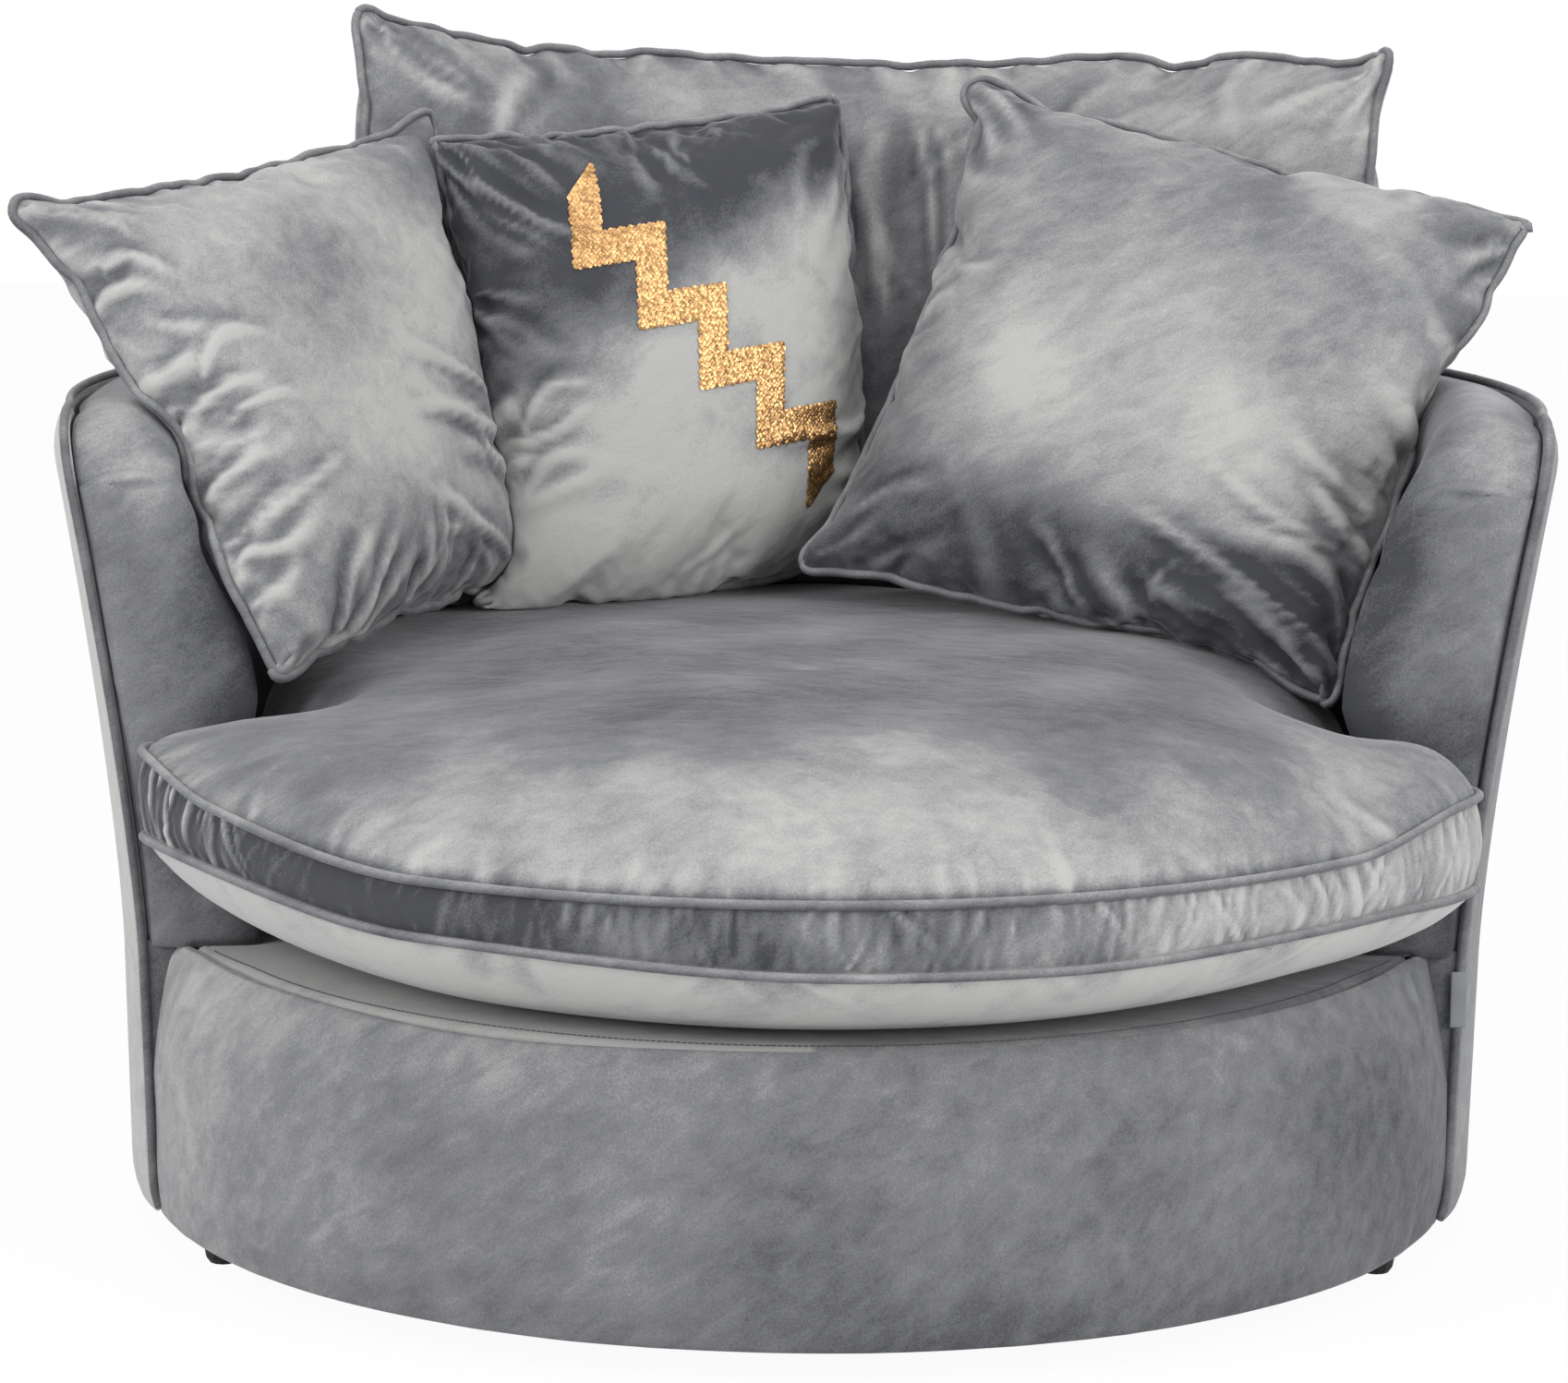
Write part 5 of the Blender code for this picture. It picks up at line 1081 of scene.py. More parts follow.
def stitch_tree(name):
    """Geometry Nodes: short thread stitches laid end to end along a path."""
    tree, given = new_tree(name, {"Pitch": 0.005, "Length": 0.0036, "Thread Radius": 0.0005})
    line = {"Curve": given["Geometry"], "Length": given["Pitch"]}
    spaced = add_node(tree, "GeometryNodeResampleCurve", line, mode="LENGTH")
    along = {"Vector": add_node(tree, "GeometryNodeInputTangent")}
    size = {"Vertices": 6, "Radius": given["Thread Radius"], "Depth": given["Length"]}
    stitch = {
        "Points": spaced,
        "Instance": add_node(tree, "GeometryNodeMeshCylinder", size, fill_type="NGON"),
        "Rotation": add_node(tree, "FunctionNodeAlignRotationToVector", along, axis="Z"),
    }
    return end_tree(tree, add_node(tree, "GeometryNodeInstanceOnPoints", stitch), given["Material"])


def stitch_row(name, path, pitch):
    carrier = path_curve(name, path, False)
    thread = finish("polyester_thread")
    use_tree(carrier, "thread_stitches", stitch_tree, Pitch=pitch, Length=pitch * 0.72, Material=thread)
    return bake(carrier)


# Piping


def piping_tree(name):
    """Geometry Nodes: a covered cord swept along a path, its cover slightly wrinkled."""
    tree, given = new_tree(name, {"Radius": 0.0045, "Step": 0.004, "Wrinkle": 0.0006})
    line = {"Curve": given["Geometry"], "Length": given["Step"]}
    ring = {"Resolution": 10, "Radius": given["Radius"]}
    cord = {
        "Curve": add_node(tree, "GeometryNodeResampleCurve", line, mode="LENGTH"),
        "Profile Curve": add_node(tree, "GeometryNodeCurvePrimitiveCircle", ring, "Curve"),
        "Fill Caps": True,
    }
    tube = add_node(tree, "GeometryNodeCurveToMesh", cord)
    marks = {"Scale": 1.0 / WRINKLE_WIDTH, "Detail": 2.0, "Roughness": 0.5}
    noise = add_node(tree, "ShaderNodeTexNoise", marks, "Fac")
    centred = add_node(tree, "ShaderNodeMath", {0: noise, 1: 0.5}, operation="SUBTRACT")
    height = add_node(tree, "ShaderNodeMath", {0: centred, 1: given["Wrinkle"]}, operation="MULTIPLY")
    raised = {0: add_node(tree, "GeometryNodeInputNormal"), "Scale": height}
    offset = add_node(tree, "ShaderNodeVectorMath", raised, operation="SCALE")
    crumpled = add_node(tree, "GeometryNodeSetPosition", {"Geometry": tube, "Offset": offset})
    smoothed = add_node(tree, "GeometryNodeSetShadeSmooth", {"Geometry": crumpled})
    return end_tree(tree, smoothed, given["Material"])


def add_piping(name, path, cyclic, body, node, base_tone=0.42):
    sewing = bpy.context.scene.armchair_sewing
    carrier = path_curve(name, path, cyclic)
    cover = velvet(piping=True)
    use_tree(carrier, "covered_cord", piping_tree, Radius=sewing.piping_radius, Material=cover)
    piece = bake(carrier)
    orient_caps(piece)
    points = mesh_points(piece.data)
    normals = np.empty(len(points) * 3)
    piece.data.vertices.foreach_get("normal", normals)
    up = normals.reshape(-1, 3)[:, 2]
    # Painted light: the cord is lighter on its upper side, which faces the light from above; the waves vary
    # it at random
    set_tone(piece.data, base_tone + 0.26 * up + 0.04 * waves(points, 41, 0.05))
    return finish_piece(piece, body, "velvet_dark", cover, node)


def rim_path():
    """Up the left arm's front edge, round the rim and down the right arm's front edge."""
    radius = bpy.context.scene.armchair_sewing.piping_radius
    front = ARM_FRONT_Y - radius - 0.0003
    inset = PANEL_THICKNESS / 2.0
    top = float(rim_height(ARM_FRONT_Y))
    heights = np.linspace(SKIRT_Z + 1.5 * radius, top - 0.02, 120)
    reach = outer_radius(heights, ARM_FRONT_Y, top) - inset
    x = np.sqrt(reach**2 - ARM_FRONT_Y**2)
    right = np.column_stack([x, np.full(len(x), front), heights])
    share = wall_shares()
    depth = around(BASE_R, share, ARM_FRONT_Y)[1]
    tops = rim_height(depth)
    ex, ey = around(outer_radius(tops, depth, tops) - inset, share, ARM_FRONT_Y)
    slope = np.clip(ey - ARM_FRONT_Y, 0.0, ARM_CORNER_R)
    turn = np.arccos((ARM_CORNER_R - slope) / ARM_CORNER_R)
    lift = radius + 0.0003
    rim = np.column_stack([ex, ey - np.cos(turn) * lift, tops + np.sin(turn) * lift])
    left = right * np.array((-1.0, 1.0, 1.0))
    return np.concatenate([left, rim, right[::-1]]) + AXIS


class ARMCHAIR_OT_rim_piping(bpy.types.Operator):
    """Piping up the left arm, round the rim and down the right arm, with the blank side tag"""

    bl_idname = "armchair.rim_piping"
    bl_label = "Rim Piping and Tag"

    def execute(self, context):
        add_piping("rim_and_arm_piping", rim_path(), False, "tub", "rim_piping", 0.30)
        middle = (TAG_TOP_Z + TAG_BOTTOM_Z) / 2.0
        radius = float(outer_radius(middle, ARM_FRONT_Y, RIM_Z)) - PANEL_THICKNESS / 2.0
        edge_x = math.sqrt(radius**2 - ARM_FRONT_Y**2) - 2.0 * context.scene.armchair_sewing.piping_radius
        across = np.linspace(0.0, 1.0, TAG_COLUMNS)
        heights = np.linspace(TAG_BOTTOM_Z, TAG_TOP_Z, TAG_ROWS)
        grid = []
        for side in (1.0, -1.0):
            for z in heights:
                bend = 0.0012 * math.sin(z * 160.0)
                y = ARM_FRONT_Y - 0.0096 + bend * across + 0.0030 * across**2 + side * 0.0003
                grid.append(np.column_stack([edge_x + TAG_WIDTH * across, y, np.full(TAG_COLUMNS, z)]))
        points = np.array(grid)
        loop = np.concatenate([points[:TAG_ROWS], points[TAG_ROWS:, ::-1]], axis=1)
        faces = grid_faces(TAG_ROWS, 2 * TAG_COLUMNS, True)
        piece = new_piece("blank_side_tag", loop, faces, end_caps(TAG_ROWS, 2 * TAG_COLUMNS), 0.5)
        orient_caps(piece)
        satin = use_material("woven_satin_tag", woven_satin)
        finish_piece(piece, "tub", "woven_tag", satin, "side_tag")
        return {"FINISHED"}


# Seat cushion


def resampled(points, count):
    """Points evenly spaced along a closed line."""
    closed = np.concatenate([points, points[:1]])
    steps = np.linalg.norm(np.diff(closed, axis=0), axis=1)
    lengths = np.concatenate([[0.0], np.cumsum(steps)])
    wanted = np.linspace(0.0, lengths[-1], count, endpoint=False)
    spaced = [np.interp(wanted, lengths, closed[:, i]) for i in range(closed.shape[1])]
    return np.column_stack(spaced), lengths[-1]


def seat_outline(count):
    """Plan of the seat cushion's border, anticlockwise from the middle of its front."""
    ear_y = ARM_FRONT_Y - ARM_PILLOW - EAR_CLEARANCE
    ear_middle_y = ear_y - EAR_ROUND
    ear_middle_x = math.sqrt((SEAT_FRONT_R - EAR_ROUND) ** 2 - ear_middle_y**2)
    front_turn = math.atan2(ear_middle_x, -ear_middle_y)
    inner_y = ear_y + EAR_INNER_ROUND
    inner_x = math.sqrt((SEAT_SIDE_R + EAR_INNER_ROUND) ** 2 - inner_y**2)
    inner_turn = math.atan2(inner_x, -inner_y)
    half = []
    # The front, the ear's tip, the hollow behind it and the side, as arcs: middle, radius and turns
    for x, y, radius, turn in (
        (0.0, 0.0, SEAT_FRONT_R, np.linspace(0.0, front_turn, 120)),
        (ear_middle_x, ear_middle_y, EAR_ROUND, np.linspace(front_turn, math.pi, 14)[1:]),
        (inner_x, inner_y, -EAR_INNER_ROUND, np.linspace(0.0, math.pi - inner_turn, 12)),
        (0.0, 0.0, SEAT_SIDE_R, np.linspace(inner_turn, math.pi, 110)[1:]),
    ):
        half.append(np.column_stack([x + radius * np.sin(turn), y - abs(radius) * np.cos(turn)]))
    half[-1][:, 1] = np.minimum(half[-1][:, 1], SEAT_BACK_Y)
    half = np.concatenate(half)
    whole = np.concatenate([half, (half * np.array((-1.0, 1.0)))[1:-1][::-1]])
    return resampled(whole, count)


def upper_lift(x, y):
    """How far the upper seam rises towards the ears; only in front of the arms does it settle lower."""
    left = smooth((-x - 0.30) / 0.26) * SEAT_LEFT_EAR_LIFT + 0.016 * smooth((-x - 0.48) / 0.08)
    return left + 0.020 * smooth((x - 0.44) / 0.10) - 0.007 * smooth((-y - 0.05) / 0.2)


def lower_lift(x, y):
    """How far the lower seam rises to the left and sinks at the right ear."""
    front = smooth((-y - 0.05) / 0.2)
    left = 0.012 * smooth((0.05 - x) / 0.35) + 0.022 * smooth((-x - 0.30) / 0.22)
    right = 0.006 * smooth((x - 0.20) / 0.2) - 0.006 * smooth((x - 0.47) / 0.09)
    return left + (0.004 + right) * front


def evened(values, spread_to):
    """Values round a ring, averaged over a number of neighbours."""
    if spread_to < 0.5:
        return values
    count = len(values)
    steps = np.minimum(np.arange(count), count - np.arange(count))
    kernel = np.exp(-0.5 * (steps / spread_to) ** 2)
    return np.fft.irfft(np.fft.rfft(values) * np.fft.rfft(kernel / kernel.sum()), count)


class ARMCHAIR_OT_seat_cushion(bpy.types.Operator):
    """Round-fronted boxed seat cushion with a gathered border between two pipings"""

    bl_idname = "armchair.seat_cushion"
    bl_label = "Seat Cushion"

    def execute(self, context):
        depth = context.scene.armchair_sewing.pucker_depth
        count = SEAT_POINTS
        outline, total = seat_outline(count)
        middle = np.array((0.0, SEAT_MIDDLE_Y))
        held = smooth((outline[:, 1] - ARM_FRONT_Y + 0.25) / 0.45)
        fullness = SEAT_FRONT_FULLNESS + (SEAT_SIDE_FULLNESS - SEAT_FRONT_FULLNESS) * held
        # The right ear reaches farther out
        outline[:, 0] += 0.012 * smooth((outline[:, 0] - 0.44) / 0.10)
        x = outline[:, 0]
        # Towards the ears the top falls away in a long slope
        ear = np.exp(-(((outline[:, 1] + 0.23) / 0.15) ** 2))
        left_fall = ear * smooth((-x - 0.20) / 0.25)
        right_fall = ear * smooth((x - 0.20) / 0.25)
        fullness = fullness * (1.0 - left_fall - right_fall) + 2.3 * left_fall + 3.0 * right_fall
        shoulder = SEAT_SHOULDER + 0.14 * left_fall + 0.05 * right_fall
        border = SEAT_UPPER_SEAM_Z - SEAT_LOWER_SEAM_Z
        drop = SEAT_LOWER_SEAM_Z - SEAT_BOTTOM_Z
        rings, kinds = [], []
        for share in 1.0 - (1.0 - np.linspace(0.0, 1.0, 44)[1:]) ** 1.7:
            flat = middle + (outline - middle) * share
            flat = np.column_stack([evened(flat[:, i], 45.0 * smooth((0.97 - share) / 0.45)) for i in (0, 1)])
            rise = SEAT_CROWN * np.maximum(1.0 - share**fullness, 0.0) ** shoulder
            rise = evened(rise, 70.0 * smooth((1.0 - share) / 0.5))
            rings.append(np.column_stack([flat, SEAT_UPPER_SEAM_Z + rise + upper_lift(*flat.T)]))
            kinds.append((0, share))
        for share in np.linspace(0.0, 1.0, 15)[1:-1]:
            swell = SEAT_BORDER_SWELL * math.sin(math.pi * share)
            flat = shrunk(outline, -swell)
            lift = upper_lift(*outline.T) * (1.0 - share) + lower_lift(*outline.T) * share
            rings.append(np.column_stack([flat, SEAT_UPPER_SEAM_Z - border * share + lift]))
            kinds.append((1, share))
        for turn in np.linspace(0.0, math.pi / 2.0, 30):
            share = 0.60 + 0.40 * max(math.cos(turn), 0.0) ** 0.9
            sink = math.sin(turn) ** 1.2
            flat = middle + (outline - middle) * share
            z = SEAT_LOWER_SEAM_Z - drop * sink + (1.0 - sink**2) * lower_lift(*outline.T)
            rings.append(np.column_stack([flat, np.maximum(z, SEAT_BOTTOM_Z)]))
            kinds.append((2, sink))
        points = np.array(rings)
        part, level = np.array(kinds).T
        normals = grid_normals(points, True)
        if normals[0, :, 2].mean() < 0.0:
            normals = -normals
        along = np.broadcast_to(np.arange(count) * (total / count), points.shape[:2])
        upper, lower = points[np.argmax(part == 1) - 1], points[np.argmax(part == 2)]
        from_upper = np.linalg.norm(points - upper[None], axis=2)
        from_lower = np.linalg.norm(points - lower[None], axis=2)
        front = outline[:, 1] < ARM_FRONT_Y - 0.01
        left_ear = smooth((-x - 0.42) / 0.10) * front
        right_side = smooth((x - 0.05) / 0.35) * front
        place = np.arange(count) * (total / count)

        def at_left(s):
            return float(np.interp(s % total, place, 0.50 + 1.0 * left_ear + 0.40 * right_side))

        top = pleats(along, from_upper, total, 51, 0.013, 0.020, depth * 0.55, 0.0042, 0.5)
        top += pleats(along, from_upper, total, 52, 0.050, 0.055, depth * 0.65, 0.011, 0.4)
        wall = pleats(along, from_upper, total, 53, 0.012, 0.034, depth * 1.1, 0.0038, 0.35, at_left)
        wall += pleats(along, from_lower, total, 54, 0.014, 0.030, depth * 1.0, 0.0042, 0.35, at_left)
        under = pleats(along, from_lower, total, 55, 0.030, 0.035, depth * 0.7, 0.010, 0.5)
        kind = part[:, None] + 0.0 * along
        folds = np.where(kind == 0, top, np.where(kind == 1, wall, under))
        calm = np.where(kind == 1, 1.0, smooth(np.minimum(from_upper, from_lower) / 0.006))
        folds = np.clip(folds, -depth * 1.2, depth * 1.2) * calm
        swell = 0.0022 * waves(points, 56, 0.20) * (kind == 0) * smooth(from_upper / 0.08)
        rest = np.where((kind == 2) & (level[:, None] > 0.9), 0.0, 1.0)
        points = points + normals * ((folds + swell) * rest)[:, :, None]
        px, py = points[:, :, 0], points[:, :, 1]
        # Painted light and shade: the top is lighter at the front, where it faces the light, and darker at
        # the back, where the other cushions shade it; it is also lighter towards the left and at the ears
        forward = smooth((-py - 0.30) / 0.27)
        left_side = smooth((-px - 0.15) / 0.25)
        tone_top = 0.22 + 0.60 * forward * smooth(from_upper / 0.016) - 0.20 * smooth((py + 0.06) / 0.2)
        tone_top = tone_top + 0.05 * waves(points, 58, 0.16)
        tone_top = tone_top + 0.14 * left_side * (1.0 - forward)
        ears = 0.20 * smooth((-px - 0.36) / 0.12) + 0.34 * smooth((px - 0.30) / 0.14)
        tone_top = tone_top + ears * (1.0 - forward) * smooth((-py - 0.04) / 0.16)
        # The border is darker to the left and lighter to the right; the underside is light
        tone_wall = 0.07 + 0.29 * smooth((px + 0.35) / 0.35) + 0.40 * smooth((px - 0.08) / 0.30)
        tone_wall = tone_wall + 0.04 * waves(points, 59, 0.07)
        tone_under = 0.92 + 0.07 * waves(points, 60, 0.10)
        tone = np.where(kind == 0, tone_top, np.where(kind == 1, tone_wall, tone_under))
        # Painted shade on the folds: ridges lighter and hollows darker, most on the border at the left ear
        fold_shading = 0.35 + (0.15 + 0.60 * left_ear[None, :]) * (kind == 1)
        tone = tone + fold_shading * folds / depth + 0.05 * waves(points, 57, 0.09)
        rows = len(points)
        faces = grid_faces(rows, count, True)
        pole = np.array([[*middle, points[0, :, 2].mean()]])
        floor_pole = np.array([[*middle, SEAT_BOTTOM_Z]])
        stack = np.concatenate([points.reshape(-1, 3), pole, floor_pole])
        first = rows * count
        ring = np.arange(count)
        fan = np.column_stack([ring, (ring + 1) % count, np.full(count, first)])
        last = (rows - 1) * count
        floor = np.column_stack([last + ring, last + (ring + 1) % count, np.full(count, first + 1)])
        tone = np.concatenate([tone.reshape(-1), [0.4, 0.5]])
        piece = new_piece("seat_cushion_cover", stack, faces, [*fan, *floor], tone)
        orient_caps(piece)
        finish_piece(piece, "seat_cushion_body", "velvet_light", velvet(), "seat_cushion")
        reach = context.scene.armchair_sewing.piping_radius * 0.78
        for name, node, seam, tilt in (
            ("seat_upper_piping", "seat_piping_upper", upper, 1.0),
            ("seat_lower_piping", "seat_piping_lower", lower, -1.0),
        ):
            plan = shrunk(seam[:, :2], -reach)
            path = np.column_stack([plan, seam[:, 2] + tilt * 0.0022])
            add_piping(name, path + AXIS, True, "seat_cushion_body", node, 0.40)
        return {"FINISHED"}


# Knife-edged cushions


class Pillow:
    """The points of two square sheets that share their edge, with u and v from -1 to 1."""

    def __init__(self, columns, rows):
        u = np.linspace(-1.0, 1.0, columns + 1)
        v = np.linspace(-1.0, 1.0, rows + 1)
        self.u, self.v = (a.reshape(-1) for a in np.meshgrid(u, v))
        size = (columns + 1) * (rows + 1)
        edge = (np.abs(self.u) > 1.0 - 1e-9) | (np.abs(self.v) > 1.0 - 1e-9)
        back = np.arange(size)
        inner = np.flatnonzero(~edge)
        back[inner] = size + np.arange(len(inner))
        self.side = np.concatenate([-np.ones(size), np.ones(len(inner))])
        self.side[np.flatnonzero(edge)] = 0.0
        self.u = np.concatenate([self.u, self.u[inner]])
        self.v = np.concatenate([self.v, self.v[inner]])
        front = grid_faces(rows + 1, columns + 1, False)
        self.faces = np.concatenate([front, back[front][:, ::-1]])
        bottom = np.arange(columns + 1)
        right = (np.arange(1, rows + 1) + 1) * (columns + 1) - 1
        top = rows * (columns + 1) + np.arange(columns)[::-1]
        left = np.arange(1, rows)[::-1] * (columns + 1)
        self.seam = np.concatenate([bottom, right, top, left])

    def sewn(self, width, height, thickness, corner):
        """The sheets laid flat with a little air between them, their corners rounded to the given radius."""
        x, z = 0.5 * width * self.u, 0.5 * height * self.v
        a = np.maximum(1.0 - (0.5 * width - np.abs(x)) / corner, 0.0)
        b = np.maximum(1.0 - (0.5 * height - np.abs(z)) / corner, 0.0)
        round_off = np.maximum(a, b) / np.maximum(np.hypot(a, b), 1e-9)
        x = np.where((a > 0.0) & (b > 0.0), np.sign(x) * (0.5 * width - corner * (1.0 - a * round_off)), x)
        z = np.where((a > 0.0) & (b > 0.0), np.sign(z) * (0.5 * height - corner * (1.0 - b * round_off)), z)
        plump = np.sqrt(np.maximum((1.0 - self.u**2) * (1.0 - self.v**2), 0.0))
        return np.column_stack([x, self.side * 0.5 * thickness * plump, z])


VELVET_CLOTH = {
    "quality": 5,
    "mass": 0.25,
    "tension_stiffness": 18.0,
    "compression_stiffness": 12.0,
    "shear_stiffness": 6.0,
    "bending_stiffness": 0.6,
    "air_damping": 2.0,
}


def filled(pillow, points, seed):
    """The sewn sheets after the filling has pushed them apart."""
    settings = bpy.context.scene.armchair_cushions
    rng = np.random.default_rng(seed)
    nudged = points + rng.normal(0.0, 0.0002, points.shape)
    data = bpy.data.meshes.new("filling")
    data.from_pydata(nudged.tolist(), [], pillow.faces.tolist())
    carrier = new_object("filling", data)
    cloth = carrier.modifiers.new("cloth", "CLOTH")
    cloth.point_cache.frame_end = settings.fill_frames + 1
    for key, value in VELVET_CLOTH.items():
        setattr(cloth.settings, key, value)
    cloth.settings.use_pressure = True
    cloth.settings.uniform_pressure_force = settings.fill_pressure
    cloth.settings.effector_weights.gravity = 0.0
    cloth.collision_settings.use_collision = False
    scene = bpy.context.scene
    for number in range(1, settings.fill_frames + 1):
        scene.frame_set(number)
    graph = bpy.context.evaluated_depsgraph_get()
    made = bpy.data.meshes.new_from_object(carrier.evaluated_get(graph))
    result = mesh_points(made)
    bpy.data.meshes.remove(made)
    bpy.data.objects.remove(carrier)
    scene.frame_set(1)
    if not np.isfinite(result).all() or np.abs(result - points).max() > 0.4:
        raise RuntimeError("the filling burst its cover")
    return result


def trued(pillow, points, width, height, pull):
    """Takes the drift of each side out of a filled cushion, so that only its pulls and the wrinkles stay."""
    u, v = pillow.u, pillow.v
    sides = ((0, v, u, 0.5 * width, pull[:2]), (2, u, v, 0.5 * height, pull[2:]))
    for axis, along, across, half, pulls in sides:
        drift = np.zeros(len(points))
        for side, pulled in zip((-1.0, 1.0), pulls):
            edge = pillow.seam[np.abs(across[pillow.seam] - side) < 1e-9]
            edge = edge[np.abs(along[edge]) < 0.84]
            error = points[edge, axis] - side * half * (1.0 - 2.0 * pulled * (1.0 - along[edge] ** 2))
            curve = np.polyfit(along[edge], error, 4)
            kept = 1.0 - np.abs(along) ** 10
            drift += np.polyval(curve, np.clip(along, -0.9, 0.9)) * kept * (1.0 + side * across) / 2.0
        points[:, axis] -= drift
    return points


def formed(pillow, width, height, thickness, corner, pull, seed):
    """Points of a filled cushion in its own frame, corner to corner width by height."""
    flat = pillow.sewn(width, height, thickness * (0.30), corner)
    points = filled(pillow, flat, seed)
    points -= points.mean(axis=0)
    tips = [np.argmax(pillow.u * su + pillow.v * sv) for su, sv in ((-1, -1), (1, -1), (-1, 1), (1, 1))]
    reach = np.abs(points[tips])
    kept = 0.15 * corner
    points[:, 0] *= (0.5 * width - kept) / reach[:, 0].mean()
    points[:, 2] *= (0.5 * height - kept) / reach[:, 2].mean()
    thick = points[:, 1].max() - points[:, 1].min()
    points[:, 1] *= thickness / thick
    return trued(pillow, points, width, height, pull)


def patch_place(corners):
    """Lays a unit cushion on the patch between four corners, its thickness along the patch's normal."""
    upper_left, upper_right, lower_left, lower_right = (np.array(corner) for corner in corners)

    def place(points):
        across = (points[:, 0] + 0.5)[:, None]
        rise = (points[:, 2] + 0.5)[:, None]
        left = lower_left + (upper_left - lower_left) * rise
        right = lower_right + (upper_right - lower_right) * rise
        upward = (upper_left - lower_left) * (1.0 - across) + (upper_right - lower_right) * across
        normal = np.cross(upward, right - left)
        normal /= np.linalg.norm(normal, axis=1, keepdims=True)
        return left + (right - left) * across + normal * points[:, 1:2]

    return place


def bent_back_place(points):
    rise = points[:, 2] / BACK_HEIGHT + 0.5
    bend_r = BACK_LOWER_BEND_R + (BACK_UPPER_BEND_R - BACK_LOWER_BEND_R) * rise
    middle_y = BACK_LOWER_Y + (BACK_UPPER_Y - BACK_LOWER_Y) * rise
    angle = points[:, 0] / bend_r
    radius = bend_r + points[:, 1]
    sag = BACK_TOP_SAG * np.maximum(rise, 0.0) * (np.cos(angle * 1.6) * 1.4 - 0.4)
    sag = sag - BACK_CORNER_LIFT * (1.0 - rise) * (2.0 * points[:, 0] / BACK_WIDTH) ** 2
    x = BACK_MIDDLE_X + radius * np.sin(angle)
    y = middle_y - bend_r + radius * np.cos(angle)
    return np.column_stack([x, y, BACK_MIDDLE_Z + points[:, 2] - sag])


def tree_of(obj):
    data = obj.data
    data.calc_loop_triangles()
    corners = [triangle.vertices[:] for triangle in data.loop_triangles]
    return BVHTree.FromPolygons([vertex.co[:] for vertex in data.vertices], corners)


def is_inside(tree, point):
    """Whether the point lies inside the closed mesh, by the number of faces above it."""
    direction = Vector((0.137, 0.071, 0.988)).normalized()
    crossings, start = 0, point
    while crossings < 40:
        hit = tree.ray_cast(start, direction)[0]
        if hit is None:
            break
        crossings += 1
        start = hit + direction * 0.00001
    return crossings % 2 == 1


def edge_pairs(faces):
    pairs = np.concatenate([faces[:, [i, (i + 1) % faces.shape[1]]] for i in range(faces.shape[1])])
    return np.unique(np.sort(pairs, axis=1), axis=0)


def spread(field, pairs, rounds, share=0.92):
    """Carries each point's move to its neighbours, fading with every step."""
    count = len(field)
    degree = np.bincount(pairs.reshape(-1), minlength=count)[:, None]
    moved = field.copy()
    for _ in range(rounds):
        total = np.zeros_like(field)
        np.add.at(total, pairs[:, 0], moved[pairs[:, 1]])
        np.add.at(total, pairs[:, 1], moved[pairs[:, 0]])
        mean = total / degree
        stronger = np.linalg.norm(mean, axis=1) * share > np.linalg.norm(moved, axis=1)
        moved[stronger] = mean[stronger] * share
    return moved


def press_clear(points, faces, trees, gaps, rounds=7):
    """Moves the points of a cushion out of the pieces that it lies against."""
    pairs = edge_pairs(faces)
    for step in range(rounds):
        push = np.zeros_like(points)
        for index, place in enumerate(points):
            point = Vector(place)
            for tree in trees:
                hit, normal, _, distance = tree.find_nearest(point, 0.09)
                if hit is None:
                    continue
                gap = gaps[index]
                if (point - hit).dot(normal) < 0.0:
                    if not is_inside(tree, point):
                        continue
                    move = hit + (hit - point).normalized() * gap - point
                elif distance < gap:
                    move = (point - hit).normalized() * (gap - distance)
                else:
                    continue
                if move.length > np.linalg.norm(push[index]):
                    push[index] = move
        if not push.any():
            break
        points = points + spread(push, pairs, 10 if step < 4 else 3)
    return points


def point_normals(points, faces):
    a, b, c, d = (points[faces[:, i]] for i in range(4))
    face = np.cross(c - a, d - b)
    normals = np.zeros_like(points)
    for i in range(4):
        np.add.at(normals, faces[:, i], face)
    return normals / np.maximum(np.linalg.norm(normals, axis=1, keepdims=True), 1e-12)


def seam_distances(pillow, width, height):
    """Distance along the seam and away from it, for each point of the sewn sheets."""
    x, z = 0.5 * width * pillow.u, 0.5 * height * pillow.v
    sides = np.stack([0.5 * height + z, 0.5 * width - x, 0.5 * height - z, 0.5 * width + x])
    nearest = np.argmin(sides, axis=0)
    lower, right = 0.5 * width + x, width + 0.5 * height + z
    upper, left = width + height + 0.5 * width - x, 2.0 * width + height + 0.5 * height - z
    along = np.choose(nearest, [lower, right, upper, left])
    return along, sides.min(axis=0), 2.0 * (width + height)


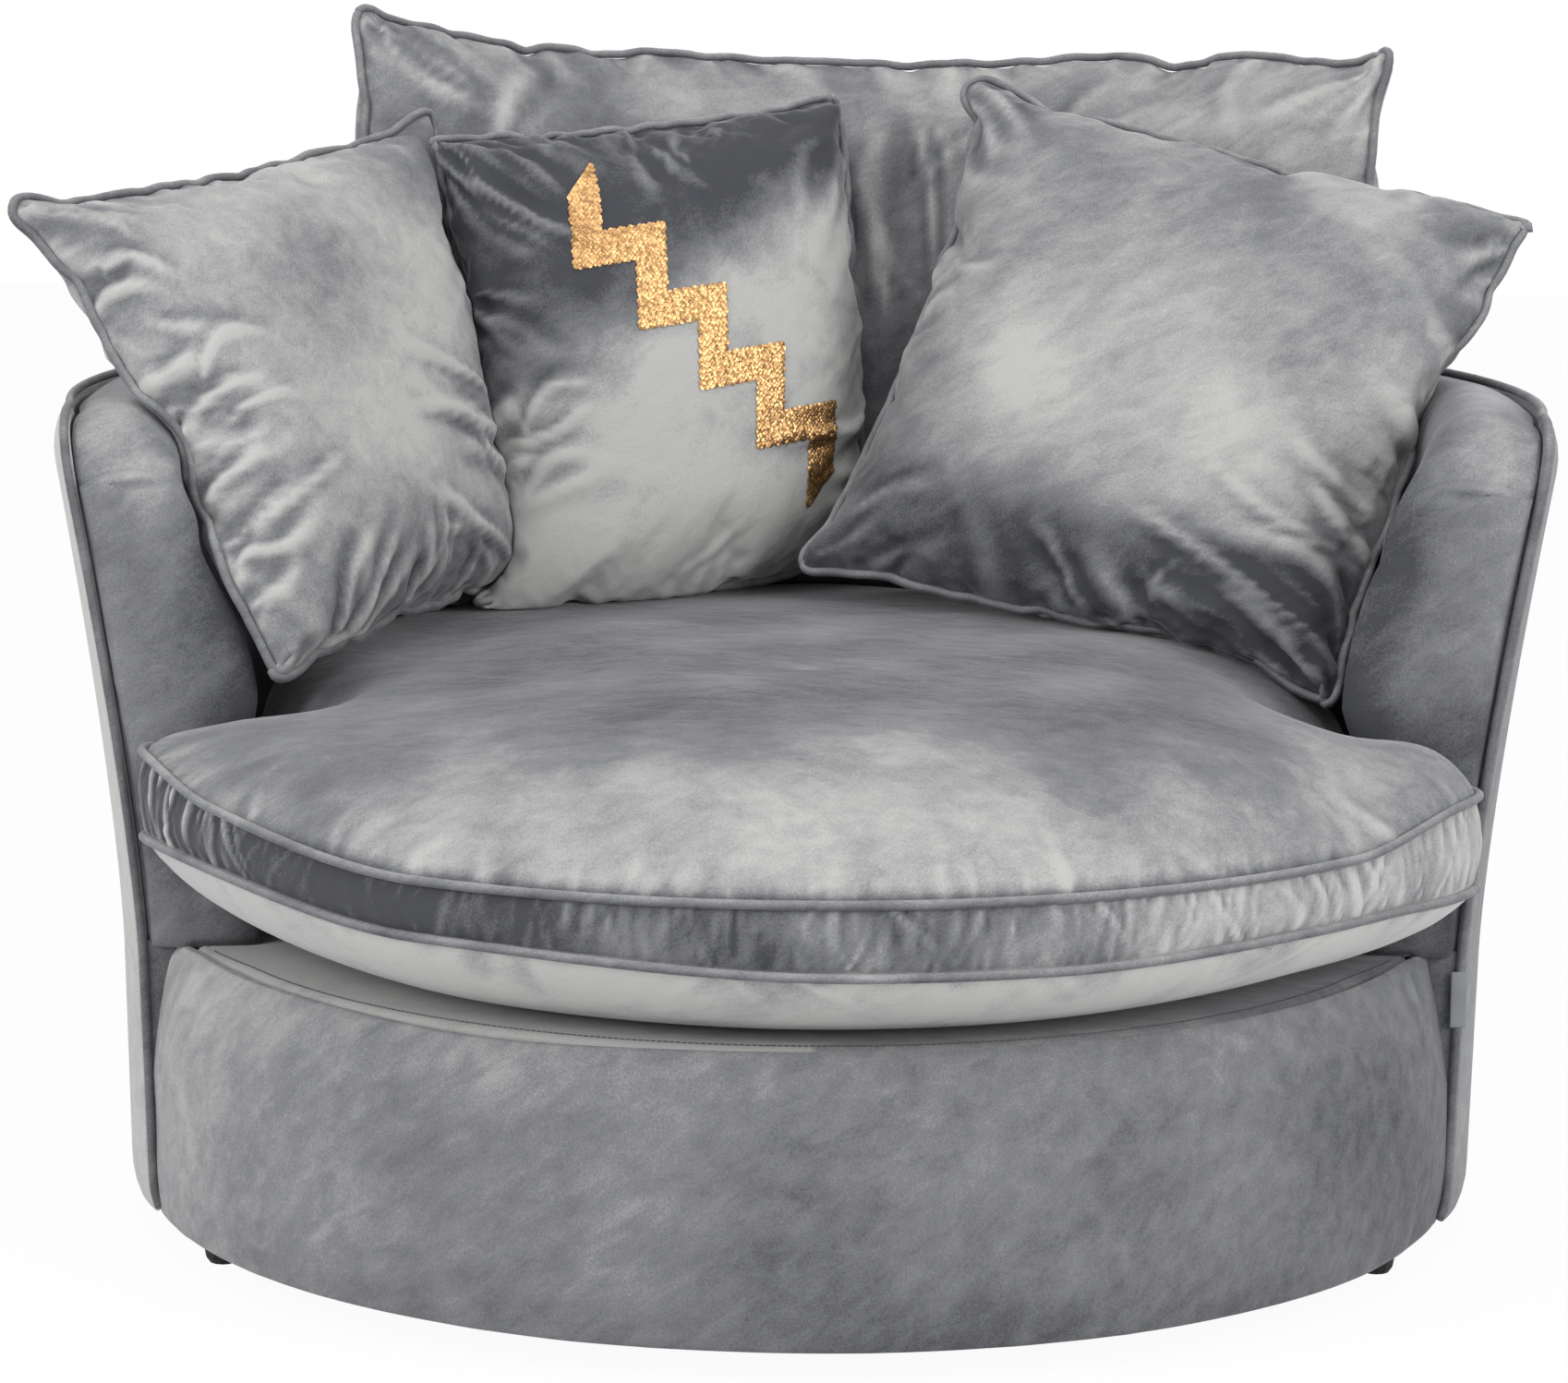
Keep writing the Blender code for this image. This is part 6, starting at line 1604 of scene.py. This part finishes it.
def add_cushion(name, body, node, slot, cells, sizes, place, neighbours, seed, tone_and_light_of, folds_of=None):
    """A filled knife-edged cushion with piping round its seam."""
    depth = bpy.context.scene.armchair_sewing.pucker_depth
    radius = bpy.context.scene.armchair_sewing.piping_radius
    width, height, thickness, corner, pull, unit = sizes
    pillow = Pillow(*cells)
    points = formed(pillow, width, height, thickness, corner, pull, seed)
    if unit:
        points[:, 0] /= width
        points[:, 2] /= height
        # The half that leans on something is pressed flatter than the half in front
        points[:, 1] *= np.where(points[:, 1] > 0.0, SCATTER_REAR_SHARE, SCATTER_FRONT_SHARE)
    points = place(points)
    if volume_sign(points - points.mean(axis=0), pillow.faces) < 0.0:
        pillow.faces = pillow.faces[:, ::-1]
    along, away, total = seam_distances(pillow, width, height)
    along = along + (pillow.side > 0) * 0.37
    puckers = pleats(along, away, total, seed + 1, 0.020, 0.026, depth * 0.8, 0.0055, 0.5)
    puckers += pleats(along, away, total, seed + 2, 0.060, 0.075, depth * 1.1, 0.0130, 0.5)
    if folds_of:
        puckers += creases(pillow, seed + 3, folds_of)
    puckers *= smooth(away / 0.008)
    points = points + point_normals(points, pillow.faces) * puckers[:, None]
    on_seam = np.zeros(len(points), bool)
    on_seam[pillow.seam] = True
    gaps = np.where(on_seam, 2.0 * radius - 0.0005, 0.0010)
    points = press_clear(points, pillow.faces, [tree_of(other) for other in neighbours], gaps)
    # Painted shade on the puckers and creases: their ridges lighter, their hollows darker
    tone = tone_and_light_of(pillow, points) + 0.30 * np.clip(puckers / depth, -1.2, 1.2)
    piece = new_piece(name, points, pillow.faces, (), tone, place=False)
    soft = piece.modifiers.new("soft", "SUBSURF")
    soft.levels = soft.render_levels = 1
    piece = bake(piece)
    piece.data.shade_smooth()
    finish_piece(piece, body, slot, velvet(), node)
    path = seam_path(pillow, points, radius * 0.72)
    return [piece, add_piping(name + "_piping", path, True, body, node + "_piping", 0.38)]


def eased(ring):
    """Points or directions round a ring, each averaged with its two neighbours."""
    return (np.roll(ring, 1, axis=0) + 2.0 * ring + np.roll(ring, -1, axis=0)) / 4.0


def seam_path(pillow, points, distance):
    """The path of a cushion's piping, the given distance outside its seam."""
    seam = points[pillow.seam]
    inner = points.mean(axis=0)
    next_in = np.zeros_like(seam)
    ring = {int(vertex): i for i, vertex in enumerate(pillow.seam)}
    for pair in edge_pairs(pillow.faces):
        for a, b in (pair, pair[::-1]):
            if int(a) in ring and int(b) not in ring:
                step = points[b] - points[a]
                next_in[ring[int(a)]] += step / np.linalg.norm(step)
    corner = np.linalg.norm(next_in, axis=1) < 1e-6
    next_in[corner] = (inner - seam)[corner]
    for _ in range(3):
        next_in = eased(next_in)
    tangent = np.roll(seam, -1, axis=0) - np.roll(seam, 1, axis=0)
    tangent /= np.maximum(np.linalg.norm(tangent, axis=1, keepdims=True), 1e-9)
    out = -next_in + tangent * np.einsum("ij,ij->i", next_in, tangent)[:, None]
    out /= np.maximum(np.linalg.norm(out, axis=1, keepdims=True), 1e-9)
    return eased(eased(seam + out * distance))


def creases(pillow, seed, groups):
    """Ridges pressed into a cushion's front: start, end, count, spread, width and height, in u and v."""
    rng = np.random.default_rng(seed)
    field = np.zeros(len(pillow.u))
    flat = np.column_stack([pillow.u, pillow.v])
    for start, end, count, fan, wide, high in groups:
        start, end = np.array(start), np.array(end)
        for _ in range(count):
            shift = rng.normal(0.0, fan, 2)
            a = start + shift + rng.normal(0.0, 0.2 * fan, 2)
            b = end + shift + rng.normal(0.0, 0.3 * fan, 2)
            length = np.linalg.norm(b - a)
            along = (b - a) / length
            side = np.array((-along[1], along[0]))
            t = (flat - a) @ along / length
            bow = rng.normal(0.0, 0.05) * np.sin(math.pi * np.clip(t, 0.0, 1.0))
            narrow = wide * rng.uniform(0.6, 1.4) * (0.6 + 0.6 * np.clip(t, 0.0, 1.0))
            x = ((flat - a) @ side - bow) / narrow
            taper = smooth((t + 0.1) / 0.25) * smooth((1.1 - t) / 0.5)
            ridge = np.exp(-(x**2)) - 0.7 * np.exp(-((x - 1.6) ** 2)) - 0.3 * np.exp(-((x + 1.7) ** 2))
            field += high * rng.uniform(0.4, 1.0) * ridge * taper
    return field * (pillow.side <= 0.0)


BACK_CREASES = (
    ((-0.98, 0.95), (-0.70, 0.55), 6, 0.05, 0.018, 0.0030),
    ((0.98, 0.95), (0.72, 0.60), 6, 0.05, 0.018, 0.0030),
    ((0.10, 0.10), (0.05, 0.75), 5, 0.07, 0.018, 0.0040),
    ((0.16, 0.30), (0.42, 0.80), 4, 0.08, 0.022, 0.0030),
    ((-0.75, 0.20), (-0.60, 0.75), 3, 0.06, 0.022, 0.0025),
)
LEFT_CREASES = (
    ((-0.98, 0.50), (-0.68, 0.42), 6, 0.10, 0.026, 0.0045),
    ((-0.98, 0.05), (-0.58, 0.10), 9, 0.14, 0.026, 0.0050),
    ((-0.98, -0.45), (-0.52, -0.30), 9, 0.14, 0.026, 0.0055),
    ((-0.60, -0.97), (-0.25, -0.50), 8, 0.12, 0.030, 0.0060),
    ((0.05, -0.97), (0.10, -0.50), 7, 0.15, 0.030, 0.0055),
    ((0.70, -0.20), (0.25, -0.05), 7, 0.14, 0.030, 0.0050),
    ((0.80, -0.75), (0.30, -0.55), 5, 0.12, 0.030, 0.0055),
    ((-0.92, 0.92), (-0.62, 0.70), 4, 0.05, 0.026, 0.0035),
)
CENTRE_CREASES = (
    ((-0.92, 0.88), (-0.40, 0.40), 9, 0.09, 0.030, 0.0060),
    ((-0.60, 0.95), (-0.25, 0.55), 5, 0.09, 0.030, 0.0050),
    ((-0.98, 0.25), (-0.65, 0.10), 6, 0.12, 0.026, 0.0040),
    ((-0.98, -0.35), (-0.60, -0.20), 6, 0.12, 0.026, 0.0045),
    ((0.05, 0.97), (0.12, 0.65), 6, 0.14, 0.030, 0.0045),
    ((0.95, 0.75), (0.60, 0.40), 4, 0.09, 0.032, 0.0035),
    ((0.95, -0.50), (0.45, -0.45), 7, 0.12, 0.030, 0.0055),
    ((-0.20, -0.97), (-0.05, -0.72), 6, 0.18, 0.026, 0.0035),
)
RIGHT_CREASES = (
    ((0.95, -0.85), (0.35, -0.55), 10, 0.12, 0.032, 0.0065),
    ((0.98, -0.35), (0.55, -0.22), 7, 0.12, 0.030, 0.0050),
    ((0.30, -0.97), (0.15, -0.70), 7, 0.17, 0.030, 0.0045),
    ((-0.92, 0.92), (-0.62, 0.55), 6, 0.07, 0.026, 0.0035),
    ((-0.98, 0.05), (-0.72, 0.10), 6, 0.13, 0.028, 0.0035),
    ((-0.80, -0.97), (-0.55, -0.72), 4, 0.10, 0.030, 0.0035),
    ((0.95, 0.82), (0.70, 0.62), 4, 0.08, 0.028, 0.0030),
)


def back_tone_and_painted_light(pillow, points):
    # Painted light: the upper edge lighter where the light falls on it; lighter to the right; the waves vary
    # it at random
    tone = 0.42 + 0.16 * smooth((points[:, 2] - 0.86) / 0.08) + 0.14 * smooth((points[:, 0] - 0.15) / 0.25)
    return tone + 0.07 * waves(points, 70, 0.12)


class ARMCHAIR_OT_back_cushion(bpy.types.Operator):
    """Long back cushion bent round the tub, its upper edge sagging between the corners"""

    bl_idname = "armchair.back_cushion"
    bl_label = "Back Cushion"

    def execute(self, context):
        neighbours = [bpy.data.objects["padded_wall"], bpy.data.objects["seat_cushion_cover"]]

        def place(points):
            # The right side is drawn in a little and the upper left corner stands higher
            points = points.copy()
            points[:, 0] -= 0.016 * smooth(points[:, 0] / 0.5) - 0.002 * smooth(-points[:, 0] / 0.5)
            points[:, 2] -= 0.012 * smooth((points[:, 0] - 0.20) / 0.25) * smooth(points[:, 2] / 0.25)
            points[:, 2] += 0.010 * smooth((-points[:, 0] - 0.25) / 0.25) * smooth(points[:, 2] / 0.25)
            return bent_back_place(points) + AXIS

        add_cushion(
            "back_cushion_cover",
            "back_cushion_body",
            "back_cushion",
            "velvet",
            BACK_CELLS,
            (BACK_WIDTH, BACK_HEIGHT, BACK_THICKNESS, BACK_CORNER_R, BACK_PULLS, False),
            place,
            neighbours,
            61,
            back_tone_and_painted_light,
            BACK_CREASES,
        )
        return {"FINISHED"}


def patch(pillow, u, v, reach_u, reach_v):
    """A soft round spot on a cushion."""
    return np.exp(-(((pillow.u - u) / reach_u) ** 2) - ((pillow.v - v) / reach_v) ** 2)


def left_tone_and_painted_light(pillow, points):
    # Partly painted light and shade, partly the pile's own light and dark patches: a light patch in the
    # middle, darker towards the lower edge and at a spot on the left side; the waves vary it at random
    tone = 0.70 + 0.14 * patch(pillow, 0.1, 0.0, 0.6, 0.45) - 0.22 * smooth((-pillow.v - 0.45) / 0.4)
    tone -= 0.16 * patch(pillow, -0.8, 0.2, 0.25, 0.5)
    return tone + 0.08 * waves(points, 71, 0.12)


def centre_tone_and_painted_light(pillow, points):
    u, v = pillow.u, pillow.v
    # Partly painted light and shade, partly the pile's own light and dark patches: light towards the lower
    # left and dark towards the upper right, the lower part lightened against its shadow, a dark spot at the
    # upper right corner; the waves vary it at random
    tone = 0.10 + 0.87 * smooth((0.45 * u - v + 0.50) / 0.50)
    tone += 0.16 * smooth((-v - 0.30) / 0.5) - 0.30 * patch(pillow, 0.75, 0.85, 0.35, 0.25)
    return tone + 0.08 * waves(points, 72, 0.10)


def right_tone_and_painted_light(pillow, points):
    u, v = pillow.u, pillow.v
    # Partly painted light and shade, partly the pile's own light and dark patches: a light band across the
    # middle, much darker towards the lower edge and at a spot above the middle; the waves vary it at random
    tone = 0.62 + 0.30 * patch(pillow, 0.35, -0.12, 0.70, 0.26) - 0.44 * smooth((-v - 0.40) / 0.25)
    tone -= 0.10 * patch(pillow, 0.1, 0.45, 0.35, 0.22)
    return tone + 0.08 * waves(points, 73, 0.14)


class ARMCHAIR_OT_scatter_cushions(bpy.types.Operator):
    """Three piped scatter cushions that lean on the back cushion and on each other"""

    bl_idname = "armchair.scatter_cushions"
    bl_label = "Scatter Cushions"

    def execute(self, context):
        carriers = ("padded_wall", "seat_cushion_cover", "back_cushion_cover")
        neighbours = [bpy.data.objects[name] for name in carriers]
        for side, corners, pulls, tone_and_light_of, folds, seed in (
            ("left", LEFT_CORNERS, LEFT_PULLS, left_tone_and_painted_light, LEFT_CREASES, 101),
            ("centre", CENTRE_CORNERS, CENTRE_PULLS, centre_tone_and_painted_light, CENTRE_CREASES, 111),
            ("right", RIGHT_CORNERS, RIGHT_PULLS, right_tone_and_painted_light, RIGHT_CREASES, 121),
        ):
            lay = patch_place(corners)

            def place(points, lay=lay):
                return lay(points) + AXIS

            made = add_cushion(
                side + "_scatter_cover",
                side + "_scatter_body",
                side + "_scatter_cushion",
                "velvet" if side == "centre" else "velvet_light",
                SCATTER_CELLS,
                (SCATTER_SIZE, SCATTER_SIZE, SCATTER_THICKNESS, SCATTER_CORNER_R, pulls, True),
                place,
                neighbours,
                seed,
                tone_and_light_of,
                folds,
            )
            neighbours = neighbours + made
        return {"FINISHED"}


# Sequins


def sequin_tree(name):
    """Geometry Nodes: overlapping discs on the points of a mesh, each tilted a little."""
    tree, given = new_tree(name, {"Radius": 0.0027, "Seed": 7})
    size = {"Vertices": 8, "Radius Top": 0.0004, "Radius Bottom": given["Radius"], "Depth": 0.0005}
    outward = {"data_type": "FLOAT_VECTOR"}
    outward = add_node(tree, "GeometryNodeInputNamedAttribute", {"Name": "outward"}, **outward)
    aligned = add_node(tree, "FunctionNodeAlignRotationToVector", {"Vector": outward}, axis="Z")
    tilt = {"Min": (-SEQUIN_TILT, -SEQUIN_TILT, 0.0), "Max": (SEQUIN_TILT, SEQUIN_TILT, 6.2)}
    tilt["Seed"] = given["Seed"]
    tilts = add_node(tree, "FunctionNodeRandomValue", tilt, data_type="FLOAT_VECTOR")
    tilted = {"Rotation": aligned, "Rotate By": add_node(tree, "FunctionNodeEulerToRotation", {0: tilts})}
    discs = {
        "Points": given["Geometry"],
        "Instance": add_node(tree, "GeometryNodeMeshCone", size, fill_type="NONE"),
        "Rotation": add_node(tree, "FunctionNodeRotateRotation", tilted, rotation_space="LOCAL"),
    }
    shade = {
        "Geometry": add_node(tree, "GeometryNodeInstanceOnPoints", discs),
        "Name": "shift",
        "Value": add_node(tree, "FunctionNodeRandomValue", {"Seed": 3}, 1, data_type="FLOAT"),
    }
    domain = {"data_type": "FLOAT", "domain": "INSTANCE"}
    stored = add_node(tree, "GeometryNodeStoreNamedAttribute", shade, **domain)
    return end_tree(tree, stored, given["Material"])


class ARMCHAIR_OT_sequins(bpy.types.Operator):
    """Zigzag band of gold sequins across the centre cushion"""

    bl_idname = "armchair.sequins"
    bl_label = "Sequins"

    def execute(self, context):
        settings = context.scene.armchair_sequins
        cover = bpy.data.objects["centre_scatter_cover"]
        tree = tree_of(cover)
        lay = patch_place(CENTRE_CORNERS)
        start, end = np.array(BAND_START), np.array(BAND_END)
        along = (end - start) / np.linalg.norm(end - start)
        side = np.array((-along[1], along[0]))
        length = np.linalg.norm(end - start) * SCATTER_SIZE / 2.0
        rows = int(length / settings.pitch)
        across = int(BAND_WIDTH * SCATTER_SIZE / settings.pitch)
        places, outward = [], []
        for i in range(rows + 1):
            share = i / rows
            shift = BAND_SWING * (2.0 * abs(share * BAND_TURNS % 2.0 - 1.0) - 1.0)
            for j in range(across + 1):
                # Every other row is shifted by half a sequin
                aside = shift + BAND_WIDTH * ((j + 0.5 * (i % 2)) / across - 0.5) * 1.6
                u, v = (start + (end - start) * share + side * aside) / 2.0
                inner, outer = (lay(np.array([[u, y, v]]))[0] + AXIS for y in (0.0, -1.0))
                direction = Vector(outer - inner).normalized()
                hit, normal, _, _ = tree.ray_cast(Vector(inner) + direction * 0.3, -direction)
                if hit is None:
                    raise RuntimeError("a sequin missed the cushion")
                places.append(hit + normal * 0.0012)
                outward.append(normal[:])
        data = bpy.data.meshes.new("sequin_band")
        data.from_pydata([p[:] for p in places], [], [])
        layer = data.attributes.new("outward", "FLOAT_VECTOR", "POINT")
        layer.data.foreach_set("vector", np.array(outward, np.float32).reshape(-1))
        carrier = new_object("sequin_band", data)
        foil = use_material("anodised_sequin_foil", anodised_foil)
        use_tree(carrier, "sewn_sequins", sequin_tree, Radius=settings.radius, Material=foil)
        finish_piece(bake(carrier), "centre_scatter_body", "sequin_gold", foil, "sequin_motif")
        return {"FINISHED"}


# Feet and underside


# Words in a solid's name that tell its finish; the first finish with a word in the name is used
WORDS = {
    "moulded_polypropylene": ("foot",),
    "zinc_plated_steel": ("cage", "bolt", "plate", "pin", "ball"),
    "elastic_webbing": ("web",),
    "spunbond_dust_cloth": ("dust",),
    "birch_plywood": ("board", "ring", "rim_rail"),
    "sawn_pine": ("rail", "post"),
}


class ARMCHAIR_OT_underside(bpy.types.Operator):
    """Finishes of the feet, the swivel base, the bearing and the frame inside the tub"""

    bl_idname = "armchair.underside"
    bl_label = "Base and Underside"

    def execute(self, context):
        for name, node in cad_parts.items():
            if node.hide_render:
                continue
            chosen = [key for key, words in WORDS.items() if any(word in name for word in words)]
            if not chosen:
                raise RuntimeError(f"{name} has no finish")
            node.data.materials.clear()
            node.data.materials.append(finish(chosen[0]))
        return {"FINISHED"}


# Studio


class ARMCHAIR_OT_studio(bpy.types.Operator):
    """White floor and surround, soft lights and the camera"""

    bl_idname = "armchair.studio"
    bl_label = "Studio"

    def execute(self, context):
        settings = context.scene.armchair_studio
        scene = context.scene
        scene.view_settings.view_transform = "Standard"
        world = bpy.data.worlds.new("white_surround")
        world.use_nodes = True
        scene.world = world
        tree = world.node_tree
        tree.nodes.clear()
        path = add_node(tree, "ShaderNodeLightPath", out=None)
        shown = path["Is Camera Ray"]
        for ray in ("Is Glossy Ray", "Is Transmission Ray"):
            shown = add_node(tree, "ShaderNodeMath", {0: shown, 1: path[ray]}, operation="MAXIMUM")
        skies = {0: shown}
        for number, strength in ((1, settings.sky_strength), (2, 1.0)):
            sky = {"Color": WHITE, "Strength": strength}
            skies[number] = add_node(tree, "ShaderNodeBackground", sky)
        mixed = add_node(tree, "ShaderNodeMixShader", skies)
        add_node(tree, "ShaderNodeOutputWorld", {"Surface": mixed}, None)
        self.add_floor()
        for name, power, place, target, size in (
            ("overhead_softbox", settings.key_power, (0.2, -1.1, 3.1), (0.0, -0.1, 0.4), 2.6),
            ("left_softbox", settings.fill_power, (-3.0, -2.2, 1.9), (0.0, 0.0, 0.5), 1.8),
            ("right_softbox", settings.fill_power, (3.0, -2.4, 1.7), (0.0, 0.0, 0.5), 1.8),
        ):
            light = bpy.data.lights.new(name, "AREA")
            light.energy = power
            light.size = size
            lamp = new_object(name, light)
            lamp.location = place
            lamp.rotation_euler = (Vector(target) - Vector(place)).to_track_quat("-Z", "Y").to_euler()
        self.add_camera(context)
        return {"FINISHED"}

    def add_floor(self):
        data = bpy.data.meshes.new("studio_floor")
        corners = [(x * FLOOR_REACH, y * FLOOR_REACH, 0.0) for x, y in ((-1, -1), (1, -1), (1, 1), (-1, 1))]
        data.from_pydata(corners, [], [(0, 1, 2, 3)])
        floor = new_object("studio_floor", data)
        # Matt white sheeting: it keeps a soft shadow, and shows the camera a plain white
        made = bpy.data.materials.new("matt_white_floor")
        made.use_nodes = True
        tree = made.node_tree
        shader = tree.nodes["Principled BSDF"]
        feed(tree, shader, {"Base Color": (0.96, 0.96, 0.96, 1.0), "Roughness": 0.9})
        seen = {0: add_node(tree, "ShaderNodeLightPath", out="Is Camera Ray"), 1: 0.95}
        layers = {
            0: add_node(tree, "ShaderNodeMath", seen, operation="MULTIPLY"),
            1: shader.outputs[0],
            2: add_node(tree, "ShaderNodeEmission", {"Color": WHITE, "Strength": 1.0}),
        }
        mixed = add_node(tree, "ShaderNodeMixShader", layers)
        feed(tree, tree.nodes["Material Output"], {"Surface": mixed})
        data.materials.append(made)

    def add_camera(self, context):
        camera = bpy.data.cameras.new("photo_camera")
        camera.lens = FOCAL_LENGTH_PX / PHOTO_WIDTH_PX * SENSOR_MM
        camera.sensor_width = SENSOR_MM
        viewer = new_object("photo_camera", camera)
        forward = Vector((0.0, math.cos(CAMERA_PITCH), -math.sin(CAMERA_PITCH)))
        turn = forward.to_track_quat("-Z", "Y").to_matrix().to_4x4()
        turn = turn @ Matrix.Rotation(CAMERA_ROLL, 4, "Z")
        turn.translation = AXIS + CAMERA_PLACE
        viewer.matrix_world = turn
        context.scene.camera = viewer


class ARMCHAIR_PT_panel(bpy.types.Panel):
    """Lists the armchair's pieces"""

    bl_idname = "ARMCHAIR_PT_panel"
    bl_label = "Armchair"
    bl_space_type = "VIEW_3D"
    bl_region_type = "UI"
    bl_category = "Armchair"

    def draw(self, context):
        layout = self.layout
        for operator in OPERATORS:
            layout.operator(operator.bl_idname)
        for name, group in SETTINGS.items():
            box = layout.box()
            for key in group.__annotations__:
                box.prop(getattr(context.scene, name), key)


OPERATORS = (
    ARMCHAIR_OT_studio,
    ARMCHAIR_OT_outer_panel,
    ARMCHAIR_OT_front_apron,
    ARMCHAIR_OT_padded_wall,
    ARMCHAIR_OT_deck,
    ARMCHAIR_OT_rim_piping,
    ARMCHAIR_OT_seat_cushion,
    ARMCHAIR_OT_back_cushion,
    ARMCHAIR_OT_scatter_cushions,
    ARMCHAIR_OT_sequins,
    ARMCHAIR_OT_underside,
)

SETTINGS = {
    "armchair_velvet": VelvetSettings,
    "armchair_sewing": SewingSettings,
    "armchair_cushions": CushionSettings,
    "armchair_sequins": SequinSettings,
    "armchair_studio": StudioSettings,
}


def register():
    for group in SETTINGS.values():
        bpy.utils.register_class(group)
    for name, group in SETTINGS.items():
        setattr(bpy.types.Scene, name, PointerProperty(type=group))
    for operator in OPERATORS:
        bpy.utils.register_class(operator)
    bpy.utils.register_class(ARMCHAIR_PT_panel)


def unregister():
    bpy.utils.unregister_class(ARMCHAIR_PT_panel)
    for operator in reversed(OPERATORS):
        bpy.utils.unregister_class(operator)
    for name, group in SETTINGS.items():
        delattr(bpy.types.Scene, name)
        bpy.utils.unregister_class(group)


def main():
    register()
    bpy.ops.armchair.studio()
    bpy.ops.armchair.outer_panel()
    bpy.ops.armchair.front_apron()
    bpy.ops.armchair.padded_wall()
    bpy.ops.armchair.deck()
    bpy.ops.armchair.rim_piping()
    bpy.ops.armchair.seat_cushion()
    bpy.ops.armchair.back_cushion()
    bpy.ops.armchair.scatter_cushions()
    bpy.ops.armchair.sequins()
    bpy.ops.armchair.underside()


if __name__ == "__main__":
    main()
